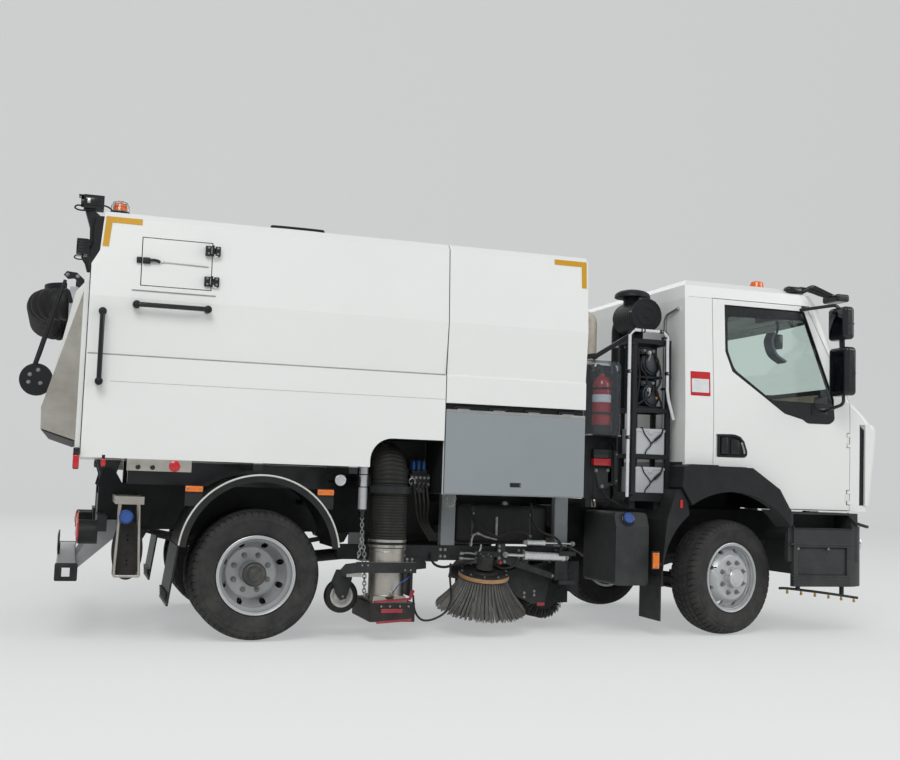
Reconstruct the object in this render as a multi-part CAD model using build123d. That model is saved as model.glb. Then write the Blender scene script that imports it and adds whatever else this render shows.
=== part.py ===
"""Street sweeper truck: a two-axle forward-control truck with a tipping hopper, a fixed
engine housing, a suction nozzle, a side brush and a roller brush.

Millimetres. +X forward, +Y to the driver's left, +Z up. The origin is on the ground, at the
middle of the overall length, on the centre plane. The front wheels stand turned to the left.
"""
from build123d import *
from math import cos, radians, sin, tan
import os

# Lengths along the truck, from the back to the front
rear_overhang = 1560
hopper_back_to_axle = 1150
hopper_length = 2405
housing_length = 1060
service_gap = 865
cab_back_to_axle = 370
front_overhang = 1400
body_joint_gap = 7

wheelbase = (hopper_length - hopper_back_to_axle) + housing_length + service_gap + cab_back_to_axle
overall_length = rear_overhang + wheelbase + front_overhang
back_x = -overall_length / 2
rear_axle_x = back_x + rear_overhang
front_axle_x = rear_axle_x + wheelbase
front_x = overall_length / 2
hopper_back_x = rear_axle_x - hopper_back_to_axle
seam_x = hopper_back_x + hopper_length
housing_front_x = seam_x + housing_length
cab_back_x = housing_front_x + service_gap

# Tyres, rims and tracks
tyre_radius = 433.5
tyre_width = 265
rim_radius = 248
rim_flange = 14
rim_half = 112
front_track = 2015
rear_outer_track = 2095
twin_spacing = 305
steer_angle = 15
kingpin_y = 877
kingpin_radius = 24
stub_radius = 42
rear_stub_radius = 55
running_gap = 0.3

# Ladder frame and what stands on it
frame_width = 860
rail_depth = 240
rail_flange = 75
rail_web = 10
frame_top_z = tyre_radius + 496.5
subframe_height = 72
subframe_top_z = frame_top_z + subframe_height
frame_bottom_z = frame_top_z - rail_depth

# Hopper and engine housing: one cross section, heights above the ground
body_half_width = 1250
body_wall = 25
hopper_floor_z = subframe_top_z + 170
white_bottom_z = hopper_floor_z + 465
bead_z = hopper_floor_z + 666
fold_z = hopper_floor_z + 1028
body_top_z = hopper_floor_z + 1588
skirt_inset = 18
bead_inset = 30
top_inset = 38
top_edge_radius = 40
rest_gap = 0.4

# Cab
cab_half_width = 1140
cab_wall = 55
cab_bottom_z = frame_top_z + 24
cab_floor_z = cab_bottom_z + 346
arch_top_z = cab_bottom_z + 312
arch_radius = 625
panel_gap = 6
door_back_from_cab = 240
cab_pivot_z = cab_bottom_z - 50

# Gear on the right-hand side
nozzle_x = rear_axle_x + 905
nozzle_y = -1085
pipe_radius = 122
pipe_wall = 4
hose_clearance = 0.8
hose_wall = 7
brush_x = rear_axle_x + 1690
brush_y = -900
brush_disc_radius = 188
brush_tilt = 12


def block(x, y, z):
    """A box between two values on each axis."""
    size = [high - low for low, high in (x, y, z)]
    middle = [(high + low) / 2 for low, high in (x, y, z)]
    return Pos(*middle) * Box(*size)


def side_plate(points, y):
    """A polygon in X and Z, as thick as the stretch of Y given."""
    plane = Plane(origin=(0, y[1], 0), x_dir=(1, 0, 0), z_dir=(0, -1, 0))
    return extrude(plane * make_face(Polyline(*points, close=True)), y[1] - y[0])


def cross_plate(points, x):
    """A polygon in Y and Z, as thick as the stretch of X given."""
    plane = Plane(origin=(x[0], 0, 0), x_dir=(0, 1, 0), z_dir=(1, 0, 0))
    return extrude(plane * make_face(Polyline(*points, close=True)), x[1] - x[0])


def side_cut(face, y):
    """A side-view face made solid across a stretch of Y."""
    plane = Plane(origin=(0, y[1], 0), x_dir=(1, 0, 0), z_dir=(0, -1, 0))
    return extrude(plane * face, y[1] - y[0])


def rod(start, end, radius):
    """A round bar from one point to another."""
    line = Line(start, end)
    return sweep(Plane(origin=start, z_dir=line % 0) * Circle(radius), path=line)


def bent_bar(points, bend, radius, bore=0):
    """A round bar or tube bent to one radius at each inner point."""
    path = FilletPolyline(*points, radius=bend)
    section = Circle(radius)
    if bore:
        section -= Circle(bore)
    return sweep(Plane(origin=path @ 0, z_dir=path % 0) * section, path=path)


def drum(centre, axis, radius, length, bore=0):
    """A cylinder along X, Y or Z about its centre, with a bore if one is given."""
    turn = {"X": Rot(0, 90, 0), "Y": Rot(90, 0, 0), "Z": Rot(0, 0, 0)}[axis]
    solid = Cylinder(radius, length)
    if bore:
        solid -= Cylinder(bore, length + 2)
    return Pos(*centre) * turn * solid


def turned(points, centre):
    """A profile of (y, radius) points turned about the axis through centre along Y."""
    return Pos(*centre) * revolve(Plane.YZ * make_face(Polyline(*points, close=True)), Axis.Y)


def both_sides(shape):
    """A piece of the right-hand side with its mirror image on the left."""
    return shape + mirror(shape, Plane.XZ)


def left_of(shape):
    """The left-hand copy of a right-hand piece."""
    return mirror(shape, Plane.XZ)


def hinge(axis, centre, barrel, eye, radius, pin):
    """A pinned hinge: its fixed eyes with the pin in them, and the barrel that turns on the pin."""
    direction = {"X": Vector(1, 0, 0), "Y": Vector(0, 1, 0), "Z": Vector(0, 0, 1)}[axis]
    middle = Vector(*centre)
    fixed = drum(centre, axis, pin, barrel + 2 * eye)
    for side in (-1, 1):
        at = middle + direction * (side * (barrel + eye) / 2)
        fixed += drum((at.X, at.Y, at.Z), axis, radius, eye)
    return fixed, drum(centre, axis, radius, barrel - 2 * running_gap, pin + running_gap)


def one(shape):
    """The shape as a plain solid or compound, ready to write."""
    solids = shape.solids()
    return solids[0] if len(solids) == 1 else Compound(children=list(solids))


# Ladder frame: two channel rails open to the inside, with tubes and channels across
rail_back_x = hopper_back_x + 140
rail_front_x = front_axle_x + 1110
cab_pivot_x = front_axle_x + 1230
cab_pin_radius = 24
cab_ear_y = 430
cab_ear_thickness = 26
cross_tube_radius = 55
rear_mount_x = cab_back_x + 60
mount_pad_x = (housing_front_x - 400, housing_front_x - 240)
mount_pad_z = (frame_bottom_z + 70, frame_bottom_z + 190)
mount_pad_thickness = 10


def rail():
    outer = block((rail_back_x, rail_front_x), (-frame_width / 2, -frame_width / 2 + rail_flange),
                  (frame_bottom_z, frame_top_z))
    hollow = block((rail_back_x - 1, rail_front_x + 1), (-frame_width / 2 + rail_web, 0),
                   (frame_bottom_z + rail_web, frame_top_z - rail_web))
    return outer - hollow


def chassis_frame():
    frame = both_sides(rail())
    web_reach = frame_width - 2 * rail_web
    for x in (rear_axle_x - 560, rear_axle_x + 700, rear_axle_x + 1750, rear_axle_x + 2560):
        frame += drum((x, 0, frame_top_z - rail_web - cross_tube_radius), "Y", cross_tube_radius,
                      web_reach + rail_web)
    for x in (rail_back_x + 6, rail_front_x - 60):
        frame += block((x, x + 54), (-web_reach / 2 - 2, web_reach / 2 + 2),
                       (frame_bottom_z + rail_web - 2, frame_top_z - rail_web + 2))
    # Ears and pins for the cab's front pivot, and posts under its back
    ear = side_plate([(rail_front_x - 200, frame_bottom_z + 20), (rail_front_x, frame_bottom_z + 20),
                      (cab_pivot_x + 40, cab_pivot_z - 60), (cab_pivot_x + 40, cab_pivot_z + 20),
                      (cab_pivot_x + 20, cab_pivot_z + 40), (cab_pivot_x - 30, cab_pivot_z + 40),
                      (rail_front_x, frame_top_z - 30), (rail_front_x - 200, frame_top_z - 30)],
                     (-cab_ear_y, -cab_ear_y + cab_ear_thickness))
    pin = drum((cab_pivot_x, -cab_ear_y - 30, cab_pivot_z), "Y", cab_pin_radius, 100)
    post = block((rear_mount_x - 35, rear_mount_x + 35), (-frame_width / 2, -frame_width / 2 + rail_flange),
                 (frame_top_z - 20, cab_floor_z - 45 - rest_gap))
    frame += both_sides(ear) + both_sides(pin) + both_sides(post)
    # Welded pads on the webs that brackets bolt to
    pad = block(mount_pad_x, (-frame_width / 2 - mount_pad_thickness, -frame_width / 2), mount_pad_z)
    frame += both_sides(pad)
    frame += block((rear_mount_x - 35, rear_mount_x + 35), (-frame_width / 2 + 20, frame_width / 2 - 20),
                   (cab_floor_z - 125, cab_floor_z - 65))
    return frame


# Subframe of the sweeper body, with the hopper's rear pivot and the carriers of the gear
hopper_pivot_x = hopper_back_x + 200
hopper_pivot_z = subframe_top_z + 62
pivot_pin_radius = 28
lug_thickness = 40
lug_y = 300
post_x = (rear_axle_x + 1435, rear_axle_x + 2330)
gear_beam_z = (520, 625)
gear_beam_y = (-800, -740)
gear_beam_x = (rear_axle_x + 620, rear_axle_x + 2420)
swing_pin_x = rear_axle_x + 2325
swing_pin_y = -880
swing_pin_z = (360, 600)
swing_pin_radius = 20
hose_clamp_z = subframe_top_z + 20
hose_bottom_z = 622
hose_mouth_z = hopper_floor_z + 53
hose_bend = 150
hose_radius = pipe_radius + hose_clearance + hose_wall
roller_x = rear_axle_x + 2230
roller_z = 250
roller_radius = 190
roller_half = 560
roller_skew = 10
roller_shaft_radius = 24
hood_gap = 40


def sweeper_subframe():
    inner_y = -frame_width / 2 + rail_flange
    runner = block((rail_back_x, housing_front_x), (-frame_width / 2, inner_y), (frame_top_z, subframe_top_z))
    frame = both_sides(runner)
    for x in (rail_back_x + 40, rear_axle_x + 200, seam_x - 60, housing_front_x - 70):
        frame += block((x, x + 60), (-frame_width / 2 + 5, frame_width / 2 - 5),
                       (frame_top_z + 6, subframe_top_z - 6))
    # Bearing ears of the hopper pivot
    ear = side_plate([(hopper_pivot_x - 70, subframe_top_z - 20), (hopper_pivot_x - 45, hopper_pivot_z + 30),
                      (hopper_pivot_x - 20, hopper_pivot_z + 45), (hopper_pivot_x + 20, hopper_pivot_z + 45),
                      (hopper_pivot_x + 45, hopper_pivot_z + 30),
                      (hopper_pivot_x + 110, subframe_top_z - 20)],
                     (-frame_width / 2, inner_y - 35))
    frame += both_sides(ear)
    frame += drum((hopper_pivot_x, 0, hopper_pivot_z), "Y", pivot_pin_radius, frame_width)
    # Outriggers and grey posts under the engine housing, with the long beam of the gear
    for x in post_x:
        frame += block((x - 50, x + 50), (-800, -frame_width / 2 + 5), (frame_top_z + 8, subframe_top_z))
        frame += block((x - 50, x + 50), (gear_beam_y[0], gear_beam_y[1]),
                       (gear_beam_z[1] - 20, subframe_top_z))
        frame += block((x - 40, x + 40), (gear_beam_y[1] - 5, -frame_width / 2),
                       (frame_bottom_z + 5, frame_bottom_z + 75))
    frame += block(gear_beam_x, gear_beam_y, gear_beam_z)
    # Clamp that holds the suction hose, on a post beside the subframe
    post_y = (-frame_width / 2 - 50, -frame_width / 2 - 10)
    frame += drum((nozzle_x, nozzle_y, hose_clamp_z), "Z", hose_radius + 22, 50, hose_radius)
    frame += block((nozzle_x - 40, nozzle_x + 40), (nozzle_y + hose_radius + 8, post_y[1]),
                   (hose_clamp_z - 20, hose_clamp_z + 20))
    frame += block((nozzle_x - 40, nozzle_x + 40), post_y, (frame_top_z + 12, hose_clamp_z + 20))
    frame += block((nozzle_x - 40, nozzle_x + 40), (post_y[1] - 2, -frame_width / 2),
                   (frame_top_z + 12, subframe_top_z))
    # Swing pin of the side brush, in a bracket at the front end of the beam
    bracket = block((swing_pin_x - 60, swing_pin_x + 70), (swing_pin_y - 60, gear_beam_y[0] + 5),
                    (swing_pin_z[1] - 30, swing_pin_z[1]))
    bracket += block((swing_pin_x - 60, swing_pin_x + 70), (swing_pin_y - 60, gear_beam_y[0] + 5),
                     (swing_pin_z[0], swing_pin_z[0] + 30))
    bracket += block((swing_pin_x - 60, swing_pin_x + 70), (gear_beam_y[0] - 12, gear_beam_y[0] + 5),
                     swing_pin_z)
    bracket += Pos(swing_pin_x, swing_pin_y, sum(swing_pin_z) / 2) * Cylinder(
        swing_pin_radius, swing_pin_z[1] - swing_pin_z[0])
    frame += bracket
    return frame


def roller_frame(shape):
    """Places a shape drawn about the roller's shaft, which lies along Y at the origin."""
    return Pos(roller_x, 0, roller_z) * Rot(0, 0, roller_skew) * shape


def roller_hood():
    """Half-round hood with two end plates that carry the roller's stub shafts, on arms under the rails."""
    outer = Rot(90, 0, 0) * Cylinder(roller_radius + hood_gap + 10, 2 * roller_half + 80)
    inner = Rot(90, 0, 0) * Cylinder(roller_radius + hood_gap, 2 * roller_half + 60)
    upper = block((-400, 400), (-roller_half - 60, roller_half + 60), (30, 400))
    hood = (outer - inner) & upper
    for side in (-1, 1):
        y = side * (roller_half + 35)
        end = block((-170, 170), (y - 6, y + 6), (-60, 130))
        end += Pos(0, side * (roller_half + 8), 0) * Rot(90, 0, 0) * Cylinder(roller_shaft_radius, 60)
        hood += end
    hood = roller_frame(hood)
    crown = roller_z + roller_radius + hood_gap + 2
    for y in (-frame_width / 2 + rail_flange / 2, frame_width / 2 - rail_flange / 2):
        x = roller_x - y * tan(radians(roller_skew))
        hood += side_plate([(x - 60, crown), (x + 60, crown), (x + 40, frame_bottom_z),
                            (x - 80, frame_bottom_z)],
                           (y - 15, y + 15))
    return hood


def roller_brush():
    body = Rot(90, 0, 0) * Cylinder(roller_radius, 2 * roller_half)
    tube = Rot(90, 0, 0) * Cylinder(roller_shaft_radius + running_gap, 2 * roller_half + 2)
    return roller_frame(body - tube)


# Engine, gearbox and propeller shaft as plain blocks and a tube
engine_z = (560, 1160)
engine_half_width = 300
shaft_radius = 45


def engine_and_shaft():
    """Engine, gearbox and propeller shaft, as plain blocks and a tube."""
    engine = block((front_axle_x - 330, front_axle_x + 640), (-engine_half_width, engine_half_width),
                   engine_z)
    engine += block((front_axle_x - 900, front_axle_x - 330), (-210, 210), (600, 960))
    # Feet between the flanges of the rails
    foot_y = frame_width / 2 - rail_web - running_gap
    for x in (front_axle_x - 250, front_axle_x + 480):
        engine += block((x, x + 80), (-foot_y, foot_y), (frame_top_z - 110, frame_top_z - 60))
    start = Vector(rear_axle_x + 336, 0, tyre_radius + 20)
    end = Vector(front_axle_x - 890, 0, 700)
    return engine + rod(start, end, shaft_radius)


# Axles: a dropped forged beam in front, a banjo housing behind
spring_y = 405
spring_width = 80
fist_half_height = 52


def front_axle():
    """A dropped beam of I section, with a round fist at each end for the kingpin."""
    middle = tyre_radius
    right = [(-kingpin_y, middle + fist_half_height), (-kingpin_y + 65, middle + fist_half_height),
             (-640, middle - 20), (-540, middle - 60)]
    under = [(-560, middle - 150), (-690, middle - 105), (-kingpin_y + 70, middle - fist_half_height),
             (-kingpin_y, middle - fist_half_height)]
    outline = right + [(-y, z) for y, z in reversed(right)] + [(-y, z) for y, z in reversed(under)] + under
    beam = cross_plate(outline, (front_axle_x - 42, front_axle_x + 42))
    for x in (front_axle_x - 42, front_axle_x + 10):
        beam -= cross_plate([(-520, middle - 75), (520, middle - 75), (520, middle - 135),
                             (-520, middle - 135)],
                            (x, x + 32))
    fist = Pos(front_axle_x, -kingpin_y, middle) * Cylinder(44, 2 * fist_half_height)
    bore = Pos(front_axle_x, -kingpin_y, middle) * Cylinder(kingpin_radius + running_gap, 200)
    return beam + both_sides(fist) - both_sides(bore)


def rear_axle():
    housing = drum((rear_axle_x, 0, tyre_radius), "Y", 75, 1120)
    housing += drum((rear_axle_x, 0, tyre_radius), "X", 205, 150)
    cone = Pos(rear_axle_x + 150, 0, tyre_radius) * Rot(0, 90, 0) * Cone(190, 90, 180)
    dome = Pos(rear_axle_x - 110, 0, tyre_radius) * Rot(0, -90, 0) * Cone(195, 120, 80)
    housing += cone + dome
    housing += drum((rear_axle_x + 285, 0, tyre_radius + 20), "X", 62, 90)
    housing += drum((rear_axle_x, 0, tyre_radius), "Y", rear_stub_radius, 2 * rear_stub_reach)
    return housing


rear_stub_reach = rear_outer_track / 2 - 40
eye_radius = 26


def leaf_spring(axle_x, eye_reach, seat_z, eye_z, leaves):
    """One spring on the right: leaves bowed down between two eyes, on a seat, with its hangers."""
    spring = None
    drop = eye_z - seat_z
    for index in range(leaves):
        reach = eye_reach * (1 - 0.16 * index)
        low = seat_z + 14 * (leaves - 1 - index)
        rise = drop * (reach / eye_reach) ** 2
        centre_line = ThreePointArc((axle_x - reach, low + rise * 0.94), (axle_x, low),
                                    (axle_x + reach, low + rise * 0.94))
        upper = ThreePointArc((axle_x - reach, low + rise * 0.94 + 14), (axle_x, low + 14.2),
                              (axle_x + reach, low + rise * 0.94 + 14))
        edges = [centre_line, Line(centre_line @ 1, upper @ 1), upper, Line(upper @ 0, centre_line @ 0)]
        plane = Plane(origin=(0, -spring_y + spring_width / 2, 0), x_dir=(1, 0, 0), z_dir=(0, -1, 0))
        leaf = extrude(plane * make_face(Wire([*edges])), spring_width)
        spring = leaf if spring is None else spring + leaf
    for side in (-1, 1):
        x = axle_x + side * eye_reach
        spring += drum((x, -spring_y, eye_z), "Y", eye_radius, spring_width)
        spring += side_plate([(x - 60, frame_bottom_z), (x + 60, frame_bottom_z), (x + 22, eye_z - 20),
                              (x - 22, eye_z - 20)],
                             (-spring_y - spring_width / 2 - 12, -spring_y - spring_width / 2))
        spring += block((x - 60, x + 60), (-spring_y - spring_width / 2 - 12, -spring_y + spring_width / 2),
                        (frame_bottom_z - 12, frame_bottom_z))
    clamp = block((axle_x - 60, axle_x + 60), (-spring_y - spring_width / 2, -spring_y + spring_width / 2),
                  (seat_z + 13 * leaves, seat_z + 13 * leaves + 22))
    return spring + clamp


front_seat_z = tyre_radius - 60
rear_seat_z = tyre_radius + 75


def leaf_springs():
    front = leaf_spring(front_axle_x, 720, front_seat_z, frame_bottom_z - 62, 3)
    rear = leaf_spring(rear_axle_x, 720, rear_seat_z + 30, frame_bottom_z - 50, 4)
    rear += block((rear_axle_x - 60, rear_axle_x + 60), (-spring_y - 38, -spring_y + 38),
                  (rear_seat_z - 22, rear_seat_z + 32)) - drum(
        (rear_axle_x, -spring_y, tyre_radius), "Y", 75, 200)
    return both_sides(front) + both_sides(rear)


# Wheels. Each is made at the origin about Y, outer side towards -Y, and then moved.
def tyre_solid():
    """A hollow tyre with its beads inside the rim's flanges."""
    half = tyre_width / 2
    crown = tyre_radius - 18
    bead = rim_radius + running_gap
    wall = [(-rim_half + 9, bead), (-rim_half + 9, rim_radius + rim_flange + running_gap), (-half + 14, 274),
            (-half, 345), (-half + 6, 385), (-112, crown)]
    crown_arc = ThreePointArc((-112, crown), (0, tyre_radius), (112, crown))
    liner = [(84, bead), (98, 280), (114, 345), (90, 394), (-90, 394), (-114, 345), (-98, 280), (-84, bead)]
    edges = [*Polyline(*wall).edges(), *crown_arc.edges(),
             *Polyline(*[(-y, r) for y, r in reversed(wall)], *liner, wall[0]).edges()]
    return revolve(Plane.YZ * make_face(Wire(edges)), Axis.Y)


def rim_barrel():
    """Profile of the rim's barrel and flanges, as (y, radius) points."""
    outer, half = rim_radius, rim_half
    return [(-half, outer + rim_flange), (-half + 8, outer + rim_flange), (-half + 8.3, outer),
            (-62, outer - 4),
            (-40, outer - 22), (40, outer - 22), (62, outer - 4), (half - 8.3, outer),
            (half - 8, outer + rim_flange),
            (half, outer + rim_flange), (half, outer - 6), (70, outer - 12), (44, outer - 30),
            (-44, outer - 30),
            (-70, outer - 12), (-half, outer - 6)]


vent_count = 8
front_hub_face = 118
drum_radius = 176


def front_rim():
    """Front wheel: the disc stands out past the rim, with a drum behind it."""
    face = -front_hub_face
    disc = [(-44, rim_radius - 26), (-62, rim_radius - 40), (face + 8, 172), (face, 160), (face, 78),
            (face - 22, 70), (face - 22, 0), (face + 30, 0), (face + 30, 90), (face + 14, 150),
            (-52, rim_radius - 52), (-30, rim_radius - 26)]
    bore = stub_radius + running_gap
    hub = [(face + 25, bore), (face + 25, 92), (-20, 92), (10, drum_radius), (100, drum_radius),
           (100, drum_radius - 14), (30, drum_radius - 14), (12, bore)]
    rim = turned(rim_barrel(), (0, 0, 0)) + turned(disc, (0, 0, 0)) + turned(hub, (0, 0, 0))
    return cut_vents(rim, -80, 206, 90)


def rear_rims():
    """Twin rear rims, set disc to disc on one hub that ends in a cap, with the drum inside."""
    middle = twin_spacing / 2
    bore = rear_stub_radius + running_gap
    dish = [(22, rim_radius - 28), (38, rim_radius - 28), (middle - 16, 186), (middle + 0.5, 172),
            (middle + 0.5, 70),
            (middle - 12, 70), (middle - 12, 168), (middle - 24, 178)]
    inner_dish = [(twin_spacing - y, r) for y, r in dish]
    hub = [(-48, 0), (-48, 62), (-38, 76), (-30, 80), (middle - 12, 80), (middle - 12, 150),
           (middle + 32, 150),
           (middle + 32, drum_radius), (middle + 247, drum_radius), (middle + 247, drum_radius - 14),
           (middle + 48, drum_radius - 14), (middle + 48, bore), (40 - running_gap, bore),
           (40 - running_gap, 0)]
    rims = turned(rim_barrel(), (0, 0, 0)) + turned(rim_barrel(), (0, twin_spacing, 0))
    rims += turned(dish, (0, 0, 0)) + turned(inner_dish, (0, 0, 0)) + turned(hub, (0, 0, 0))
    return cut_vents(rims, middle, 201, 250)


def cut_vents(rim, y, radius, depth):
    """Cuts the ring of hand holes through a wheel's discs."""
    hole = Pos(0, y, radius) * Rot(90, 0, 0) * Cylinder(20, depth)
    for index in range(vent_count):
        rim -= Rot(0, (index + 0.5) * 360 / vent_count, 0) * hole
    return rim


def in_steer(shape):
    """Turns a right-hand front piece about its kingpin to the angle that the wheels stand at."""
    pin = Pos(front_axle_x, -kingpin_y, 0)
    return pin * Rot(0, 0, steer_angle) * Pos(-front_axle_x, kingpin_y, 0) * shape


def in_left_steer(shape):
    """The same for the left-hand side."""
    pin = Pos(front_axle_x, kingpin_y, 0)
    return pin * Rot(0, 0, steer_angle) * Pos(-front_axle_x, -kingpin_y, 0) * left_of(shape)


def knuckle():
    """A forked knuckle with its kingpin, brake backing plate and stub axle."""
    ear_gap = 5
    top = tyre_radius + fist_half_height + ear_gap
    low = tyre_radius - fist_half_height - ear_gap
    pin = Pos(front_axle_x, -kingpin_y, tyre_radius) * Cylinder(kingpin_radius,
                                                                2 * (fist_half_height + ear_gap + 34))
    ears = Pos(front_axle_x, -kingpin_y, top + 17) * Cylinder(46, 34)
    ears += Pos(front_axle_x, -kingpin_y, low - 17) * Cylinder(46, 34)
    ears += block((front_axle_x - 46, front_axle_x + 46), (-kingpin_y - 74, -kingpin_y), (top, top + 34))
    ears += block((front_axle_x - 46, front_axle_x + 46), (-kingpin_y - 74, -kingpin_y), (low - 34, low))
    web = block((front_axle_x - 46, front_axle_x + 46), (-kingpin_y - 74, -kingpin_y - 52),
                (low - 34, top + 34))
    stub_y = (-front_track / 2 - 60, -kingpin_y - 60)
    stub = drum((front_axle_x, sum(stub_y) / 2, tyre_radius), "Y", stub_radius, stub_y[1] - stub_y[0])
    arm = block((front_axle_x - 190, front_axle_x - 30), (-kingpin_y - 20, -kingpin_y + 20),
                (low - 34, low - 6))
    return pin + ears + web + stub + arm


# Cross section of the hopper and the housing, right half, from the bottom up
def body_outline(bottom_z):
    lower = body_half_width - skirt_inset
    half = [(-lower, bottom_z), (-lower, bead_z - 14), (-body_half_width + bead_inset, bead_z),
            (-body_half_width, fold_z), (-body_half_width + top_inset, body_top_z - top_edge_radius),
            (-body_half_width + top_inset + top_edge_radius, body_top_z)]
    return half + [(-y, z) for y, z in reversed(half)]


def body_prism(bottom_z, x, inset=0):
    """The body's cross section along a stretch of X, taken in by a wall if one is given."""
    plane = Plane(origin=(x[0], 0, 0), x_dir=(0, 1, 0), z_dir=(1, 0, 0))
    face = make_face(Polyline(*body_outline(bottom_z), close=True))
    if inset:
        face = offset(face, -inset, kind=Kind.INTERSECTION)
    return extrude(plane * face, x[1] - x[0])


# Hopper: an open-backed tank with a notch for the suction hose, bearers and pivot lugs
notch_back_x = rear_axle_x + 725
notch_height = 200
notch_depth_y = -790
notch_corner = 155
back_kink_z = hopper_floor_z + 1234
hatch_x = (rear_axle_x - 845, rear_axle_x - 392)
hatch_z = (hopper_floor_z + 1112, hopper_floor_z + 1436)
hatch_hinge_x = hatch_x[1] - 2
hatch_hinge_y = -body_half_width - 8
hatch_hinge_z = (hatch_z[0] + 60, hatch_z[1] - 60)
hopper_front_x = seam_x - body_joint_gap
roof_cover_x = (hopper_back_x + 1000, hopper_back_x + 1600)
roof_cover_half_width = 250
roof_cover_thickness = 6


# Tailgate's place against the hopper
gate_hinge_x = hopper_back_x - 18
gate_hinge_y = (-700, 0, 700)
gate_hinge_z = back_kink_z - 12
gate_half_width = 905
gate_wall = 20
gate_gap = 6
cheek_half_width = 1190


def notch_solid(grow):
    """The space of the notch at the hopper's lower front corner, grown by a wall thickness."""
    top = hopper_floor_z + notch_height + grow
    left = notch_back_x - grow
    radius = notch_corner + grow
    plane = Plane(origin=(0, notch_depth_y + grow, 0), x_dir=(1, 0, 0), z_dir=(0, -1, 0))
    edges = [Line((left, hopper_floor_z - 60), (left, top - radius)),
             Line((left + radius, top), (hopper_front_x + 60, top)),
             Line((hopper_front_x + 60, top), (hopper_front_x + 60, hopper_floor_z - 60)),
             Line((hopper_front_x + 60, hopper_floor_z - 60), (left, hopper_floor_z - 60))]
    edges.append(RadiusArc((left, top - radius), (left + radius, top), radius))
    return extrude(plane * make_face(Wire(edges)), body_half_width + 100 + notch_depth_y + grow + 60)


def back_trim():
    """What the slanted upper back edge takes off the hopper."""
    x = hopper_back_x
    return side_plate([(x - 200, back_kink_z), (x, back_kink_z), (x + 48, back_kink_z + 90),
                       (x + 68, body_top_z + 10), (x - 200, body_top_z + 10)], (-1400, 1400))


def hopper_shell():
    shell = body_prism(hopper_floor_z, (hopper_back_x, hopper_front_x))
    cavity = body_prism(hopper_floor_z, (hopper_back_x - 100, hopper_front_x - body_wall), body_wall)
    cavity -= notch_solid(body_wall)
    # The back above the tailgate's hinge stays closed by a sloping wall
    back_wall = side_plate([(hopper_back_x - 200, back_kink_z - 10), (hopper_back_x + 26, back_kink_z - 10),
                            (hopper_back_x + 74, back_kink_z + 80), (hopper_back_x + 94, body_top_z + 10),
                            (hopper_back_x - 200, body_top_z + 10)], (-1400, 1400))
    shell -= cavity - back_wall
    shell -= notch_solid(0)
    shell -= back_trim()
    # The inlet that the suction hose blows through
    shell -= drum((nozzle_x, notch_depth_y, hose_mouth_z), "Y", hose_radius - hose_wall, 100)
    # The hatch opening on the right, and a thin pressed seam along each side
    shell -= block((hatch_x[0], hatch_x[1]), (-1400, -1000), hatch_z)
    shell += block(roof_cover_x, (-roof_cover_half_width, roof_cover_half_width),
                   (body_top_z - 1, body_top_z + roof_cover_thickness))
    # Long bearers that rest on the subframe, and the pivot lugs
    bearer_y = (-frame_width / 2, -frame_width / 2 + rail_flange)
    bearer = block((hopper_back_x + 330, hopper_front_x - 40), bearer_y,
                   (subframe_top_z + rest_gap, hopper_floor_z + 2))
    shell += both_sides(bearer)
    for x in (hopper_back_x + 420, hopper_back_x + 1100, hopper_back_x + 1750):
        shell += block((x, x + 60), (-1150, 1150), (hopper_floor_z - 50, hopper_floor_z + 2))
    lug = side_plate([(hopper_pivot_x - 90, hopper_floor_z + 2), (hopper_pivot_x - 45, hopper_pivot_z - 30),
                      (hopper_pivot_x - 18, hopper_pivot_z - 48), (hopper_pivot_x + 18, hopper_pivot_z - 48),
                      (hopper_pivot_x + 45, hopper_pivot_z - 30), (hopper_pivot_x + 90, hopper_floor_z + 2)],
                     (-lug_y - lug_thickness / 2, -lug_y + lug_thickness / 2))
    lug -= drum((hopper_pivot_x, -lug_y, hopper_pivot_z), "Y", pivot_pin_radius + running_gap, 100)
    shell += both_sides(lug)
    # Fixed eyes of the hatch's hinges and of the tailgate's
    for z in hatch_hinge_z:
        fixed, _ = hinge("Z", (hatch_hinge_x, hatch_hinge_y, z), 40, 16, 8, 4)
        for side in (-28, 28):
            fixed += block((hatch_hinge_x, hatch_hinge_x + 30), (hatch_hinge_y - 4, -body_half_width + 32),
                           (z + side - 8, z + side + 8))
        shell += fixed
    for y in gate_hinge_y:
        fixed, _ = hinge("Y", (gate_hinge_x, y, gate_hinge_z), 120, 20, 15, 8)
        for side in (-70, 70):
            fixed += block((gate_hinge_x, hopper_back_x + 4), (y + side - 10, y + side + 10),
                           (gate_hinge_z - 12, gate_hinge_z + 12))
        shell += fixed
    return shell


def hopper_wall_band(thickness, outline_z):
    """A stretch of the body's side wall on the right, as thick as given."""
    outer = body_prism(hopper_floor_z, (hopper_back_x, hopper_front_x))
    inner = body_prism(hopper_floor_z - 200, (hopper_back_x - 10, hopper_front_x + 10), thickness)
    return (outer - inner) & block((hopper_back_x, hopper_front_x), (-1400, -900), outline_z)


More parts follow.
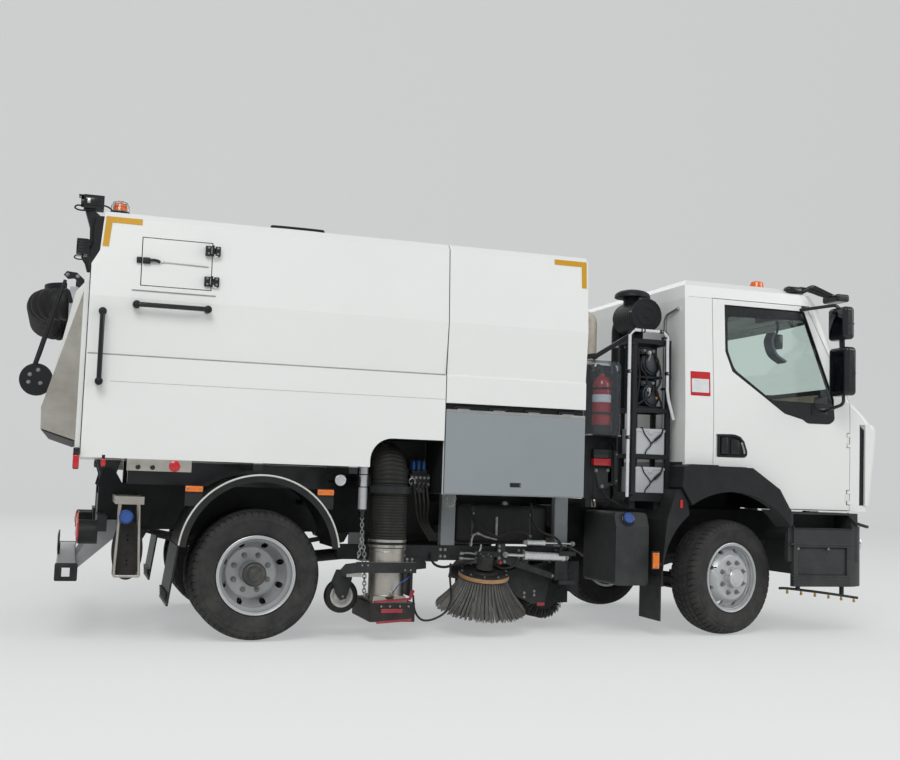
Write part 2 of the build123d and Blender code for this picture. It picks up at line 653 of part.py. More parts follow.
def inspection_hatch():
    gap = panel_gap
    cut = block((hatch_x[0] + gap, hatch_x[1] - gap), (-1400, -900), (hatch_z[0] + gap, hatch_z[1] - gap))
    hatch = hopper_wall_band(body_wall, (hatch_z[0] - 50, hatch_z[1] + 50)) & cut
    for z in hatch_hinge_z:
        _, barrel = hinge("Z", (hatch_hinge_x, hatch_hinge_y, z), 40, 16, 8, 4)
        leaf = block((hatch_hinge_x - 46, hatch_hinge_x), (hatch_hinge_y - 4, -body_half_width + 26),
                     (z - 19, z + 19))
        leaf -= drum((hatch_hinge_x, hatch_hinge_y, z), "Z", 7, 60)
        hatch += barrel + leaf
    return hatch


rail_height = 55
grab_radius = 16


def grab_rails():
    """Two bent grab rails on each side of the hopper, standing off on end feet."""
    out_y = -body_half_width - rail_height
    foot_y = -body_half_width + 2
    x = rear_axle_x - 1066
    low, high = hopper_floor_z + 470, hopper_floor_z + 930
    upright = [(x, foot_y + 32, low), (x, out_y, low), (x, out_y, high), (x, foot_y + 8, high)]
    left_x, right_x, z = rear_axle_x - 870, rear_axle_x - 405, fold_z - 46
    level = [(left_x, foot_y + 3, z), (left_x, out_y, z), (right_x, out_y, z), (right_x, foot_y + 3, z)]
    rails = bent_bar(upright, 30, grab_radius) + bent_bar(level, 30, grab_radius)
    wall = body_prism(hopper_floor_z, (hopper_back_x, hopper_front_x))
    return one(both_sides(rails) - wall)


beacon_post_y = -900


def beacon_posts():
    """A bracket at the upper back edge with a work lamp, a camera box and a beacon's foot, on each side."""
    x = hopper_back_x
    post = side_plate([(x - 10, back_kink_z - 40), (x + 1, back_kink_z - 40), (x + 1, back_kink_z - 0.3),
                       (x + 46, back_kink_z + 84), (x + 66, body_top_z + 1), (x + 240, body_top_z + 1),
                       (x + 240, body_top_z + 16), (x + 40, body_top_z + 16), (x - 10, body_top_z + 60),
                       (x - 60, body_top_z + 60), (x - 22, body_top_z - 60)],
                      (beacon_post_y - 40, beacon_post_y + 40))
    camera = block((x - 70, x + 60), (beacon_post_y - 55, beacon_post_y + 55),
                   (body_top_z + 60, body_top_z + 150))
    lamp = block((x - 95, x - 19), (beacon_post_y - 60, beacon_post_y + 60),
                 (body_top_z - 250, body_top_z - 150))
    foot = Pos(x + 165, beacon_post_y, body_top_z + 36) * Cylinder(64, 42)
    return both_sides(post + camera + lamp + foot - back_of_hopper())


def back_of_hopper():
    return body_prism(hopper_floor_z, (hopper_back_x, hopper_front_x)) - back_trim()


# Tailgate: a white domed door hinged at its top edge, with stainless cheeks and lip
def gate_profile(inset):
    """The domed door seen from the side, taken in by a wall thickness."""
    x = hopper_back_x - gate_gap
    face = make_face(Polyline((x, gate_hinge_z - 30), (x - 80, gate_hinge_z - 130),
                              (x - 236, hopper_floor_z + 320),
                              (x - 236, hopper_floor_z + 170), (x, hopper_floor_z + 96), close=True))
    return offset(face, -inset, kind=Kind.INTERSECTION) if inset else face


def gate_box(inset, half_width):
    plane = Plane(origin=(0, half_width, 0), x_dir=(1, 0, 0), z_dir=(0, -1, 0))
    return extrude(plane * gate_profile(inset), 2 * half_width)


def tailgate():
    shell = gate_box(0, gate_half_width)
    hollow = gate_box(gate_wall, gate_half_width - gate_wall)
    shell -= hollow + Pos(60, 0, 0) * hollow
    # Frame that shuts against the hopper's back edge, and the hinge knuckles above it
    x = hopper_back_x - gate_gap
    frame = block((x - 30, x), (-cheek_half_width, cheek_half_width),
                  (hopper_floor_z + 20, gate_hinge_z - 44))
    frame -= block((x - 60, x + 10), (-gate_half_width + 1, gate_half_width - 1),
                   (hopper_floor_z + 100, gate_hinge_z - 100))
    shell += frame
    for y in gate_hinge_y:
        _, barrel = hinge("Y", (gate_hinge_x, y, gate_hinge_z), 120, 20, 15, 8)
        leaf = block((x - 26, x), (y - 59, y + 59), (gate_hinge_z - 60, gate_hinge_z))
        shell += barrel + leaf - drum((gate_hinge_x, y, gate_hinge_z), "Y", 14, 200)
    return shell


def discharge_chute():
    """Stainless cheeks outside the door, and the sloping lip below it."""
    x = hopper_back_x - gate_gap - 30
    cheek = side_plate([(x, fold_z + 32), (x - 215, hopper_floor_z + 302), (x - 210, hopper_floor_z + 169),
                        (x, hopper_floor_z + 103)], (-cheek_half_width, -cheek_half_width + 6))
    plate = side_plate([(x, hopper_floor_z + 103), (x - 210, hopper_floor_z + 169),
                        (x - 210, hopper_floor_z + 175),
                        (x, hopper_floor_z + 109)], (-cheek_half_width + 6, -gate_half_width - 0.3))
    slope = side_plate([(x, fold_z + 32), (x - 215, hopper_floor_z + 302), (x - 210, hopper_floor_z + 290),
                        (x, fold_z + 14)], (-cheek_half_width + 6, -gate_half_width - 0.3))
    back = side_plate([(x - 215, hopper_floor_z + 302), (x - 210, hopper_floor_z + 169),
                       (x - 204, hopper_floor_z + 169), (x - 209, hopper_floor_z + 302)],
                      (-cheek_half_width + 6, -gate_half_width - 0.3))
    return both_sides(cheek + plate + slope + back)


coil_z = hopper_floor_z + 1058
wander_y = -480
wander_end_y = 520
wander_drop = 40
wander_bend = 170
wander_radius = 112


def wandering_hose():
    """The hand-held suction hose: out of the door, across the back, and its end in a collar on the door."""
    start_x = hopper_back_x - 80
    out_x = back_x + wander_radius
    end_z = coil_z - wander_drop
    path = [(start_x, wander_y, coil_z), (out_x, wander_y, coil_z), (out_x, wander_end_y, end_z),
            (start_x, wander_end_y, end_z)]
    solid = bent_bar(path, wander_bend, wander_radius)
    for y, z in ((wander_y, coil_z), (wander_end_y, end_z)):
        solid += drum((start_x - 20, y, z), "X", wander_radius + 18, 60)
    solid -= gate_box(0, gate_half_width)
    return solid


def hose_boom():
    """Support arm of the hand-held hose, with the swivel disc that it carries."""
    y = -860
    x = hopper_back_x
    disc = drum((x - 300, y, hopper_floor_z + 497), "Y", 105, 60)
    holder = block((x - 300, x - 160), (y - 25, y + 25), (hopper_floor_z + 440, hopper_floor_z + 500))
    arm = bent_bar([(x - 110, y, fold_z - 10), (x - 160, y, fold_z + 150),
                    (x - 325, y, hopper_floor_z + 560)],
                   30, 13)
    return disc + holder + arm - gate_box(0, gate_half_width)


# Engine housing: the fixed front section, open at the sides behind two lifting flaps
housing_back_x = seam_x
flap_z = (subframe_top_z + 2, white_bottom_z - 45)
flap_thickness = 28
flap_hinge_z = flap_z[1] + 14
flap_hinge_x = [housing_back_x + 130 + 265 * step for step in range(4)]
flap_hinge_y = body_half_width - skirt_inset - 10
housing_inner_y = body_half_width - skirt_inset - flap_thickness - 12


def engine_housing():
    x = (housing_back_x, housing_front_x)
    upper = body_prism(white_bottom_z, x)
    upper -= body_prism(white_bottom_z, (x[0] + body_wall, x[1] - body_wall), body_wall)
    upper -= block((x[0] + body_wall, x[1] - body_wall),
                   (-housing_inner_y + body_wall, housing_inner_y - body_wall),
                   (white_bottom_z - 40, white_bottom_z + 60))
    lower = block(x, (-housing_inner_y, housing_inner_y), (subframe_top_z, white_bottom_z))
    lower -= block((x[0] + body_wall, x[1] - body_wall),
                   (-housing_inner_y + body_wall, housing_inner_y - body_wall),
                   (subframe_top_z + body_wall, white_bottom_z + 60))
    lower -= block((x[0] + 70, x[1] - 70), (-1400, 1400), (subframe_top_z + 70, white_bottom_z - 90))
    # Head rail that carries the flap's hinge
    rail = block((x[0] + 4, x[1] - 4), (-housing_inner_y - 6, -housing_inner_y + 20),
                 (flap_hinge_z - 14, white_bottom_z + 2))
    for centre_x in flap_hinge_x:
        fixed, _ = hinge("X", (centre_x, -flap_hinge_y, flap_hinge_z), 90, 20, 9, 5)
        for side in (-55, 55):
            fixed += block((centre_x + side - 10, centre_x + side + 10), (-flap_hinge_y, -housing_inner_y),
                           (flap_hinge_z - 7, flap_hinge_z + 7))
        rail += fixed
    return upper + lower + both_sides(rail)


def service_flap():
    x = (housing_back_x + 3, housing_front_x - 3)
    y = -body_half_width + skirt_inset
    flap = block(x, (y, y + flap_thickness), flap_z)
    edges = flap.edges().filter_by(Axis.X).group_by(Axis.Y)[0]
    flap = fillet(edges, 10)
    for centre_x in flap_hinge_x:
        _, barrel = hinge("X", (centre_x, -flap_hinge_y, flap_hinge_z), 90, 20, 9, 5)
        leaf = block((centre_x - 44, centre_x + 44), (-flap_hinge_y - 7, -flap_hinge_y + 7),
                     (flap_z[1] - 2, flap_hinge_z))
        flap += barrel + leaf - drum((centre_x, -flap_hinge_y, flap_hinge_z), "X", 8, 200)
    latch = block((housing_back_x + 488, housing_back_x + 572), (y - 1, y + 9),
                  (flap_z[0] + 60, flap_z[0] + 92))
    return flap - latch


def blower_engine():
    """The sweeper's own engine and fan, as one plain block on two bearers."""
    x = (housing_back_x + 160, housing_front_x - 160)
    engine = block(x, (-480, 480), (subframe_top_z + body_wall + 60, subframe_top_z + 700))
    for start in (x[0] + 60, x[1] - 140):
        engine += block((start, start + 80), (-560, 560),
                        (subframe_top_z + body_wall, subframe_top_z + body_wall + 62))
    return engine


# Suction hose and nozzle
def suction_hose():
    """The hose from the nozzle's pipe up to its mouth against the hopper's notch."""
    mouth_y = notch_depth_y - body_joint_gap
    path = [(nozzle_x, nozzle_y, hose_bottom_z), (nozzle_x, nozzle_y, hose_mouth_z),
            (nozzle_x, mouth_y, hose_mouth_z)]
    return bent_bar(path, hose_bend, hose_radius, hose_radius - hose_wall)


pipe_top_z = 790
nozzle_lip_z = 135
caster_x = nozzle_x - 300
caster_y = nozzle_y + 60
caster_radius = 118
caster_z = nozzle_lip_z + 155
caster_pin_radius = 10


def suction_nozzle():
    """A stainless pipe over a flared mouth, with its side arm and the caster's fork."""
    pipe = Pos(nozzle_x, nozzle_y, (pipe_top_z + 300) / 2) * Cylinder(pipe_radius, pipe_top_z - 300)
    mouth = loft([Pos(nozzle_x, nozzle_y, 262) * Rectangle(2 * pipe_radius - 4, 2 * pipe_radius - 4),
                  Pos(nozzle_x, nozzle_y, 302) * Rectangle(2 * pipe_radius - 20, 2 * pipe_radius - 20)],
                 ruled=True)
    bore = Pos(nozzle_x, nozzle_y, (pipe_top_z + 200) / 2) * Cylinder(pipe_radius - pipe_wall, pipe_top_z)
    skirt = block((nozzle_x - 130, nozzle_x + 150), (nozzle_y - 150, nozzle_y + 330),
                  (nozzle_lip_z + 14, 264))
    skirt -= block((nozzle_x - 120, nozzle_x + 140), (nozzle_y - 140, nozzle_y + 320), (0, 254))
    nozzle = pipe + mouth + skirt - bore
    arm_y = (nozzle_y - pipe_radius - 34, nozzle_y - pipe_radius - 4)
    arm = block((caster_x + 60, nozzle_x + 170), arm_y, (462, 534))
    arm += side_plate([(caster_x + 60, 462), (caster_x + 60, 534), (caster_x - 15, 470),
                       (caster_x - 15, 440)], arm_y)
    arm += block((nozzle_x - 20, nozzle_x + 20), (arm_y[1] - 2, nozzle_y - pipe_radius + 6), (470, 526))
    arm += block((caster_x - 15, caster_x + 90), (arm_y[0], caster_y + 52), (434, 462))
    for y in (caster_y - 52, caster_y + 40):
        arm += side_plate([(caster_x - 15, 450), (caster_x + 60, 450), (caster_x + 22, caster_z - 22),
                           (caster_x - 22, caster_z - 22)], (y, y + 12))
    arm += drum((caster_x, caster_y, caster_z), "Y", caster_pin_radius, 104)
    return nozzle + arm - bore + nozzle_lips()


def nozzle_lips():
    """Wear strips round the nozzle's mouth."""
    outer = block((nozzle_x - 145, nozzle_x + 165), (nozzle_y - 165, nozzle_y + 345),
                  (nozzle_lip_z, nozzle_lip_z + 22))
    outer += block((nozzle_x - 145, nozzle_x + 165), (nozzle_y - 165, nozzle_y - 150),
                   (nozzle_lip_z + 22, 250))
    outer -= block((nozzle_x - 118, nozzle_x + 138), (nozzle_y - 138, nozzle_y + 318), (0, nozzle_lip_z + 40))
    return outer


def nozzle_caster():
    wheel = drum((caster_x, caster_y, caster_z), "Y", caster_radius, 62, caster_pin_radius + running_gap)
    rim_edges = wheel.edges().filter_by(GeomType.CIRCLE).group_by(SortBy.RADIUS)[-1]
    return fillet(rim_edges, 16)


# Side brush on its swinging, lifting arm
lift_pin_x = swing_pin_x - 62
lift_pin_z = 408
lift_pin_radius = 11
brush_hub_z = 452
motor_shaft_radius = 16
bristle_length = 262
bristle_radius = 332
bristle_top_radius = 178


def at_brush(shape):
    """Places a shape drawn about the brush's shaft, with the disc's top at the origin."""
    return Pos(brush_x, brush_y, brush_hub_z) * Rot(brush_tilt, 0, 0) * shape


def brush_swing_bracket():
    """Sleeve on the swing pin, with two cheeks for the lifting arm's pin."""
    height = (swing_pin_z[0] + 30 + running_gap, swing_pin_z[1] - 30 - running_gap)
    middle = Pos(swing_pin_x, swing_pin_y, sum(height) / 2)
    sleeve = middle * Cylinder(40, height[1] - height[0])
    for y in (swing_pin_y - 38, swing_pin_y + 26):
        sleeve += side_plate([(swing_pin_x - 10, height[0]), (swing_pin_x - 10, height[1] - 5),
                              (lift_pin_x - 20, height[1] - 20), (lift_pin_x - 26, height[0])], (y, y + 12))
    sleeve -= middle * Cylinder(swing_pin_radius + running_gap, 400)
    return sleeve + drum((lift_pin_x, swing_pin_y, lift_pin_z), "Y", lift_pin_radius, 76)


def brush_arm():
    """Sloping link from the lift pin, an upright plate, and the motor over the brush."""
    y = (swing_pin_y - 20, swing_pin_y + 20)
    plate_x = (brush_x + 96, brush_x + 160)
    arm = side_plate([(lift_pin_x + 18, lift_pin_z - 14), (lift_pin_x + 6, lift_pin_z + 18),
                      (plate_x[1] - 10, brush_hub_z + 112), (plate_x[0] + 10, brush_hub_z + 70),
                      (lift_pin_x - 20, lift_pin_z - 14)], y)
    arm += block(plate_x, y, (brush_hub_z + 52, brush_hub_z + 196))
    arm += block((brush_x - 50, plate_x[1] - 10), y, (brush_hub_z + 100, brush_hub_z + 140))
    arm -= drum((lift_pin_x, swing_pin_y, lift_pin_z), "Y", lift_pin_radius + running_gap, 100)
    return arm + at_brush(Pos(0, 0, 66) * Cylinder(58, 100) + Pos(0, 0, -13) * Cylinder(motor_shaft_radius,
                                                                                        62))


def side_brush():
    """Disc with its cone of bristles, bored for the motor's shaft."""
    disc = Pos(0, 0, -10) * Cylinder(brush_disc_radius, 20)
    bristles = Pos(0, 0, -20 - bristle_length / 2) * Rot(180, 0, 0) * Cone(bristle_top_radius, bristle_radius,
                                                                          bristle_length)
    hollow = Pos(0, 0, -60 - bristle_length / 2) * Rot(180, 0, 0) * Cone(90, 215, bristle_length)
    bore = Cylinder(motor_shaft_radius + running_gap, 100)
    return at_brush(disc + bristles - hollow - bore)


# Outline of the doors and of the wheel arches
door_back_x = cab_back_x + door_back_from_cab
door_front_x = front_axle_x + 1105
door_top_z = cab_bottom_z + 1613
door_sill_z = cab_bottom_z + 4
pillar_foot_z = cab_bottom_z + 870
door_top_front_x = door_front_x - 385
arch_front_x = front_axle_x + 500
arch_slope_x = front_axle_x + 405
arch_flat_x = front_axle_x + 165

# Place of the equipment tower, which the front guards leave room for
tower_x = (housing_front_x + 445, housing_front_x + 800)
tower_y = -1010
tower_bottom_z = frame_top_z + 90
tower_top_z = tower_bottom_z + 1260


# Bumper with the entrance steps, and the guards over the wheels
step_back_x = front_axle_x + 556
bumper_z = (373, 838)
step_top_z = cab_bottom_z - 14
bumper_wall = 45
bumper_half_width = 1190
headlamp_y = (-1092, -812)
headlamp_z = (618, 782)


def bumper_plan(inset, z):
    """The bumper seen from above: straight sides, round corners and a bowed front."""
    w = bumper_half_width - inset
    corner_x = front_x - 330
    nose = front_x - inset
    back = step_back_x + (0 if not inset else -50)
    edges = [Line((back, -w), (corner_x, -w)),
             ThreePointArc((corner_x, -w), (front_x - 175 - inset * 0.7, -w + 92),
                           (front_x - 92 - inset, -w + 262)),
             ThreePointArc((front_x - 92 - inset, -w + 262), (nose, 0), (front_x - 92 - inset, w - 262)),
             ThreePointArc((front_x - 92 - inset, w - 262), (front_x - 175 - inset * 0.7, w - 92),
                           (corner_x, w)),
             Line((corner_x, w), (back, w)),
             Line((back, w), (back, -w))]
    return extrude(Pos(0, 0, z[0]) * make_face(Wire(edges)), z[1] - z[0])


def front_bumper():
    shell = bumper_plan(0, bumper_z) - bumper_plan(bumper_wall, (bumper_z[0] - 10, bumper_z[1] - bumper_wall))
    shell -= block((step_back_x - 100, front_x - 120), (-790, 790), (bumper_z[0] - 10, bumper_z[1] + 10))
    # Step boxes behind the corners, with two treads each
    x = (step_back_x - 40, front_x - 250)
    steps = block(x, (-bumper_half_width + 18, -900), (bumper_z[0] + 190, step_top_z))
    steps -= block((x[0] - 10, x[1] - 40), (-bumper_half_width + 60, -890),
                   (bumper_z[0] + 180, bumper_z[1] - 60))
    upper_tread = block((x[0] + 45, x[1] - 60), (-1400, -960), (bumper_z[1] - 22, step_top_z - 14))
    lower_tread = block((x[0] + 80, x[1] - 110), (-1400, -1000), (bumper_z[0] + 85, bumper_z[0] + 300))
    lamp = block((front_x - 235, front_x + 1), headlamp_y, headlamp_z)
    shell = shell + both_sides(steps) - both_sides(upper_tread) - both_sides(lower_tread) - both_sides(lamp)
    # Brackets to the frame's front end
    bracket = block((rail_front_x, front_x - 30), (-frame_width / 2 + 34, -frame_width / 2 + rail_flange),
                    (700, 770))
    shell += both_sides(bracket) & bumper_plan(bumper_wall - 2, (0, 2000))
    return shell


guard_radius = tyre_radius + 96.5
guard_z = tyre_radius + 130
guard_thickness = 8
guard_y = (-1222, -612)


def arc_guard(axle_x, radius, centre_z, y, start, end, lip):
    """A wheel guard: a bent sheet between two angles, with a turned-down outer lip."""
    def ring(outer, inner, y_span):
        return drum((axle_x, sum(y_span) / 2, centre_z), "Y", outer, y_span[1] - y_span[0], inner)
    band = ring(radius, radius - guard_thickness, y) + ring(radius, radius - lip, (y[0], y[0] + 8))
    reach = 3 * radius
    fan = side_plate([(axle_x, centre_z), (axle_x + reach * cos(radians(start)),
                                           centre_z + reach * sin(radians(start))),
                      (axle_x, centre_z + reach * 1.2),
                      (axle_x + reach * cos(radians(end)), centre_z + reach * sin(radians(end)))],
                     (y[0] - 5, y[1] + 5))
    return band & fan


def rear_guards():
    guard = arc_guard(rear_axle_x + 10, guard_radius, guard_z, guard_y, 6, 174, 46)
    flap_x = rear_axle_x + 10 - guard_radius * cos(radians(6))
    flap = side_plate([(flap_x - 6, guard_z + 60), (flap_x + 6, guard_z + 60), (flap_x - 46, 240),
                       (flap_x - 58, 240)],
                      (guard_y[0] + 10, guard_y[1]))
    # Brackets to the frame rail
    for x in (rear_axle_x - 380, rear_axle_x + 400):
        guard += rod((x, guard_y[1] - 60, guard_z + 340), (x, -frame_width / 2, guard_z + 340), 20)
    return both_sides(guard + flap)


cab_guard_gap = 12
arch_centre_z = 455


def arch_outline():
    """The black arch on the cab's side, seen from the side."""
    x = front_axle_x
    return make_face(Polyline((cab_back_x - 62, arch_top_z - 160), (cab_back_x - 52, arch_top_z - 8),
                              (cab_back_x + 10, arch_top_z + 12), (arch_flat_x + 8, arch_top_z + 12),
                              (arch_slope_x + 10, arch_top_z - 148), (arch_front_x + 6, door_sill_z),
                              (arch_front_x + 6, 740), (x + 400, 700), (x - 300, 900), close=True))


def front_guards():
    """Lower back quarters of the front wheel arches, with their flaps, on the chassis."""
    x = front_axle_x
    y = (-1205, -850)
    shape = side_plate([(x - 384, 1094), (x - 470, 1085), (x - 545, 860), (x - 592, 372), (x - 300, 372)], y)
    shape -= drum((x, -1000, arch_centre_z), "Y", arch_radius - 52, 500)
    hollow = side_plate([(x - 300, 1200), (x - 455, 1073), (x - 530, 855), (x - 577, 360), (x - 200, 360)],
                        (y[0] + 15, y[1] + 10))
    shape -= hollow - drum((x, -1000, arch_centre_z), "Y", arch_radius - 37, 500)
    shape -= side_cut(offset(arch_outline(), cab_guard_gap, kind=Kind.INTERSECTION), (-1400, -700))
    shape -= block((x - 700, x), (tower_y - 12, y[1] + 20), (tower_bottom_z - 100, 1300))
    flap = block((x - 590, x - 578), (-1190, -870), (120, 440))
    stay = rod((x - 530, -860, 760), (x - 530, -frame_width / 2, 760), 22)
    return both_sides(shape + flap + stay)


# Tanks beside the frame
def reductant_tank():
    """The dark tank with a sloped shoulder behind the right front wheel."""
    x = (front_axle_x - 918, front_axle_x - 650)
    tank = block(x, (-1120, -560), (371, 905))
    tank = fillet(tank.edges().filter_by(Axis.Y), 30)
    tank -= cross_plate([(-1130, 780), (-1130, 910), (-1075, 910)], (x[0] - 5, x[1] + 5))
    tank = tank + block((x[0] + 60, x[0] + 110), (-561, -frame_width / 2), (720, 860))
    return tank + Pos(front_axle_x - 817, -1085, 850) * Rot(90 - 23, 0, 0) * Cylinder(52, 60)


def fuel_tank():
    x = (rear_axle_x + 1150, rear_axle_x + 1820)
    tank = block(x, (560, 1150), (400, 900))
    tank = fillet(tank.edges().filter_by(Axis.X), 110)
    for start in (x[0] + 180, x[1] - 240):
        tank += block((start, start + 60), (frame_width / 2, 620), (frame_bottom_z + 20, frame_top_z - 40))
    tank += Pos(x[1] - 130, 1000, 890) * Cylinder(48, 60)
    return tank


# Underrun bar, lamps and stowage at the back
bar_x = (rear_axle_x - 1258, rear_axle_x - 1130)
bar_z = (395, 500)
bar_half = 1150
hanger_thickness = 14


def underrun_bar():
    bar = block(bar_x, (-bar_half, bar_half), bar_z)
    bar = fillet(bar.edges().filter_by(Axis.Y), 12)
    hanger = side_plate([(bar_x[1] - 4, bar_z[0] + 10), (bar_x[1] - 4, bar_z[1] - 10),
                         (rail_back_x + 20, frame_bottom_z + 60),
                         (rail_back_x + 160, frame_bottom_z + 60), (rail_back_x + 160, frame_bottom_z - 30)],
                        (-frame_width / 2 - hanger_thickness, -frame_width / 2))
    return bar + both_sides(hanger)


def rear_lamps():
    """Round lamps on channels that stand out from the frame's back end."""
    x = rear_axle_x - 1015
    lamp = drum((x - 58, -960, 692), "X", 78, 118)
    lamp += drum((x - 56, -790, 692), "X", 70, 104)
    beam = block((x - 6, x + 54), (-1070, -frame_width / 2 - hanger_thickness), (700, 800))
    return both_sides(lamp + beam)


rack_x = (rear_axle_x - 885, rear_axle_x - 770)
rack_y = -1150


def stowage_rack():
    """Stainless bars that hold the rolled hydrant hose below the body's back corner."""
    loop = bent_bar([(rack_x[0], rack_y, 900), (rack_x[0] - 20, rack_y, 424), (rack_x[1] + 20, rack_y, 424),
                     (rack_x[1], rack_y, 900)], 8, 9)
    back_loop = Pos(0, 120, 0) * loop
    ties = rod((rack_x[0] - 20, rack_y, 436), (rack_x[0] - 20, rack_y + 120, 436), 8)
    ties += rod((rack_x[1] + 20, rack_y, 436), (rack_x[1] + 20, rack_y + 120, 436), 8)
    beam = block((rack_x[0] - 30, rack_x[1] + 30), (rack_y - 14, -frame_width / 2), (880, 930))
    return loop + back_loop + ties + beam


# Tower between the housing and the cab, with the air intake beside it
tower_bar = 34
intake_x = housing_front_x + 625
intake_z = 2415
intake_radius = 126
tower_post_x = (tower_x[0] + 60, tower_x[1] - 8)


def equipment_tower():
    """A welded frame of square bars with a bent tube rail in front of it."""
    bar = tower_bar
    tower = None
    for x in tower_post_x:
        for y in (tower_y, tower_y + 230):
            post = block((x - bar / 2, x + bar / 2), (y, y + bar), (tower_bottom_z, tower_top_z - 60))
            tower = post if tower is None else tower + post
    span = (tower_post_x[0] - bar / 2, tower_post_x[1] + bar / 2)
    for z in (tower_bottom_z, tower_bottom_z + 290, tower_bottom_z + 640, tower_top_z - 60 - bar):
        tower += block(span, (tower_y, tower_y + bar), (z, z + bar))
        tower += block(span, (tower_y + 230, tower_y + 230 + bar), (z, z + bar))
        for x in tower_post_x:
            tower += block((x - bar / 2, x + bar / 2), (tower_y, tower_y + 260), (z, z + bar))
    rail_x = (tower_x[0], tower_x[1] - 40)
    tube = bent_bar([(rail_x[0], tower_y - 20, tower_bottom_z), (rail_x[0], tower_y - 20, tower_top_z),
                     (rail_x[1], tower_y - 20, tower_top_z),
                     (rail_x[1] + 30, tower_y - 20, tower_top_z - 360)], 40, 11)
    for z in (tower_bottom_z + 20, tower_top_z - 100):
        tube += rod((rail_x[0], tower_y - 20, z), (tower_post_x[0], tower_y + 5, z), 9)
    end_z = tower_top_z - 350
    tube += rod((rail_x[1] + 30, tower_y - 20, end_z), (tower_post_x[1], tower_y + 5, end_z), 9)
    # Base outriggers from the frame rail
    base = block((tower_x[0] + 30, tower_x[1] - 30), (tower_y, tower_y + 270),
                 (tower_bottom_z - 30, tower_bottom_z + 1))
    for x in (tower_x[0] + 50, tower_x[1] - 100):
        base += block((x, x + 45), (tower_y + 40, -frame_width / 2 + 60), (frame_top_z, tower_bottom_z - 28))
    # Saddle that the air cleaner rests in
    saddle = block((intake_x - 60, intake_x + 60), (tower_y + 232, tower_y + 258),
                   (tower_top_z - 70, intake_z))
    saddle -= drum((intake_x, tower_y + 245, intake_z), "Y", intake_radius + running_gap, 60)
    return tower + tube + base + saddle


def stowage_boxes():
    """Two pale boxes strapped on the tower's shelves."""
    x = (tower_post_x[0] + tower_bar / 2 + 4, tower_post_x[1] - tower_bar / 2 - 4)
    boxes = None
    for z in (tower_bottom_z, tower_bottom_z + 290):
        box = block(x, (tower_y + 8, tower_y + 256), (z + tower_bar + running_gap, z + tower_bar + 194))
        box = fillet(box.edges().filter_by(Axis.Z), 14)
        boxes = box if boxes is None else boxes + box
    return boxes


def extinguisher_cabinet():
    """A case with the extinguisher in it, on a stand from the frame."""
    x = (housing_front_x + 140, housing_front_x + 415)
    case_z = (frame_top_z + 540, frame_top_z + 1115)
    case = block(x, (tower_y, tower_y + 220), case_z)
    case = fillet(case.edges().filter_by(Axis.Y), 34)
    stand = block((x[0] + 38, x[1] - 20), (tower_y + 160, tower_y + 210), (frame_top_z + 60, case_z[0] + 40))
    stand += block((x[0] + 50, x[0] + 100), (tower_y + 160, -frame_width / 2 + 60),
                   (frame_top_z, frame_top_z + 62))
    return case + stand


def air_intake():
    """Air cleaner drum with its rain cap and the duct down to the frame."""
    y = tower_y + 110
    cleaner = drum((intake_x, y + 120, intake_z), "Y", intake_radius, 330)
    cleaner = fillet(cleaner.edges().filter_by(GeomType.CIRCLE), 14)
    cap = Pos(intake_x - 35, y + 130, intake_z + 170) * Cylinder(136, 34)
    cap = fillet(cap.edges().filter_by(GeomType.CIRCLE).group_by(Axis.Z)[-1], 16)
    neck = Pos(intake_x - 35, y + 130, intake_z + 125) * Cylinder(62, 70)
    duct_y = y + 420
    duct = bent_bar([(intake_x, y + 280, intake_z), (intake_x, duct_y, intake_z),
                     (intake_x, duct_y, frame_top_z)],
                    90, 60)
    foot = block((intake_x - 30, intake_x + 30), (duct_y - 60, -frame_width / 2 + 50),
                 (frame_top_z, frame_top_z + 40))
    return cleaner + cap + neck + duct + foot


def exhaust_pipe():
    """The pale pipe with a bent top that stands beside the housing."""
    x = housing_front_x + 310
    y = -640
    pipe = bent_bar([(x, y, frame_top_z + 20), (x, y, 2420), (x - 150, y, 2420)], 60, 38)
    return pipe + block((x - 45, x + 45), (y - 45, -frame_width / 2 + 60), (frame_top_z, frame_top_z + 40))


# Cab: lofted between flat sections, each (height, back, front, half width, bow of the front, corner)
cab_sections = [
    (cab_bottom_z, 5, -66, 1133, 30, 110),
    (cab_bottom_z + 560, 0, -20, 1140, 18, 100),
    (cab_bottom_z + 660, 0, -18, 1140, 18, 100),
    (cab_bottom_z + 760, 0, -86, 1138, 26, 110),
    (cab_bottom_z + 880, 0, -205, 1134, 40, 120),
    (cab_bottom_z + 1600, 6, -440, 1096, 70, 150),
    (cab_bottom_z + 1700, 14, -500, 1076, 70, 160),
    (cab_bottom_z + 1748, 60, -640, 1010, 60, 160),
]


def cab_section(z, back, front, half_width, bow, corner, inset):
    """One level of the cab: a back line, two sides, round front corners and a bowed front."""
    w = half_width - inset
    b = cab_back_x + back + inset
    nose = front_x + front - inset
    start = (nose - bow - corner, -w)
    middle = (nose - bow - 0.27 * corner, -w + 0.22 * corner)
    end = (nose - bow, -w + 0.85 * corner)
    edges = [Line((b, -w), start), ThreePointArc(start, middle, end),
             ThreePointArc(end, (nose, 0), (end[0], -end[1])),
             ThreePointArc((end[0], -end[1]), (middle[0], -middle[1]), (start[0], w)),
             Line((start[0], w), (b, w)), Line((b, w), (b, -w))]
    return Pos(0, 0, z) * make_face(Wire(edges))


